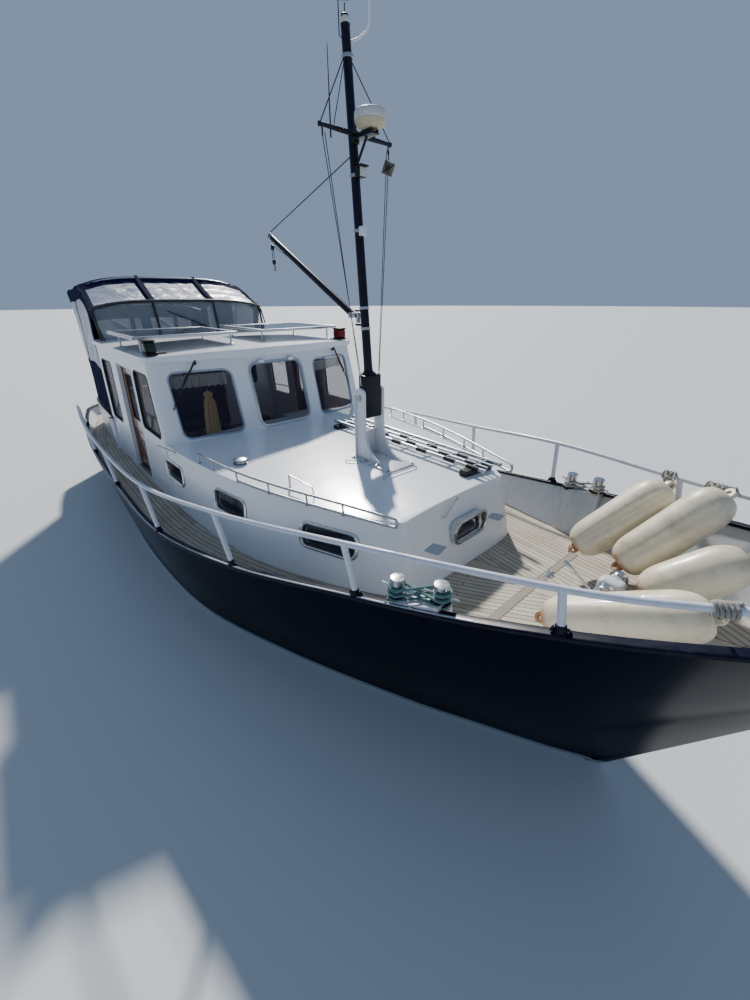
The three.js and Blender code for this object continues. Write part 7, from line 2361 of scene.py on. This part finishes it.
rim = pipe("wheel_rim", [on_wheel(0.210, 5 * k) for k in range(72)], 0.0135, 16, closed=True)
finished(rim, "steering_wheel", "varnish", mahogany)
spokes = [pipe("spoke", [on_wheel(0.018, a), on_wheel(0.110, a, -0.004), on_wheel(0.206, a)],
               [0.009, 0.0075, 0.006], 12) for a in (0, 60, 120, 180, 240, 300)]
hub = turned_piece("wheel_hub",
                   [(0.022, -0.020), (0.034, -0.016), (0.034, 0.016), (0.028, 0.020), (0.0, 0.020)], WHEEL,
                   AXLE, 32)
nut = turned_piece("wheel_nut", [(0.016, 0), (0.016, 0.008), (0.010, 0.014), (0.0, 0.016)],
                   WHEEL - AXLE * 0.019, -AXLE, 18)
finished(joined("wheel_hub_and_spokes", hub, nut, *spokes), "steering_wheel", "stainless", stainless)
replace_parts(rim, "steering_wheel")
throttle = [turned_piece("throttle_boss", [(0.030, 0), (0.030, 0.030), (0.022, 0.040), (0.0, 0.042)],
                         dash_face(-0.180, 0.110, 0.0), (-0.894, 0, 0.447), 24),
            pipe("throttle_arm",
                 [dash_face(-0.180, 0.110, 0.030), dash_face(-0.180, 0.200, 0.060),
                  dash_face(-0.180, 0.225, 0.065)], [0.006, 0.006, 0.014], 14)]
finished(joined("throttle", *throttle), "hull", "stainless", brushed)

# Helm seat: a box cushion and a back cushion covered in brown vinyl with piped seams, buttoned down
# by use, on a stainless pedestal with a foot flange.
post = [turned_piece("post",
                     [(0.110, 0), (0.110, 0.006), (0.060, 0.012), (0.046, 0.020), (0.0445, 0.480),
                      (0.060, 0.488), (0.060, 0.496)],
                     (-1.150, -0.620, 1.001), (0, 0, 1), 40),
        box_at("seat_pan", (-1.368, -0.848, 1.498), (-0.932, -0.392, 1.512), 0.004),
        box_at("back_plate", (-1.398, -0.848, 1.500), (-1.386, -0.392, 2.070), 0.004)]
finished(joined("helm_seat_frame", *post), "hull", "stainless", brushed)
seat_vinyl, shader = surface("brown_seat_vinyl", "5A4030", 0.42)
place = node(seat_vinyl, "TexCoord").outputs["Object"]
pebble = node(seat_vinyl, "TexVoronoi", [(place, "Vector")], in_Scale=420)
folds = node(seat_vinyl, "TexNoise", [(place, "Vector")], in_Scale=26, in_Detail=4, in_Distortion=1.2)
pebbled = node(seat_vinyl, "Bump", [(pebble.outputs["Distance"], "Height")], in_Strength=0.25,
               in_Distance=0.0005)
folded = node(seat_vinyl, "Bump", [(folds.outputs["Fac"], "Height"), (pebbled.outputs[0], "Normal")],
              in_Strength=0.5, in_Distance=0.003)
join_link(seat_vinyl, folded.outputs[0], shader, "Normal")


def stuffed(name, low, high, crown, seed):
    """A box cushion: faces crowned by their filling, and pulled in along the seams."""
    size, centre = [h - l for l, h in zip(low, high)], [(h + l) / 2 for l, h in zip(low, high)]
    made = box_at(name, low, high)
    modified(made, "SUBSURF", levels=5, render_levels=5, subdivision_type="SIMPLE")
    draw = random.Random(seed)
    shift = [draw.uniform(0, 6) for _ in range(4)]
    for vertex in made.data.vertices:
        f = [2 * (c - m) / s for c, m, s in zip(vertex.co, centre, size)]
        for axis in range(3):
            u, v = f[(axis + 1) % 3], f[(axis + 2) % 3]
            full = (1 - u ** 4) * (1 - v ** 4)
            wave = 0.16 * math.sin(5 * u + shift[0] + 2 * v) * math.sin(4 * v + shift[1])
            wave += 0.10 * math.sin(9 * v - 3 * u + shift[2])
            vertex.co[axis] -= f[axis] * crown * (1 - full) * (1 + wave)
        corner = sum(abs(c) ** 6 for c in f)
        vertex.co -= Vector([c * 0.0045 for c in f]) * max(0, corner - 1)
    return made


def piping(name, low, high, face_axis, at_high, radius):
    """A sewn cord round one face of a box cushion, following its rounded corners."""
    axes = [a for a in range(3) if a != face_axis]
    inset = 0.010
    outline = oblong(low[axes[0]] + inset, high[axes[0]] - inset, low[axes[1]] + inset,
                     high[axes[1]] - inset, 0.030)
    level = high[face_axis] - 0.013 if at_high else low[face_axis] + 0.013
    points = []
    for u, v in outline:
        p = [0, 0, 0]
        p[axes[0]], p[axes[1]], p[face_axis] = u, v, level
        points.append(tuple(p))
    return pipe(name, points, radius, 8, closed=True)


SEAT_BOX = ((-1.366, -0.846, 1.512), (-0.934, -0.394, 1.598))
BACK_BOX = ((-1.386, -0.846, 1.604), (-1.334, -0.394, 2.076))
for name, (low, high), face_axis in (("seat", SEAT_BOX, 2), ("back", BACK_BOX, 0)):
    cushion = stuffed("helm_cushion_" + name, low, high, 0.013, 5 + face_axis)
    finished(cushion, "hull", "seat_vinyl", seat_vinyl, smooth=60)
    if name == "seat":
        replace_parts(cushion, "helm_seat")
    cord = joined("helm_piping_" + name,
                  *[piping("piping", low, high, face_axis, at_high, 0.0035) for at_high in (True, False)])
    finished(cord, "hull", "seat_vinyl", seat_vinyl)

# Soft things behind the front windows: a short lace curtain gathered along the head of each outer
# window, and a tan chamois hung from a hook near the middle of the starboard one.
lace, shader = surface("white_lace_curtain", "F0EEE6", 0.9, Alpha=0.8, Sheen_Weight=0.3)
lace_at = node(lace, "UVMap", uv_map="cloth").outputs["UV"]
holes = node(lace, "TexVoronoi", [(lace_at, "Vector")], in_Scale=150)
open_work = node(lace, "MapRange", [(holes.outputs["Distance"], "Value")], in_1=0.12, in_2=0.3, in_3=0.96,
                 in_4=0.35)
join_link(lace, open_work.outputs[0], shader, "Alpha")
chamois, shader = surface("tan_chamois_cloth", "E8CB8C", 0.95)
place = node(chamois, "TexCoord").outputs["Object"]
nap = node(chamois, "TexNoise", [(place, "Vector")], in_Scale=55, in_Detail=6)
tone = node(chamois, "Mix", [(nap.outputs["Fac"], "Factor")], data_type="RGBA", in_6=linear("D2AF72"),
            in_7=linear("F6DFA6"))
join_link(chamois, tone.outputs["Result"], shader, "Base Color")
napped = node(chamois, "Bump", [(nap.outputs["Fac"], "Height")], in_Strength=0.4, in_Distance=0.002)
join_link(chamois, napped.outputs[0], shader, "Normal")
for name, y0, y1, drop in (("starboard", -1.190, -0.580, 0.150), ("port", 0.580, 1.190, 0.130)):
    rod = pipe("curtain_rod_" + name, [front_face(y0, 2.440, -0.066), front_face(y1, 2.440, -0.066)], 0.004,
               8)
    finished(rod, "hull", "stainless", stainless)
    rows = []
    for i in range(121):
        t = i / 120
        row = []
        for j in range(15):
            v = j / 14
            y = y0 + (y1 - y0) * t + 0.004 * math.sin(17 * t * math.pi) * v
            scallop = 0.018 * abs(math.sin(9 * math.pi * t)) * v
            uneven = 0.55 + 0.45 * math.sin(7 * t + 1) ** 2
            ripple = (0.010 + 0.007 * v) * math.sin(2 * math.pi * 17 * t + 0.8 * math.sin(5 * t)) * uneven
            x, _, z = front_face(y, 2.440, -0.070)
            row.append((x - 0.012 + ripple, y, z - (drop - scallop) * v))
        rows.append(row)
    curtain = cloth_sheet("lace_curtain_" + name, rows)
    modified(curtain, "SOLIDIFY", thickness=0.0008, offset=0)
    finished(curtain, "hull", "canvas", lace, smooth=60)
hook_at = Vector(front_face(-0.850, 2.270, -0.062))
hook = pipe("chamois_hook",
            [hook_at + Vector((0.030, 0, 0.016)), hook_at + Vector((0.004, 0, 0.012)),
             hook_at + Vector((-0.006, 0, 0.0)),
                             hook_at + Vector((-0.012, 0, 0.008))], 0.003, 8)
finished(hook, "hull", "stainless", stainless)
rows = []
for i in range(41):
    t, row = 2 * i / 40 - 1, []
    for j in range(61):
        v = j / 60
        waist = 0.022 * math.exp(-((v - 0.15) / 0.05) ** 2)
        spread_out = (0.052 + 0.038 * v - waist) * min(1, (v / 0.05) ** 0.5 + 0.1)
        fold = math.cos(3.6 * math.pi * t + 1.1 * math.sin(2.2 * v)) * (0.3 + 0.7 * min(1, 5 * v))
        deep = (0.026 * math.exp(-1.4 * v) + 0.008) * fold
        y = hook_at.y + t * spread_out + 0.006 * math.sin(4 * v + 1)
        x = hook_at.x - 0.006 + deep + 0.002 * math.sin(11 * t + 6 * v)
        z = hook_at.z - 0.004 - v * 0.545 - 0.045 * v * (1 - abs(t)) - 0.020 * (1 - v) ** 6 * abs(t)
        row.append((x, y, z))
    rows.append(row)
cloth = cloth_sheet("chamois", rows)
modified(cloth, "SOLIDIFY", thickness=0.0018, offset=0)
finished(cloth, "hull", "canvas", chamois, smooth=60)
